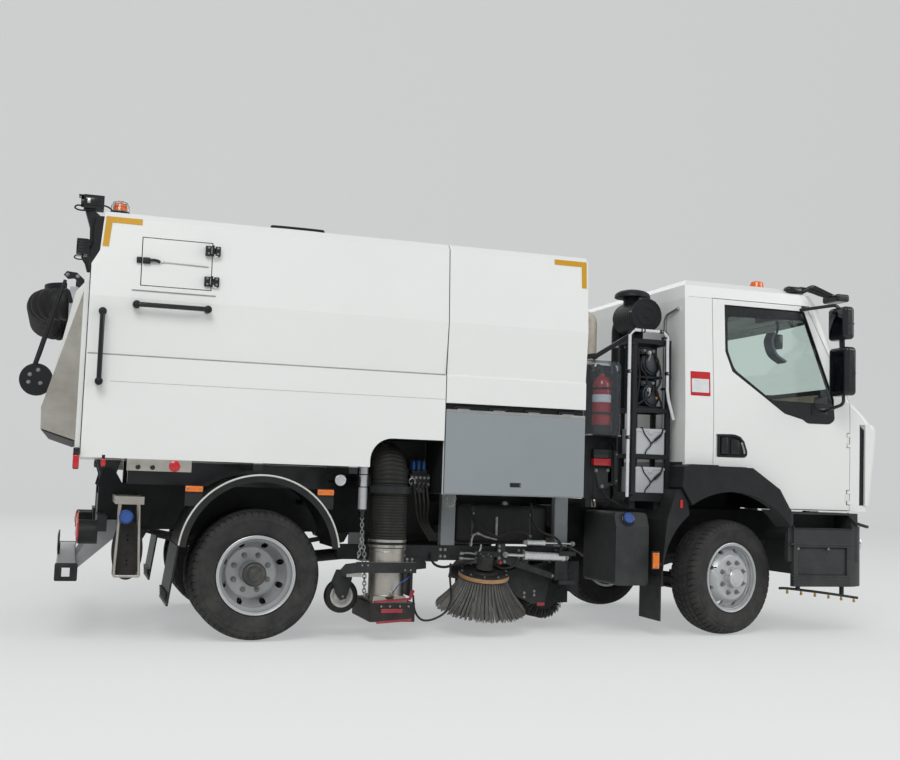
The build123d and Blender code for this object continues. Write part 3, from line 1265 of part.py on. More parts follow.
def cab_volume(inset, floor_z=cab_bottom_z):
    """The cab's outer volume, or its inside if a wall thickness is given."""
    volume = None
    last = cab_sections[-1]
    rows = [(floor_z, *cab_sections[0][1:])] + list(cab_sections[1:])
    rows[-1] = (last[0] - inset, *last[1:])
    if inset:
        rows[-2] = (rows[-2][0] - inset * 0.8, *rows[-2][1:])
    for low, high in zip(rows[:-1], rows[1:]):
        part = loft([cab_section(*low, inset), cab_section(*high, inset)], ruled=True)
        volume = part if volume is None else volume + part
    return volume


door_hinge_x = door_front_x - 18
door_hinge_y = -cab_half_width + 6
door_hinge_z = (cab_bottom_z + 110, cab_bottom_z + 560)


def door_outline(gap):
    """The door seen from the side, taken in by a gap all round."""
    face = make_face(Polyline((door_back_x, arch_top_z), (door_back_x, door_top_z),
                              (door_top_front_x, door_top_z),
                              (door_front_x, pillar_foot_z), (door_front_x, door_sill_z),
                              (arch_front_x, door_sill_z),
                              (arch_slope_x, arch_top_z - 155), (arch_flat_x, arch_top_z), close=True))
    return offset(face, -gap, kind=Kind.INTERSECTION) if gap else face


def window_face(grow):
    """The side window's outline: level top, slanted front, and a sill that dips to the front."""
    x = front_axle_x
    face = make_face(Polyline((x - 20, cab_bottom_z + 1568), (x + 700, cab_bottom_z + 1568),
                              (x + 955, cab_bottom_z + 880),
                              (x + 955, cab_bottom_z + 800), (x + 690, cab_bottom_z + 700),
                              (x + 500, cab_bottom_z + 745),
                              (x + 40, cab_bottom_z + 1048), (x - 20, cab_bottom_z + 1200), close=True))
    return offset(face, grow, kind=Kind.INTERSECTION) if grow else face


def windscreen_outline(grow):
    """The windscreen seen from the front."""
    top, low = cab_bottom_z + 1570 + grow, cab_bottom_z + 905 - grow
    wide, narrow = 1000 + grow, 952 + grow
    return cross_plate([(-wide, low), (-narrow, top), (narrow, top), (wide, low)],
                       (front_axle_x + 300, front_x + 50))


cab_floor_thickness = 45
deflector_x = front_x - 163
deflector_y = -991
deflector_z = (cab_bottom_z + 50, cab_bottom_z + 690)
deflector_thickness = 14
deflector_slot = 44
deflector_slot_depth = 18


def under_cuts():
    """What is open below the cab: the engine bay, the wheel housings and the bay behind the lid."""
    floor = cab_floor_z - cab_floor_thickness
    bay = block((cab_back_x - 50, front_x - 300), (-350, 350), (cab_bottom_z - 50, floor))
    back = block((cab_back_x - 50, arch_front_x), (-1400, 1400), (cab_bottom_z - 50, floor))
    service = block((front_x - 250, front_x + 50), (-940, 940), (lid_z[0] + 25, floor))
    return bay + back + service


def cab_shell():
    outer = cab_volume(0)
    cavity = cab_volume(cab_wall, cab_floor_z)
    well = block((arch_front_x + 50, front_x - 300), (400, 1075), (cab_bottom_z + 50, cab_floor_z + 1))
    shell = outer - cavity - both_sides(well) - under_cuts()
    arch_side = side_plate([(cab_back_x - 50, cab_bottom_z - 50), (cab_back_x - 50, arch_top_z),
                            (arch_flat_x, arch_top_z), (arch_slope_x, arch_top_z - 155),
                            (arch_front_x, door_sill_z), (arch_front_x, cab_bottom_z - 50)], (-1400, -1010))
    shell -= both_sides(arch_side)
    door_hole = side_cut(door_outline(0), (-1400, -1010))
    shell -= both_sides(door_hole)
    shell -= windscreen_outline(0)
    # Deflector panels that wrap round the front corners, with a slot along their back edge
    corner = block((deflector_x, front_x), (-cab_half_width - 40, deflector_y), deflector_z)
    slot = block((deflector_x - deflector_slot, deflector_x), (-cab_half_width - 40, deflector_y),
                 deflector_z)
    shell += both_sides((cab_volume(-deflector_thickness) - cab_volume(0)) & corner)
    shell -= both_sides((cab_volume(0) - cab_volume(deflector_slot_depth)) & slot)
    # Pivot lugs below the front corners of the floor
    lug = block((cab_pivot_x - 42, cab_pivot_x + 42), (-cab_ear_y - 70, -cab_ear_y - 10),
                (cab_pivot_z - 42, cab_bottom_z + 60))
    lug -= drum((cab_pivot_x, -cab_ear_y - 40, cab_pivot_z), "Y", cab_pin_radius + running_gap, 200)
    # Fixed eyes of the door's hinges, let into the front pillars
    for z in door_hinge_z:
        fixed, _ = hinge("Z", (door_hinge_x, door_hinge_y, z), 60, 24, 9, 5)
        for side in (-42, 42):
            fixed += block((door_hinge_x, door_front_x + 16), (door_hinge_y - 5, door_hinge_y + 12),
                           (z + side - 12, z + side + 12))
        lug += fixed
    # Fixed eyes of the service lid's hinges, above its top edge
    eyes = None
    for y in lid_hinge_y:
        fixed, _ = lid_hinge(y)
        for side in (-33, 33):
            fixed += block((front_x - 50, lid_hinge_x), (y + side - 8, y + side + 8),
                           (lid_hinge_z - 5, lid_hinge_z + 5))
        eyes = fixed if eyes is None else eyes + fixed
    return shell + both_sides(lug) + eyes


door_inner_y = 1010
handle_depth = 21


def cab_door():
    """The right-hand door: the cab's own wall inside the door's outline, with its window cut."""
    wall = cab_volume(0) - cab_volume(cab_wall, cab_bottom_z - 10)
    door = wall & side_cut(door_outline(panel_gap), (-1400, -door_inner_y))
    door -= side_cut(window_face(0), (-1400, -900))
    x, z = door_back_x, cab_bottom_z
    door -= side_plate([(x + 24, z + 386), (x + 262, z + 388), (x + 280, z + 404), (x + 278, z + 440),
                        (x + 250, z + 515), (x + 218, z + 550), (x + 172, z + 566), (x + 24, z + 562)],
                       (-1400, -cab_half_width + handle_depth))
    for z in door_hinge_z:
        _, barrel = hinge("Z", (door_hinge_x, door_hinge_y, z), 60, 24, 9, 5)
        for side in (-42, 42):
            door -= block((door_hinge_x - 16, door_front_x + 20), (-1400, -900),
                          (z + side - 17, z + side + 17))
        door -= drum((door_hinge_x, door_hinge_y, z), "Z", 15, 54)
        leaf = block((door_hinge_x - 24, door_hinge_x), (door_hinge_y - 4, door_hinge_y + 14),
                     (z - 24, z + 24))
        door += barrel + leaf - drum((door_hinge_x, door_hinge_y, z), "Z", 8, 60)
    return door


def door_window():
    wall = cab_volume(14) - cab_volume(20)
    return wall & side_cut(window_face(-0.3), (-1400, -900))


def windscreen():
    wall = cab_volume(14) - cab_volume(20)
    return wall & windscreen_outline(-0.3)


def cab_arches():
    """Black arches over the front wheels, fixed to the cab's sides."""
    x = front_axle_x
    arch = side_cut(arch_outline(), (-1228, -1012)) - drum((x, -1100, arch_centre_z), "Y", arch_radius, 400)
    inner = side_cut(offset(arch_outline(), -16, kind=Kind.INTERSECTION), (-1212, -990))
    arch -= inner - drum((x, -1100, arch_centre_z), "Y", arch_radius + 16, 500)
    arch -= cab_volume(0)
    arch -= side_cut(door_outline(0), (-1400, -900))
    return both_sides(arch)


lid_z = (cab_bottom_z + 60, cab_bottom_z + 648)
lid_gap = 0.8
lid_hinge_z = lid_z[1] + 8
lid_hinge_x = front_x - 12
lid_hinge_y = (-600, 600)
lid_slot_count = 5
lid_slot_half = 430
lid_slot_height = 22
lid_slot_pitch = 44


def lid_hinge(y):
    """One of the service lid's hinges: its fixed eyes with the pin, and its barrel."""
    return hinge("Y", (lid_hinge_x, y, lid_hinge_z), 50, 16, 7, 4)


def front_lid():
    """The white service lid across the front, following its bow, with air slots and its hinges."""
    wall = cab_volume(-lid_gap - 13) - cab_volume(-lid_gap)
    lid = wall & block((front_x - 400, front_x), (-985, 985), lid_z)
    for step in range(lid_slot_count):
        low = lid_z[0] + 300 + step * lid_slot_pitch
        lid -= block((front_x - 400, front_x), (-lid_slot_half, lid_slot_half), (low, low + lid_slot_height))
    for y in lid_hinge_y:
        _, barrel = lid_hinge(y)
        leaf = block((lid_hinge_x - 5, lid_hinge_x + 6), (y - 24, y + 24), (lid_z[1] - 6, lid_hinge_z))
        lid += barrel + leaf - drum((lid_hinge_x, y, lid_hinge_z), "Y", 6.5, 60)
    return lid


def seats():
    """Driver's and passenger's seats on their boxes."""
    pair = None
    for y in (-560, 560):
        x = cab_back_x + 130
        base = block((x + 150, x + 520), (y - 190, y + 190), (cab_floor_z, cab_floor_z + 210))
        cushion = block((x + 90, x + 610), (y - 235, y + 235), (cab_floor_z + 205, cab_floor_z + 330))
        cushion = fillet(cushion.edges().filter_by(Axis.Y), 40)
        back = Pos(x + 130, y, cab_floor_z + 600) * Rot(0, -12,
                                                        0) * fillet(Box(120, 450,
                                                                        640).edges().filter_by(Axis.Y), 40)
        head = Pos(x + 60, y, cab_floor_z + 990) * Rot(0, -12,
                                                       0) * fillet(Box(90, 260,
                                                                       170).edges().filter_by(Axis.Y), 30)
        stem = rod((x + 75, y, cab_floor_z + 860), (x + 60, y, cab_floor_z + 960), 14)
        seat = base + cushion + back + head + stem
        pair = seat if pair is None else pair + seat
    return pair


wheel_y = 560


def dashboard():
    """Dashboard across the cab, with the driver's steering column and wheel on the left."""
    x = front_x - 560
    dash = side_plate([(x + 40, cab_floor_z + 300), (x, cab_floor_z + 420), (x + 30, cab_floor_z + 560),
                       (x + 190, cab_floor_z + 545), (x + 190, cab_floor_z + 300)], (-1000, 1000))
    dash &= cab_volume(cab_wall + 1, cab_floor_z)
    dash += block((x + 110, x + 170), (-345, 345), (cab_floor_z, cab_floor_z + 320))
    column = rod((x + 80, wheel_y, cab_floor_z + 420), (x - 60, wheel_y, cab_floor_z + 640), 34)
    axis = Vector(-140, 0, 220).normalized()
    rim = Plane(origin=(x - 64, wheel_y, cab_floor_z + 646), z_dir=axis) * Torus(215, 15)
    hub = Plane(origin=(x - 60, wheel_y, cab_floor_z + 640), z_dir=axis) * Cylinder(62, 40)
    spokes = Plane(origin=(x - 62, wheel_y, cab_floor_z + 643),
                   z_dir=axis) * (Box(36, 420, 14) + Pos(-105, 0, 0) * Box(210, 34, 14))
    return dash + column + rim + hub + spokes


mirror_y = 1330


def door_mirrors():
    """Two mirror heads on one bent tube, from the door's front top to its lower corner."""
    x = front_axle_x + 845
    tube = bent_bar([(door_top_front_x - 60, -1082, door_top_z - 36), (x + 10, -mirror_y, door_top_z - 10),
                     (x + 55, -mirror_y, cab_bottom_z + 830),
                     (front_axle_x + 850, -1120, cab_bottom_z + 772)], 45, 13)
    upper = block((x - 20, x + 78), (-mirror_y - 110, -mirror_y + 110),
                  (cab_bottom_z + 1325, cab_bottom_z + 1580))
    lower = block((x - 8, x + 92), (-mirror_y - 115, -mirror_y + 115),
                  (cab_bottom_z + 892, cab_bottom_z + 1268))
    upper = fillet(upper.edges(), 30)
    lower = fillet(lower.edges(), 30)
    return tube + upper + lower - cab_volume(0)


def kerb_mirror():
    """The close-view mirror on its arm from the roof's front corner."""
    arm = bent_bar([(front_axle_x + 640, -1010, cab_bottom_z + 1690),
                    (front_axle_x + 770, -1110, cab_bottom_z + 1770),
                    (front_axle_x + 915, -1180, cab_bottom_z + 1690)], 40, 18)
    head = Pos(front_axle_x + 935, -1180, cab_bottom_z + 1672) * fillet(Box(120, 200, 60).edges(), 20)
    return arm + head - cab_volume(0)


def wheel_pair(shape_at_origin, x, track):
    """The right-hand wheel piece at its axle, from one drawn at the origin."""
    return Pos(x, -track / 2, tyre_radius) * shape_at_origin


def all_parts():
    tyre = tyre_solid()
    front_tyre = wheel_pair(tyre, front_axle_x, front_track)
    front_wheel = wheel_pair(front_rim(), front_axle_x, front_track)
    twin_tyres = wheel_pair(tyre + Pos(0, twin_spacing, 0) * tyre, rear_axle_x, rear_outer_track)
    twin_rims = wheel_pair(rear_rims(), rear_axle_x, rear_outer_track)
    mirrored = {
        "door": cab_door(),
        "window": door_window(),
        "mirrors": door_mirrors(),
        "service_flap": service_flap(),
        "tyres_rear": twin_tyres,
        "rims_rear": twin_rims,
    }
    steered = {"knuckle": knuckle(), "tyre_front": front_tyre, "rim_front": front_wheel}
    parts = {
        "chassis_frame": chassis_frame(),
        "sweeper_subframe": sweeper_subframe(),
        "roller_hood": roller_hood(),
        "engine_and_shaft": engine_and_shaft(),
        "front_axle": front_axle(),
        "rear_axle": rear_axle(),
        "leaf_springs": leaf_springs(),
        "front_bumper": front_bumper(),
        "front_guards": front_guards(),
        "rear_guards": rear_guards(),
        "side_tanks": reductant_tank() + fuel_tank(),
        "underrun_bar": underrun_bar(),
        "rear_lamps": rear_lamps(),
        "stowage_rack": stowage_rack(),
        "equipment_tower": equipment_tower(),
        "stowage_boxes": stowage_boxes(),
        "extinguisher_cabinet": extinguisher_cabinet(),
        "air_intake": air_intake(),
        "exhaust_pipe": exhaust_pipe(),
        "engine_housing": engine_housing(),
        "blower_engine": blower_engine(),
        "suction_hose": suction_hose(),
        "cab_shell": cab_shell(),
        "cab_arches": cab_arches(),
        "windscreen": windscreen(),
        "cab_interior": seats() + dashboard(),
        "kerb_mirror": kerb_mirror(),
        "front_lid": front_lid(),
        "hopper_shell": hopper_shell(),
        "grab_rails": grab_rails(),
        "beacon_posts": beacon_posts(),
        "inspection_hatch": inspection_hatch(),
        "tailgate": tailgate(),
        "discharge_chute": discharge_chute(),
        "wandering_hose": wandering_hose(),
        "hose_boom": hose_boom(),
        "brush_bracket": brush_swing_bracket(),
        "brush_arm": brush_arm(),
        "side_brush": side_brush(),
        "suction_nozzle": suction_nozzle(),
        "nozzle_caster": nozzle_caster(),
        "roller_brush": roller_brush(),
    }
    for name, shape in mirrored.items():
        parts[f"{name}_right"] = shape
        parts[f"{name}_left"] = left_of(shape)
    for name, shape in steered.items():
        parts[f"{name}_right"] = in_steer(shape)
        parts[f"{name}_left"] = in_left_steer(shape)
    return parts


def write_parts():
    os.makedirs("parts", exist_ok=True)
    for name, shape in all_parts().items():
        export_step(one(shape), f"parts/{name}.step")


if __name__ == "__main__":
    write_parts()
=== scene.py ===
"""Looks of the street sweeper truck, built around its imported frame.

Metres, +X forward, +Y to the driver's left, +Z up. Each section holds one piece or one group of
like pieces, in the order in which the truck is put together.
"""
from math import cos, pi, radians, sin

import bmesh
import bpy
import numpy as np
from mathutils import Matrix, Vector


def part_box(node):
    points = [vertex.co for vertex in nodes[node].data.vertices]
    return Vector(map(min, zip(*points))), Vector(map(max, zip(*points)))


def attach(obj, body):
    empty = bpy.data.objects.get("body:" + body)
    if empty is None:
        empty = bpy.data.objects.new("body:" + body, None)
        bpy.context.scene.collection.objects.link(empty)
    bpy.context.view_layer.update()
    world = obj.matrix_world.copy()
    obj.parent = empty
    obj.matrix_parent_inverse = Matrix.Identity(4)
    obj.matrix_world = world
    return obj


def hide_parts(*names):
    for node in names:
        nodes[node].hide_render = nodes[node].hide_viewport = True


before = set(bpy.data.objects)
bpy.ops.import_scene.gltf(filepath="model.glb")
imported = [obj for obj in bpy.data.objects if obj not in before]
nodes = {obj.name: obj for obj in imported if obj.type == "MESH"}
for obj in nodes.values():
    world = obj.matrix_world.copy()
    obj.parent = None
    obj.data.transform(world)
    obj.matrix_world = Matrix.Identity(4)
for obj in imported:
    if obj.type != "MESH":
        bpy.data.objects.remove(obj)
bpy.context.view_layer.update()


# Studio: a pale floor that runs up into a pale backdrop, three soft lamps, and the camera that
# the photograph was taken with, solved from both wheels, the cab and the body.
camera_place = (-2.891, -8.865, 1.104)
camera_yaw, camera_pitch, camera_roll = radians(17.94), radians(4.93), radians(1.86)
camera_lens, camera_sensor, camera_reach = 46.19, 36.0, 300
floor_colour, floor_glow = "#e6e6e3", 0.45
air_colour = "#eef2f6"
air_strength = 0.55
backdrop_colour = "#eff0f1"
floor_half, floor_turn_y, floor_turn_radius, floor_wall = 60.0, 22.0, 9.0, 30.0
lamp_target = Vector((0, 0, 1))
lamps = (("key_lamp", (-6, -13, 12), 8, 1180), ("fill_lamp", (12, -8, 7), 7, 470),
         ("back_lamp", (1, 14, 11), 10, 260))


def linear(colour):
    """An sRGB hex colour as linear red, green, blue and alpha."""
    share = np.array([int(colour[i:i + 2], 16) for i in (1, 3, 5)]) / 255
    curve = np.where(share <= 0.04045, share / 12.92, ((share + 0.055) / 1.055) ** 2.4)
    return (*(float(c) for c in curve), 1.0)


def add(tree, kind, inputs=(), **settings):
    """Adds one node. Inputs are socket: value, or socket: another node's output."""
    made = tree.nodes.new("ShaderNode" + kind)
    for name, value in settings.items():
        setattr(made, name, value)
    for socket, value in dict(inputs).items():
        if isinstance(value, bpy.types.NodeSocket):
            tree.links.new(value, made.inputs[socket])
        else:
            made.inputs[socket].default_value = value
    return made


def blank(name):
    """A material with an empty node tree and its output node."""
    material = bpy.data.materials.new(name)
    material.use_nodes = True
    material.node_tree.nodes.clear()
    return material, material.node_tree, add(material.node_tree, "OutputMaterial")


def studio_floor():
    """Matt board: to the camera, and in gloss and glass, a share of it shows as plain pale light."""
    material, tree, out = blank("matt_studio_board")
    board = add(tree, "BsdfDiffuse", {"Color": linear(floor_colour)})
    glow = add(tree, "Emission", {"Color": linear(backdrop_colour), "Strength": 1.0})
    ray = add(tree, "LightPath")
    gloss = add(tree, "Math", {0: ray.outputs["Is Glossy Ray"], 1: ray.outputs["Is Transmission Ray"]},
                operation="MAXIMUM")
    seen = add(tree, "Math", {0: ray.outputs["Is Camera Ray"], 1: gloss.outputs[0]}, operation="MAXIMUM")
    share = add(tree, "Math", {0: seen.outputs[0], 1: floor_glow}, operation="MULTIPLY")
    mixed = add(tree, "MixShader", {0: share.outputs[0], 1: board.outputs[0], 2: glow.outputs[0]})
    tree.links.new(mixed.outputs[0], out.inputs["Surface"])
    return material


def grid(rows, columns, round_rows=False, round_columns=False):
    """Quads between neighbours of a rows by columns grid; a round direction closes on itself."""
    r, c = np.meshgrid(np.arange(rows if round_rows else rows - 1),
                       np.arange(columns if round_columns else columns - 1), indexing="ij")
    r2, c2 = (r + 1) % rows, (c + 1) % columns
    corners = [r * columns + c, r * columns + c2, r2 * columns + c2, r2 * columns + c]
    return np.stack(corners, -1).reshape(-1, 4)


def mesh_object(name, parts, material, sharp=35):
    """One mesh from (points, face arrays) parts, faces outwards, smooth but for sharp edges."""
    points, faces, base = [], [], 0
    for part_points, part_faces in parts:
        flat = np.asarray(part_points, float).reshape(-1, 3)
        points.append(flat)
        for array in part_faces:
            faces += (np.asarray(array) + base).tolist()
        base += len(flat)
    mesh = bpy.data.meshes.new(name)
    mesh.from_pydata(np.concatenate(points).tolist(), [], faces)
    work = bmesh.new()
    work.from_mesh(mesh)
    bmesh.ops.recalc_face_normals(work, faces=work.faces)
    work.to_mesh(mesh)
    work.free()
    mesh.shade_smooth()
    mesh.set_sharp_from_angle(angle=radians(sharp))
    mesh.materials.append(material)
    made = bpy.data.objects.new(name, mesh)
    bpy.context.scene.collection.objects.link(made)
    return made


floor_arc = np.linspace(0, pi / 2, 16)
floor_y = np.concatenate([[-floor_half], floor_turn_y + floor_turn_radius * np.sin(floor_arc),
                          [floor_turn_y + floor_turn_radius]])
floor_z = np.concatenate([[0], floor_turn_radius * (1 - np.cos(floor_arc)), [floor_wall]])
floor_rows = np.stack([np.stack([np.full_like(floor_y, x), floor_y, floor_z], -1)
                       for x in (-floor_half, floor_half)])
floor = mesh_object("studio_floor", [(floor_rows, [grid(*floor_rows.shape[:2])])], studio_floor())

world = bpy.data.worlds.new("studio_air")
bpy.context.scene.world = world
world.use_nodes = True
world.node_tree.nodes.clear()
air = add(world.node_tree, "Background", {"Color": linear(air_colour), "Strength": air_strength})
backdrop = add(world.node_tree, "Background", {"Color": linear(backdrop_colour), "Strength": 1.0})
ray = add(world.node_tree, "LightPath")
seen = add(world.node_tree, "Math",
           {0: ray.outputs["Is Camera Ray"], 1: ray.outputs["Is Transmission Ray"]}, operation="MAXIMUM")
shown = add(world.node_tree, "MixShader", {0: seen.outputs[0], 1: air.outputs[0], 2: backdrop.outputs[0]})
add(world.node_tree, "OutputWorld", {"Surface": shown.outputs[0]})

for lamp_name, place, width, watts in lamps:
    light = bpy.data.lights.new(lamp_name, "AREA")
    light.size = width
    light.energy = watts
    lamp = bpy.data.objects.new(lamp_name, light)
    bpy.context.scene.collection.objects.link(lamp)
    lamp.visible_camera = False
    lamp.location = place
    lamp.rotation_euler = (Vector(place) - lamp_target).to_track_quat("Z", "Y").to_euler()

look = Vector((sin(camera_yaw) * cos(camera_pitch), cos(camera_yaw) * cos(camera_pitch), sin(camera_pitch)))
level = Vector((cos(camera_yaw), -sin(camera_yaw), 0))
upright = level.cross(look)
across = cos(camera_roll) * level + sin(camera_roll) * upright
above = -sin(camera_roll) * level + cos(camera_roll) * upright
camera_data = bpy.data.cameras.new("photograph")
camera_data.lens = camera_lens
camera_data.sensor_width = camera_sensor
camera_data.clip_end = camera_reach
camera = bpy.data.objects.new("photograph", camera_data)
bpy.context.scene.collection.objects.link(camera)
camera.matrix_world = Matrix.Translation(camera_place) @ Matrix((across, above, -look)).transposed().to_4x4()
bpy.context.scene.camera = camera
bpy.context.scene.view_settings.view_transform = "Standard"


# Ladder frame, subframe, axles and springs: welded and forged steel under black chassis paint,
# brushed on thick, greyed by road dust where spray reaches and where it can lie.
dust_colour = "#8d8981"
dust_low, dust_high = 0.1, 1.5


def finish(name, fresh, aged, roughness, patch=0.35, grain_mm=3.0, relief_mm=0.05, dust=0.0, spread=0.07,
           **shader):
    """A surface that drifts between two tones in patches, with a finer grain in gloss and relief.

    Dust thins out from dust_low to dust_high and lies on what faces up, broken by the patches.
    Other words are the shader's own sockets, such as Metallic.
    """
    material, tree, out = blank(name)
    place = add(tree, "TexCoord").outputs["Object"]
    patches = add(tree, "TexNoise", {"Vector": place, "Scale": 1 / patch, "Detail": 6.0, "Roughness": 0.62})
    grain = add(tree, "TexNoise",
                {"Vector": place, "Scale": 1000 / grain_mm, "Detail": 3.0, "Roughness": 0.6})
    even = add(tree, "MapRange", {"Value": patches.outputs[0], "From Min": 0.3, "From Max": 0.7})
    tone = add(tree, "Mix", {0: even.outputs[0], 6: linear(fresh), 7: linear(aged)}, data_type="RGBA")
    colour = tone.outputs[2]
    gloss = add(tree, "MapRange", {"Value": grain.outputs[0], "From Min": 0.25, "From Max": 0.75,
                                   "To Min": max(roughness - spread, 0.02),
                                   "To Max": min(roughness + spread, 1.0)})
    gloss_out = gloss.outputs[0]
    if dust:
        height = add(tree, "SeparateXYZ", {0: place})
        facing = add(tree, "SeparateXYZ", {0: add(tree, "NewGeometry").outputs["Normal"]})
        low = add(tree, "MapRange",
                  {"Value": height.outputs[2], "From Min": dust_high, "From Max": dust_low})
        lying = add(tree, "MapRange",
                    {"Value": facing.outputs[2], "From Min": 0.55, "From Max": 1.0, "To Max": 0.8})
        most = add(tree, "Math", {0: low.outputs[0], 1: lying.outputs[0]}, operation="MAXIMUM")
        fleck = add(tree, "TexNoise", {"Vector": place, "Scale": 9.0, "Detail": 8.0, "Roughness": 0.7})
        broken = add(tree, "MapRange", {"Value": fleck.outputs[0], "From Min": 0.32, "From Max": 0.68})
        share = add(tree, "Math", {0: most.outputs[0], 1: broken.outputs[0]}, operation="MULTIPLY")
        laid = add(tree, "Math", {0: share.outputs[0], 1: dust}, operation="MULTIPLY")
        dusty = add(tree, "Mix", {0: laid.outputs[0], 6: colour, 7: linear(dust_colour)}, data_type="RGBA")
        dull = add(tree, "Mix", {0: laid.outputs[0], 2: gloss_out, 3: 0.9}, data_type="FLOAT")
        colour, gloss_out = dusty.outputs[2], dull.outputs[0]
    relief = add(tree, "Bump", {"Height": grain.outputs[0], "Distance": relief_mm / 1000, "Strength": 1.0})
    made = add(tree, "BsdfPrincipled",
               {"Base Color": colour, "Roughness": gloss_out, "Normal": relief.outputs[0], **shader})
    tree.links.new(made.outputs[0], out.inputs["Surface"])
    return material


def dress(material, *names):
    """Gives CAD nodes a material in place of their plain one."""
    for name in names:
        nodes[name].data.materials.clear()
        nodes[name].data.materials.append(material)


# Chassis black is a thick satin alkyd; axle iron is casting under dull paint, oil and dust; spring
# steel is rolled leaf with mill scale, bluish grey. Blacks reflect less than the shader's default.
dull_face = {"Specular IOR Level": 0.25}
chassis_black = finish("brushed_chassis_enamel", "#17191c", "#212427", 0.42, grain_mm=4, relief_mm=0.12,
                       dust=0.13, **dull_face)
axle_iron = finish("painted_cast_iron", "#1d1e20", "#2d2b29", 0.6, grain_mm=3, relief_mm=0.3, dust=0.25,
                   **dull_face)
spring_steel = finish("rolled_spring_steel", "#232628", "#35332f", 0.5, grain_mm=2, relief_mm=0.1,
                      dust=0.22, Metallic=0.35)
engine_grey = finish("painted_engine_casting", "#202427", "#303231", 0.55, grain_mm=4, relief_mm=0.3,
                     dust=0.15, **dull_face)
gear_grey = finish("sprayed_structural_enamel", "#85898b", "#767a7c", 0.4, grain_mm=3, relief_mm=0.06,
                   dust=0.25)
dress(chassis_black, "chassis_frame", "sweeper_subframe", "roller_hood", "brush_bracket", "brush_arm",
      "hose_boom")
dress(axle_iron, "front_axle", "rear_axle", "knuckle_left", "knuckle_right")
dress(spring_steel, "leaf_springs")
dress(engine_grey, "engine_and_shaft", "blower_engine")


# Body and cab panels: steel sheet in sprayed white acrylic enamel, smooth and glossy, with the
# faint waver of a large pressing. Hopper and cab turn black underneath, as painted shade.
painted_shade_black = "#17191c"
hopper_shade_z = 1.166
cab_shade_z, cab_shade_half_y, cab_shade_x = 1.295, 1.10, 3.0
beyond = 9.0
body_white = finish("sprayed_white_enamel", "#e8e9e6", "#e3e4e1", 0.3, patch=1.5, grain_mm=80,
                    relief_mm=0.05, spread=0.015, **{"Coat Weight": 0.35, "Coat Roughness": 0.12})
panel_grey = finish("sprayed_grey_enamel", "#8f9599", "#898f93", 0.36, patch=1.2, grain_mm=80,
                    relief_mm=0.05, spread=0.015, **{"Coat Weight": 0.2, "Coat Roughness": 0.2})


def with_painted_shade_below(name, material, below, within=beyond, behind=beyond):
    """A copy of a paint that turns black, as painted shade, where z < below, |y| < within and x < behind."""
    made = material.copy()
    made.name = name
    tree = made.node_tree
    shader = next(node for node in tree.nodes if node.type == "BSDF_PRINCIPLED")
    place = add(tree, "SeparateXYZ", {0: add(tree, "TexCoord").outputs["Object"]})
    low = add(tree, "Math", {0: place.outputs[2], 1: below}, operation="LESS_THAN")
    width = add(tree, "Math", {0: place.outputs[1]}, operation="ABSOLUTE")
    inner = add(tree, "Math", {0: width.outputs[0], 1: within}, operation="LESS_THAN")
    back = add(tree, "Math", {0: place.outputs[0], 1: behind}, operation="LESS_THAN")
    both = add(tree, "Math", {0: low.outputs[0], 1: inner.outputs[0]}, operation="MULTIPLY")
    share = add(tree, "Math", {0: both.outputs[0], 1: back.outputs[0]}, operation="MULTIPLY")
    tone = add(tree, "Mix", {0: share.outputs[0], 6: shader.inputs["Base Color"].links[0].from_socket,
                             7: linear(painted_shade_black)}, data_type="RGBA")
    tree.links.new(tone.outputs[2], shader.inputs["Base Color"])
    return made


dress(body_white, "engine_housing", "tailgate", "door_right", "door_left", "front_lid", "inspection_hatch")
# The hopper's underside and the cab's underside and inner arches are painted black as shade.
dress(with_painted_shade_below("white_enamel_with_painted_shade_below", body_white, hopper_shade_z), "hopper_shell")
dress(with_painted_shade_below("cab_enamel_with_painted_shade_below", body_white, cab_shade_z, cab_shade_half_y, cab_shade_x),
      "cab_shell")
dress(panel_grey, "service_flap_right", "service_flap_left")


# Bought-in plastics and metals: black moulded polypropylene with its fine leather grain, brushed
# stainless sheet with fine scratches, silver wheel enamel, mill-finish aluminium and rubber.
moulded_black = finish("grained_black_polypropylene", "#18191b", "#202123", 0.48, grain_mm=1.6,
                       relief_mm=0.1, dust=0.1, **dull_face)
bumper_grey = finish("moulded_charcoal_polypropylene", "#2c2e30", "#343637", 0.5, grain_mm=1.6,
                     relief_mm=0.1, dust=0.12, **dull_face)
stainless = finish("brushed_stainless_sheet", "#bdbab2", "#a39e94", 0.33, patch=0.18, grain_mm=2,
                   relief_mm=0.03, dust=0.12, Metallic=0.85)
wheel_silver = finish("silver_wheel_enamel", "#c8cacc", "#b4b6b7", 0.36, patch=0.12, grain_mm=1.2,
                      relief_mm=0.03, dust=0.2, Metallic=0.45)
mill_aluminium = finish("mill_aluminium", "#b4b6b8", "#9fa1a2", 0.38, patch=0.2, grain_mm=1.5,
                        relief_mm=0.04, dust=0.12, Metallic=0.8)
hose_black = finish("dusty_hose_rubber", "#191817", "#232120", 0.55, patch=0.1, grain_mm=2, relief_mm=0.15,
                    dust=0.1, **dull_face)
tyre_black = finish("tyre_rubber", "#202123", "#2b2b2b", 0.66, patch=0.12, grain_mm=2, relief_mm=0.12,
                    dust=0.16, **dull_face)
gloss_black = finish("gloss_black_enamel", "#141516", "#1b1c1d", 0.16, grain_mm=30, relief_mm=0.05)
pale_plastic = finish("pale_grey_polyethylene", "#b9bbbd", "#a9abae", 0.5, grain_mm=2, relief_mm=0.08,
                      dust=0.1)
dress(moulded_black, "air_intake", "cab_arches", "front_guards", "rear_guards", "rear_lamps",
      "beacon_posts")
dress(bumper_grey, "front_bumper", "side_tanks")
dress(stainless, "suction_nozzle", "stowage_rack", "discharge_chute")
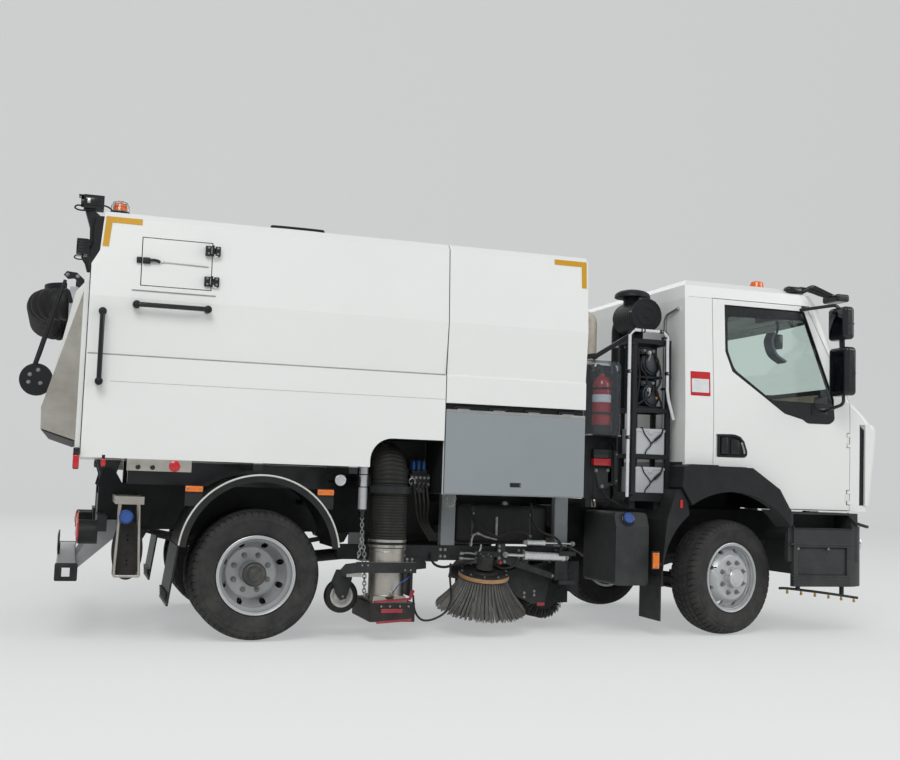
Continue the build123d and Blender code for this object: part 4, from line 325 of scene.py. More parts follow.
dress(wheel_silver, "rim_front_right", "rim_front_left", "rims_rear_right", "rims_rear_left")
dress(mill_aluminium, "underrun_bar")
dress(hose_black, "suction_hose", "wandering_hose", "nozzle_caster")
dress(tyre_black, "tyre_front_right", "tyre_front_left", "tyres_rear_right", "tyres_rear_left")
dress(gloss_black, "mirrors_right", "mirrors_left", "kerb_mirror", "grab_rails")
dress(pale_plastic, "stowage_boxes")
dress(chassis_black, "equipment_tower", "extinguisher_cabinet", "side_brush", "roller_brush",
      "cab_interior")


# Tyres: one moulding of black rubber each, blown up on the rim. Four grooves run round the tread
# and slanting sipes cross it, deepest at the shoulders; fine rings mark the sidewalls.
tyre_radius, tyre_pitch_count, tyre_slant = 0.4335, 56, 0.9
groove_places, groove_half, groove_depth = (-0.07, -0.024, 0.024, 0.07), 0.0045, 0.010
tyre_wall = [(0.103, 0.2484), (0.104, 0.2624), (0.1185, 0.274), (0.1215, 0.285), (0.1245, 0.287),
             (0.1255, 0.292), (0.1305, 0.318), (0.1325, 0.345), (0.1318, 0.360), (0.1328, 0.362),
             (0.1322, 0.368), (0.1302, 0.371), (0.1265, 0.387), (0.1272, 0.390), (0.1245, 0.398),
             (0.118, 0.408), (0.112, 0.4150)]
tyre_liner = [(0.084, 0.2484), (0.114, 0.345), (0.090, 0.394)]


def corners(node):
    """Lowest and highest corner of a CAD node as arrays."""
    low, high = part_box(node)
    return np.array(low), np.array(high)


def middle(node):
    """Middle of a CAD node's box."""
    return sum(corners(node)) / 2


def piece(name, body, material, parts, sharp=35, replaced=()):
    """A new piece in the given material that moves with a CAD body; the CAD nodes it replaces are hidden."""
    made = mesh_object(name, parts, material, sharp)
    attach(made, body)
    if replaced:
        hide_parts(*replaced)
    return made


def around(axis, steps, turn=0.0):
    """Unit vectors at equal steps round an axis, the first one nearest to straight up or forwards."""
    axis = np.asarray(axis, float) / np.linalg.norm(axis)
    up = np.array([0, 0, 1.0]) if abs(axis[2]) < 0.9 else np.array([1.0, 0, 0])
    side = np.cross(axis, up)
    side /= np.linalg.norm(side)
    angle = np.arange(steps)[:, None] * 2 * pi / steps + turn
    return np.cos(angle) * np.cross(side, axis) + np.sin(angle) * side


def tyre(centre, axis):
    """Point = centre + y axis + R(y, angle) spoke(angle), with R the half section's radius less the
    groove depth, and less the sipe depth in the first eighth of each pitch. Rows follow the section."""
    edges = [g + s * groove_half + e for g in groove_places for s in (-1, 1) for e in (-0.0008, 0.0008)]
    tread_y = np.array(sorted(edges + [-0.092, -0.047, 0, 0.047, 0.092]))
    tread_r = tyre_radius - 0.0185 * (tread_y / 0.112) ** 2
    from_groove = np.abs(tread_y[:, None] - np.array(groove_places)).min(axis=1)
    in_groove = from_groove < groove_half
    wall = np.array(tyre_wall)
    liner = np.array(tyre_liner)
    y = np.concatenate([-wall[:, 0], tread_y, wall[::-1, 0], liner[:, 0], -liner[::-1, 0]])
    r = np.concatenate([wall[:, 1], tread_r - groove_depth * in_groove, wall[::-1, 1], liner[:, 1],
                        liner[::-1, 1]])
    depth = np.where(np.abs(tread_y) > 0.07, 0.008, 0.004) * ~in_groove
    shoulder = np.where(wall[:, 1] > 0.397, 0.006, 0.0)
    sipe = np.concatenate([shoulder, depth, shoulder[::-1], np.zeros(2 * len(liner))])
    share = np.tile([0.0, 0.13, 0.17, 0.56, 0.96], tyre_pitch_count)
    pitch = np.repeat(np.arange(tyre_pitch_count), 5)
    angle = 2 * pi / tyre_pitch_count * (pitch + share
                                         + tyre_slant * np.minimum(np.abs(y), 0.11)[:, None] / 0.11)
    radius = r[:, None] - sipe[:, None] * (share < 0.15)
    axis = np.asarray(axis, float) / np.linalg.norm(axis)
    side = np.cross(axis, [0, 0, 1.0])
    spoke = np.cos(angle)[..., None] * np.array([0, 0, 1.0]) + np.sin(angle)[..., None] * side
    points = centre + y[:, None, None] * axis + radius[..., None] * spoke
    return points, [grid(*points.shape[:2], True, True)]


both_sides = (("right", -1), ("left", 1))
origin, up = (0, 0, 0), np.array([0, 0, 1.0])
to_right, to_front = (0, -1, 0), (1, 0, 0)
steer = radians(15)
steered_axle = np.array([-sin(steer), cos(steer), 0.0])
straight_axle = np.array([0, 1.0, 0])
twin = np.array([0, 0.1525, 0])
for side in ("right", "left"):
    node = "tyre_front_" + side
    piece("front_tread_tyre_" + side, "front_wheel_" + side, tyre_black,
          [tyre(middle(node), steered_axle)], replaced=(node,))
    node = "tyres_rear_" + side
    piece("rear_tread_tyres_" + side, "rear_wheels_" + side, tyre_black,
          [tyre(middle(node) - twin, straight_axle), tyre(middle(node) + twin, straight_axle)],
          replaced=(node,))


# Wheel fittings: chamfered steel nuts on their studs round each disc, the hub's domed cap with its
# rings, the rolled lock ring along the outer flange, and a valve stem.
nut_count = 8
nut_steel = finish("zinc_plated_nut_steel", "#a7a9a8", "#807d76", 0.35, patch=0.05, grain_mm=1, dust=0.35,
                   Metallic=0.8)
ring_silver = finish("rolled_ring_silver_enamel", "#cfd1d2", "#bfc1c1", 0.28, patch=0.1, grain_mm=1.5,
                     dust=0.2, Metallic=0.5)
cap_black = finish("pressed_hub_cap_black", "#1f2022", "#2e2d2b", 0.4, patch=0.1, grain_mm=2, dust=0.4)


def turned(profile, centre, axis, steps=32, ring=False, turn=0.0):
    """Surface of revolution: point = centre + along axis + radius spoke. A profile of (along, radius)
    pairs is closed by a flat face at each end, or on itself where ring is set."""
    profile = np.asarray(profile, float)
    axis = np.asarray(axis, float) / np.linalg.norm(axis)
    points = (np.asarray(centre, float) + profile[:, 0, None, None] * axis
              + profile[:, 1, None, None] * around(axis, steps, turn)[None])
    faces = [grid(len(profile), steps, ring, True)]
    if not ring:
        first = np.arange(steps)
        faces += [first[None], (first + (len(profile) - 1) * steps)[None]]
    return points, faces


def sleeve(start, end, inner, outer, centre, axis, steps):
    """A plain ring with a square section, from start to end along its axis."""
    return turned([(start, inner), (start, outer), (end, outer), (end, inner)], centre, axis, steps,
                  ring=True)


def repeated(part, places, turns=None):
    """Copies of a part made at the origin: copy = turn part + place, for each place."""
    points, faces = np.asarray(part[0], float).reshape(-1, 3), part[1]
    places = np.asarray(places, float).reshape(-1, 3)
    turns = np.broadcast_to(np.eye(3), (len(places), 3, 3)) if turns is None else np.asarray(turns, float)
    copies = np.einsum("nij,pj->npi", turns, points) + places[:, None, :]
    shift = (np.arange(len(places)) * len(points))[:, None, None]
    return copies, [(np.asarray(array)[None] + shift).reshape(-1, np.shape(array)[1]) for array in faces]


def nuts(centre, outward, ring_radius, size=0.0135, count=nut_count, stud=0.012):
    """A ring of nuts round an axis: hexagons with a turned chamfer, each with its washer and stud."""
    places = np.asarray(centre) + ring_radius * around(outward, count, pi / count)
    washer = turned([(0, size * 1.35), (0.003, size * 1.3)], origin, outward, 20)
    hexagon = turned([(0.003, size), (0.003 + size * 0.75, size), (0.003 + size * 0.95, size * 0.84)],
                     origin, outward, 6)
    thread = turned([(0.003 + size * 0.9, size * 0.5), (0.003 + size + stud, size * 0.5),
                     (0.004 + size + stud, size * 0.4)],
                    origin, outward, 12)
    return [repeated(part, places) for part in (washer, hexagon, thread)]


def bead_ring(centre, outward, along, radius, thick, steps=96):
    """A thin round wire lying on a wheel as a ring."""
    angle = np.linspace(0, 2 * pi, 9)[:-1]
    return turned(np.stack([along + thick * np.cos(angle), radius + thick * np.sin(angle)], -1), centre,
                  outward, steps, ring=True)


for side, sign in both_sides:
    outward = sign * steered_axle
    centre = middle("rim_front_" + side)
    hub = middle("tyre_front_" + side)
    body = "front_wheel_" + side
    face = hub + 0.118 * outward
    piece("front_wheel_nuts_" + side, body, nut_steel, nuts(face, outward, 0.118, 0.0150))
    cap = [(0, 0.072), (0.020, 0.071), (0.026, 0.066), (0.0262, 0.052), (0.029, 0.050), (0.031, 0.030),
           (0.0312, 0.004)]
    piece("front_hub_cap_" + side, body, ring_silver,
          [turned(np.array(cap) + (0.022, 0), face, outward, 64)])
    piece("front_lock_ring_" + side, body, ring_silver,
          [bead_ring(hub, outward, 0.1125, 0.2575, 0.0045), bead_ring(hub, outward, 0.104, 0.2455, 0.003),
           bead_ring(hub, outward, 0.0905, 0.2385, 0.0022)])
    stem = hub + 0.1 * outward + 0.205 * around(outward, 16)[3]
    piece("front_valve_" + side, body, gloss_black,
          [turned([(-0.05, 0.004), (0.022, 0.004), (0.024, 0.006), (0.036, 0.006), (0.038, 0.0045)], stem,
                  outward, 12)])
    outward = sign * straight_axle
    hub = middle("tyres_rear_" + side) + sign * twin
    body = "rear_wheels_" + side
    face = hub - 0.1405 * outward
    piece("rear_wheel_nuts_" + side, body, nut_steel,
          nuts(face, outward, 0.124, 0.0155, stud=0.02))
    cap = [(0.026, 0.0815), (0.031, 0.0815), (0.0395, 0.0775), (0.0492, 0.0640), (0.0500, 0.0600),
           (0.0505, 0.055), (0.055, 0.053), (0.0555, 0.047), (0.062, 0.043), (0.066, 0.030), (0.069, 0.012),
           (0.0695, 0.002)]
    piece("rear_hub_cap_" + side, body, cap_black,
          [turned(cap, hub, outward, 64), bead_ring(hub, outward, 0.0455, 0.0705, 0.0022)])
    piece("rear_lock_ring_" + side, body, ring_silver,
          [bead_ring(hub, outward, 0.1125, 0.2575, 0.0045), bead_ring(hub, outward, 0.104, 0.2455, 0.003),
           bead_ring(hub, outward, -0.1345, 0.171, 0.003)])


# Rear mudguards: bent sheets with a white rubber piping along the outer edge, orange side markers
# on stays above them, and a ribbed lower edge on each flap.
guard_centre = np.array([-1.685, 0, 0.5635])
guard_radius, guard_edge_y = 0.530, 1.2225
orange_lens = finish("moulded_amber_acrylic", "#e8791a", "#dd6c12", 0.18, patch=0.06, grain_mm=5,
                     relief_mm=0.1, **{"Coat Weight": 0.5, "Coat Roughness": 0.05})
red_lens = finish("moulded_red_acrylic", "#c8141e", "#b01119", 0.18, patch=0.06, grain_mm=5, relief_mm=0.1,
                  **{"Coat Weight": 0.5, "Coat Roughness": 0.05})
piping_white = finish("extruded_white_piping", "#dcdcd8", "#c5c3bc", 0.45, patch=0.15, grain_mm=2,
                      dust=0.25)


def carried(section, path, size=1.0, ring=False):
    """A closed flat section carried along a path: point = path + size (u side + v up). The side is
    square to the path and to the axis that the path follows least."""
    section, path = np.asarray(section, float), np.asarray(path, float)
    along = np.roll(path, -1, 0) - np.roll(path, 1, 0) if ring else np.gradient(path, axis=0)
    along /= np.linalg.norm(along, axis=1, keepdims=True)
    axis = np.eye(3)[np.abs(along).max(axis=0).argmin()]
    side = np.cross(axis, along)
    side /= np.linalg.norm(side, axis=1, keepdims=True)
    up = np.cross(along, side)
    size = np.broadcast_to(size, len(path))[:, None, None]
    points = path[:, None] + size * (section[None, :, :1] * side[:, None]
                                     + section[None, :, 1:] * up[:, None])
    faces = [grid(len(path), len(section), ring, True)]
    if not ring:
        first = np.arange(len(section))
        faces += [first[None], (first + (len(path) - 1) * len(section))[None]]
    return points, faces


def tube(path, radius, steps=12):
    """A round tube along a path, its radius one value or one for each point."""
    angle = np.arange(steps) * 2 * pi / steps
    return carried(np.stack([np.cos(angle), np.sin(angle)], -1), path, radius)


def smooth(points, steps=8):
    """A curve through the points: on each run the cubic that is parallel to its neighbours' chords."""
    p = np.asarray(points, float)
    p = np.concatenate([[2 * p[0] - p[1]], p, [2 * p[-1] - p[-2]]])
    t = np.linspace(0, 1, steps, endpoint=False)[None, :, None]
    a, b, c, d = (p[i:len(p) - 3 + i][:, None] for i in range(4))
    run = (2 * b + (c - a) * t + (2 * a - 5 * b + 4 * c - d) * t ** 2
           + (3 * b - a - 3 * c + d) * t ** 3) / 2
    return np.concatenate([run.reshape(-1, 3), p[-2:-1]])


def block(low, high, edge=0.004, along=2):
    """A box with rounded edges, as rounded outlines stacked along one axis. An outline's corner arcs
    keep their centres, and their radius grows from nothing to the edge's by a quarter circle."""
    low, high = np.minimum(low, high), np.maximum(low, high)
    order = [(along + 1) % 3, (along + 2) % 3, along]
    size = (high - low)[order]
    edge = min(edge, size.min() * 0.49)
    rise = np.linspace(0.03, pi / 2, 4)
    radius = edge * np.concatenate([np.sin(rise), np.sin(rise[::-1])])
    level = np.concatenate([edge * (1 - np.cos(rise)), size[2] - edge * (1 - np.cos(rise[::-1]))])
    angle = (np.arange(4)[:, None] * pi / 2 + np.linspace(0, pi / 2, 5)).ravel()
    sign = np.repeat([[1, 1], [-1, 1], [-1, -1], [1, -1]], 5, axis=0)
    spokes = np.stack([np.cos(angle), np.sin(angle)], -1)
    flat = sign * (size[:2] / 2 - edge) + radius[:, None, None] * spokes
    points = np.empty((8, 20, 3))
    points[..., order[0]] = flat[..., 0] + (low + high)[order[0]] / 2
    points[..., order[1]] = flat[..., 1] + (low + high)[order[1]] / 2
    points[..., along] = level[:, None] + low[along]
    first = np.arange(20)
    return points, [grid(8, 20, False, True), first[None], (first + 140)[None]]


def plate(outline, axis, start, end):
    """A flat outline in the two other axes, in their order, with straight sides along one axis."""
    outline = np.asarray(outline, float)
    points = np.empty((2, len(outline), 3))
    points[..., [a for a in range(3) if a != axis]] = outline
    points[0, :, axis], points[1, :, axis] = start, end
    first = np.arange(len(outline))
    return points, [grid(2, len(outline), False, True), first[None], (first + len(outline))[None]]


def bolt_heads(places, outward, size=0.009):
    """Hexagon heads on washers at the places, all facing one way."""
    washer = turned([(-0.001, size * 1.3), (0.0018, size * 1.25)], origin, outward, 16)
    head = turned([(0.0018, size), (0.0018 + size * 0.5, size), (0.0018 + size * 0.68, size * 0.8)],
                  origin, outward, 6)
    return [repeated(washer, places), repeated(head, places)]


def bolted(name, body, places, outward, size):
    """A piece of bright bolt heads."""
    return piece(name, body, nut_steel, bolt_heads(places, outward, size))


def wires(paths, radius, sides=10, steps=8):
    """Round tubes along curves through the points of each path."""
    return [tube(smooth(path, steps), radius, sides) for path in paths]


def flat_bar(half_width, half_height):
    """The section of a flat bar about its path."""
    return np.array([[-half_width, -half_height], [half_width, -half_height],
                     [half_width, half_height], [-half_width, half_height]])


marker_starts, marker_length, marker_y = (-2.187, -1.322), 0.112, 1.2225
arc = np.radians(np.linspace(7, 173, 72))
for side, sign in both_sides:
    edge = guard_centre + np.stack([guard_radius * np.cos(arc), np.full(72, sign * guard_edge_y),
                                    guard_radius * np.sin(arc)], -1)
    piece("guard_piping_" + side, "chassis", piping_white, [tube(edge, 0.006, 8)])
    y = sign * np.array([marker_y, 1.236])
    lenses = [block((x, y[0], 0.972), (x + marker_length, y[1], 1.010), 0.007) for x in marker_starts]
    piece("side_markers_" + side, "chassis", orange_lens, lenses)
    stays = [block((x, sign * 1.205, 0.880), (x + marker_length, sign * marker_y, 1.014), 0.003)
             for x in marker_starts]
    piece("side_marker_stays_" + side, "chassis", chassis_black, stays)
    screws = [(x + dx, y[1], 0.991) for x in marker_starts for dx in (0.018, 0.094)]
    bolted("side_marker_screws_" + side, "chassis", screws, (0, sign, 0), 0.0045)
    ribs = [block((-2.272 - 0.0008 * k, sign * 0.64, 0.262 + 0.011 * k),
                  (-2.251 - 0.0008 * k, sign * 1.205, 0.267 + 0.011 * k), 0.002) for k in range(6)]
    piece("flap_ribs_" + side, "chassis", moulded_black, ribs)


# Hopper's lower edge at the back: a polished strip with two black bolts and a red round reflector
# on each side, and small red and black marker lamps at the corner.
strip_y = 1.2315
for side, sign in both_sides:
    piece("edge_strip_" + side, "hopper", stainless,
          [block((-2.56, sign * 1.226, 1.096), (-2.155, sign * strip_y, 1.174), 0.002)])
    rings = [turned([(0, 0.016), (0.004, 0.016), (0.006, 0.012), (0.006, 0.004)],
                    (x, sign * strip_y, 1.120), (0, sign, 0), 24) for x in (-2.49, -2.40)]
    piece("edge_strip_bolts_" + side, "hopper", gloss_black, rings)
    reflector = turned([(0, 0.036), (0.006, 0.036), (0.009, 0.032), (0.010, 0.004)],
                       (-2.262, sign * strip_y, 1.132), (0, sign, 0), 40)
    piece("edge_reflector_" + side, "hopper", red_lens, [reflector])
    piece("corner_markers_" + side, "hopper", red_lens,
          [block((-2.718, sign * 1.2325, 1.118), (-2.690, sign * 1.250, 1.165), 0.006),
           block((-2.888, sign * 1.2325, 1.098), (-2.850, sign * 1.262, 1.184), 0.007)])
    piece("corner_marker_cases_" + side, "hopper", gloss_black,
          [block((-2.888, sign * 1.2325, 1.190), (-2.850, sign * 1.262, 1.230), 0.007),
           block((-2.884, sign * 1.225, 1.094), (-2.852, sign * 1.2335, 1.19), 0.002),
           block((-2.714, sign * 1.225, 1.11), (-2.694, sign * 1.2335, 1.19), 0.002)])


# Underrun bar and rear lamps: extruded aluminium with black end caps, red and white tape along its
# back, round lamps with red, orange and clear lenses in black cups, and a blank number plate.
tape_white = finish("reflective_white_tape", "#dcdfdf", "#cfd2d2", 0.3, patch=0.05, grain_mm=1.5,
                    relief_mm=0.05)
lens_clear = finish("moulded_clear_acrylic", "#c8cfd2", "#b6bec2", 0.1, patch=0.05, grain_mm=6,
                    relief_mm=0.3, **{"Coat Weight": 0.8, "Coat Roughness": 0.03})
caps = [block((-2.958, s * 1.136, 0.391), (-2.820, s * 1.158, 0.504), 0.010) for s in (-1, 1)]
piece("underrun_end_caps", "chassis", moulded_black, caps)
tape_y = np.linspace(-1.09, 0.93, 9)
piece("underrun_red_tape", "chassis", red_lens,
      [block((-2.9555, y, 0.418), (-2.952, y + 0.14, 0.476), 0.001) for y in tape_y])
piece("underrun_white_tape", "chassis", tape_white,
      [block((-2.9555, y + 0.14, 0.418), (-2.952, y + 0.24, 0.476), 0.001) for y in tape_y[:-1]]
      + [block((-2.915, s * 1.155, 0.42), (-2.866, s * 1.1595, 0.475), 0.001) for s in (-1, 1)])
to_back = np.array([-1.0, 0, 0])
cup_x, lamp_z, outer_lamp_y = -2.826, 0.692, 0.960
for side, sign in both_sides:
    for name, y, radius, material, depth in (("outer", outer_lamp_y, 0.068, red_lens, 0.0),
                                             ("inner", 0.790, 0.061, orange_lens, 0.012)):
        face = np.array([cup_x + depth, sign * y, lamp_z])
        lens = [(-0.006, radius), (0.006, radius), (0.013, radius * 0.93), (0.016, radius * 0.7),
                (0.018, radius * 0.35), (0.0185, 0.002)]
        piece(f"rear_lamp_{name}_{side}", "chassis", material,
              [turned(lens, face, to_back, 48), bead_ring(face, to_back, 0.004, radius + 0.006, 0.004, 64)])
    piece("rear_lamp_centre_" + side, "chassis", lens_clear,
          [turned([(0.014, 0.026), (0.0205, 0.024), (0.0225, 0.012), (0.023, 0.002)],
                  (cup_x, sign * outer_lamp_y, lamp_z), to_back, 32)])
piece("plate_place", "chassis", tape_white,
      [block((-2.9585, -0.26, 0.520), (-2.9535, 0.26, 0.632), 0.003)])
piece("plate_carrier", "chassis", moulded_black,
      [block((-2.9535, -0.28, 0.490), (-2.944, 0.28, 0.640), 0.003),
       block((-2.948, -0.2, 0.45), (-2.938, -0.17, 0.55), 0.002),
       block((-2.948, 0.17, 0.45), (-2.938, 0.2, 0.55), 0.002)])


# Stowage rack: stainless rods with a rolled black hydrant hose hanging in them, its coupling under
# a blue cap.
blue_cap = finish("moulded_blue_polyethylene", "#23509a", "#1d4585", 0.4, patch=0.05, grain_mm=2, dust=0.15)
coupling = (-2.543, -1.164, 0.800)
reel_x, reel_y, reel_z, reel_steps = -2.5225, -1.088, 0.585, 48
reel = []
for radius in (0.045, 0.063, 0.081, 0.099):
    turn_angle = np.linspace(0, 2 * pi, reel_steps + 1)[:-1]
    loop = np.stack([reel_x + 0.62 * radius * np.cos(turn_angle), np.full(reel_steps, reel_y),
                     reel_z + 1.55 * radius * np.sin(turn_angle)], -1)
    flat = np.array([[0.008, 0.036], [-0.008, 0.036], [-0.010, 0], [-0.008, -0.036], [0.008, -0.036],
                     [0.010, 0]])
    reel.append(carried(flat[:, ::-1], loop, ring=True))
piece("rolled_hydrant_hose", "chassis", hose_black, reel)
piece("hydrant_cap", "chassis", blue_cap,
      [turned([(0, 0.038), (0.03, 0.038), (0.034, 0.034), (0.036, 0.01)], coupling, to_right, 32),
       bead_ring(coupling, to_right, 0.012, 0.041, 0.004, 48)])
piece("hydrant_coupling", "chassis", stainless,
      [turned([(-0.09, 0.022), (-0.03, 0.022), (-0.028, 0.034), (0, 0.034), (0.002, 0.03)], coupling,
              to_right, 32)])


# Suction hose: black rubber with a rib every 20 mm over its steel spiral, clamped to the nozzle's
# pipe below and to the hopper's inlet above.
hose_x, hose_y = -0.790, -1.085
hose_rib = 0.020
clamp_steel = finish("bright_clamp_band_steel", "#bcbbb6", "#a5a39c", 0.3, patch=0.06, grain_mm=1,
                     dust=0.15, Metallic=0.85)


def ribbed(path, radius, rib, depth, sides=40):
    """A tube whose radius rises and falls once a rib: radius - depth (1 - |sin(pi length / rib)|)."""
    path = np.asarray(path, float)
    length = np.concatenate([[0], np.cumsum(np.linalg.norm(np.diff(path, axis=0), axis=1))])
    steps = int(length[-1] / rib) * 6 + 1
    even = np.linspace(0, length[-1], steps)
    fine = np.stack([np.interp(even, length, path[:, k]) for k in range(3)], -1)
    return tube(fine, radius - depth * (1 - np.abs(np.sin(pi * even / rib))) ** 1.5, sides)


bend = np.linspace(0, pi / 2, 24)
hose_path = np.concatenate([[(hose_x, hose_y, 0.622)],
                            np.stack([np.full(24, hose_x), -0.935 - 0.15 * np.cos(bend), 1.075
                                      + 0.15 * np.sin(bend)], -1),
                            [(hose_x, -0.797, 1.225)]])
piece("ribbed_suction_hose", "chassis", hose_black,
      [ribbed(hose_path, 0.1296, hose_rib, 0.006)], replaced=("suction_hose",))
band = (0, 0.018, 0.1305, 0.1325)
screw = turned([(0, 0.005), (0.035, 0.005), (0.035, 0.007), (0.042, 0.007)],
               (hose_x - 0.02, hose_y - 0.138, 0.637), (1, 0, 0), 10)
piece("hose_clamp_bands", "chassis", clamp_steel,
      [sleeve(*band, (hose_x, hose_y, 0.628), up, 64), sleeve(*band, (hose_x, hose_y, 0.664), up, 64),
       sleeve(*band, (hose_x, -0.835, 1.225), (0, 1, 0), 64), screw])


# Notch of the hopper: its inner wall is lined with black rubber sheet, and a black panel closes the
# housing's back. In front of it stands the valve bank of the gear with its dark blue coils.
coil_blue = finish("moulded_dark_blue_coil", "#1f4f86", "#183f6e", 0.35, patch=0.05, grain_mm=2)
piece("notch_liner", "hopper", moulded_black,
      [plate([(-0.968, 1.174), (-0.968, 1.26), (-0.925, 1.330), (-0.83, 1.370), (-0.449, 1.370),
              (-0.449, 1.174)],
             1, -0.7935, -0.7908),
       plate([(-1.228, 1.369), (-0.792, 1.369), (-0.792, 1.3712), (-1.228, 1.3712)], 0, -0.80, -0.450)])
piece("housing_back_panel", "chassis", moulded_black,
      [block((-0.4465, -1.188, 1.004), (-0.4405, -0.80, 1.585), 0.001, 0)])
valve_y = -0.94
piece("valve_bank_body", "chassis", chassis_black,
      [block((-0.620, valve_y - 0.07, 1.040), (-0.470, valve_y + 0.07, 1.135), 0.008),
       block((-0.600, valve_y - 0.05, 1.128), (-0.490, valve_y + 0.05, 1.160), 0.004),
       block((-0.60, valve_y, 1.004), (-0.56, -0.43, 1.044), 0.004)])
coil_places = [(-0.585 + 0.038 * k, valve_y + dy, 1.158) for k in range(3) for dy in (-0.03, 0.03)]
coil = turned([(0, 0.010), (0.010, 0.010), (0.012, 0.0155), (0.062, 0.0155), (0.064, 0.009), (0.074, 0.009),
               (0.076, 0.006)],
              origin, up, 16)
piece("valve_coils", "chassis", coil_blue, [repeated(coil, coil_places)])
piece("valve_fittings", "chassis", nut_steel,
      bolt_heads([(-0.605 + 0.03 * k, valve_y - 0.0705, z) for k in range(5) for z in (1.065, 1.11)],
                 to_right, 0.008)
      + [bead_ring((-0.606, -1.02, 1.083), to_right, 0, 0.022, 0.005)])
piece("valve_pipes", "chassis", hose_black,
      [tube(smooth([(-0.60 + 0.03 * k, valve_y - 0.075, 1.065), (-0.60 + 0.03 * k, valve_y - 0.115, 1.05),
                    (-0.58 + 0.03 * k, valve_y - 0.10, 0.93), (-0.50 + 0.02 * k, -0.87, 0.80),
                    (-0.40 + 0.02 * k, -0.82, 0.66)], 8),
            0.0085, 10) for k in range(4)])


# Suction nozzle: brushed stainless pipe with a weld bead at its foot and an inspection boss, wear
# lips in crimson polyurethane, black carrier plates, and a blue sensor cable.
crimson_lip = finish("cast_crimson_polyurethane", "#a51c33", "#8d1a2d", 0.42, patch=0.07, grain_mm=2,
                     relief_mm=0.15, dust=0.2)
blue_sheath = finish("blue_cable_sheath", "#2c4fa0", "#27468f", 0.35, patch=0.05, grain_mm=1)
piece("nozzle_weld_beads", "nozzle", stainless,
      [bead_ring((hose_x, hose_y, 0), up, 0.304, 0.1225, 0.0035),
       bead_ring((hose_x, hose_y, 0), up, 0.470, 0.1222, 0.0022),
       bead_ring((hose_x, hose_y, 0), up, 0.600, 0.1222, 0.002)])
piece("nozzle_boss", "nozzle", nut_steel,
      [turned([(-0.01, 0.021), (0.004, 0.021), (0.006, 0.018), (0.0065, 0.011), (0.016, 0.010),
               (0.018, 0.006)],
              (-0.778, -1.2065, 0.322), to_right, 28)])
front_shelf = carried(np.array([[0, 0], [0.026, 0.004], [0.026, 0.013], [0, 0.009]]),
                      [(-0.905, -1.240, 0.262), (-0.655, -1.240, 0.282), (-0.616, -1.190, 0.332),
                       (-0.614, -1.06, 0.335)])
front_shelf = (front_shelf[0] - (0, 0.012, 0), front_shelf[1])
low_bar = carried(np.array([[0, 0], [0.016, 0], [0.016, 0.030], [0, 0.030]]),
                  [(-0.885, -1.2535, 0.140), (-0.645, -1.2535, 0.158)])
mid_bar = block((-0.862, -1.259, 0.196), (-0.712, -1.2525, 0.224), 0.004)
piece("nozzle_skirt", "nozzle", hose_black,
      [block((-0.937, -1.2535, 0.137), (-0.6235, -1.2498, 0.2615), 0.0015, 1),
       block((-0.9385, -1.249, 0.137), (-0.9345, -0.742, 0.2615), 0.0015, 0),
       block((-0.6262, -1.249, 0.137), (-0.6222, -0.742, 0.2615), 0.0015, 0)])
piece("nozzle_wear_lips", "nozzle", crimson_lip, [front_shelf, low_bar, mid_bar])
piece("nozzle_lip_bolts", "nozzle", nut_steel,
      bolt_heads([(x, -1.2555, 0.240) for x in (-0.86, -0.80, -0.73, -0.67)], to_right, 0.006)
      + bolt_heads([(-1.00, -1.2412, 0.512), (-0.96, -1.2412, 0.512), (-0.70, -1.2412, 0.482),
                    (-0.66, -1.2412, 0.482)],
                   to_right, 0.007))
cable = smooth([(-0.778, -1.222, 0.324), (-0.765, -1.246, 0.352), (-0.736, -1.249, 0.391),
                (-0.69, -1.235, 0.418), (-0.648, -1.19, 0.440), (-0.630, -1.11, 0.470),
                (-0.632, -1.02, 0.52)], 8)
piece("nozzle_sensor_cable", "nozzle", blue_sheath, [tube(cable, 0.0038, 8)])
piece("nozzle_carrier_plates", "nozzle", chassis_black,
      [plate([(-1.155, 0.475), (-1.115, 0.520), (-1.02, 0.533), (-0.62, 0.533), (-0.62, 0.462),
              (-1.02, 0.462), (-1.125, 0.452)],
             1, -1.2455, -1.2385),
       block((-0.65, -1.2, 0.30), (-0.63, -1.02, 0.50), 0.004)])


# Caster: a rubber tyre on a pale rim with a silver axle cap, between black fork blades.
rim_pale = finish("moulded_pale_nylon_rim", "#c9cac8", "#b4b4b0", 0.4, patch=0.05, grain_mm=1.5, dust=0.3)
caster = middle("nozzle_caster")
tread_angle = np.linspace(-pi / 2, pi / 2, 13)
caster_tyre = np.concatenate([[(-0.026, 0.078)],
                              np.stack([0.031 * np.sin(tread_angle), 0.1 + 0.018 * np.cos(tread_angle)],
                                       -1),
                              [(0.026, 0.078)]])
piece("caster_tyre", "caster", hose_black,
      [turned(caster_tyre, caster, (0, 1, 0), 64, ring=True)], replaced=("nozzle_caster",))
caster_rim = [(-0.027, 0.0105), (-0.027, 0.026), (-0.018, 0.032), (-0.012, 0.048), (-0.022, 0.060),
              (-0.027, 0.066), (-0.028, 0.0785), (0.028, 0.0785), (0.027, 0.066), (0.022, 0.060),
              (0.012, 0.048), (0.018, 0.032), (0.027, 0.026), (0.027, 0.0105)]
piece("caster_rim", "caster", rim_pale,
      [turned(caster_rim, caster, (0, 1, 0), 56, ring=True)])
piece("caster_axle_cap", "nozzle", nut_steel,
      [turned([(-0.01, 0.019), (0.006, 0.019), (0.011, 0.015), (0.013, 0.004)], caster + (0, -0.053, 0),
              to_right, 24)]
      + bolt_heads([caster + (0, -0.064, 0)], to_right, 0.008))
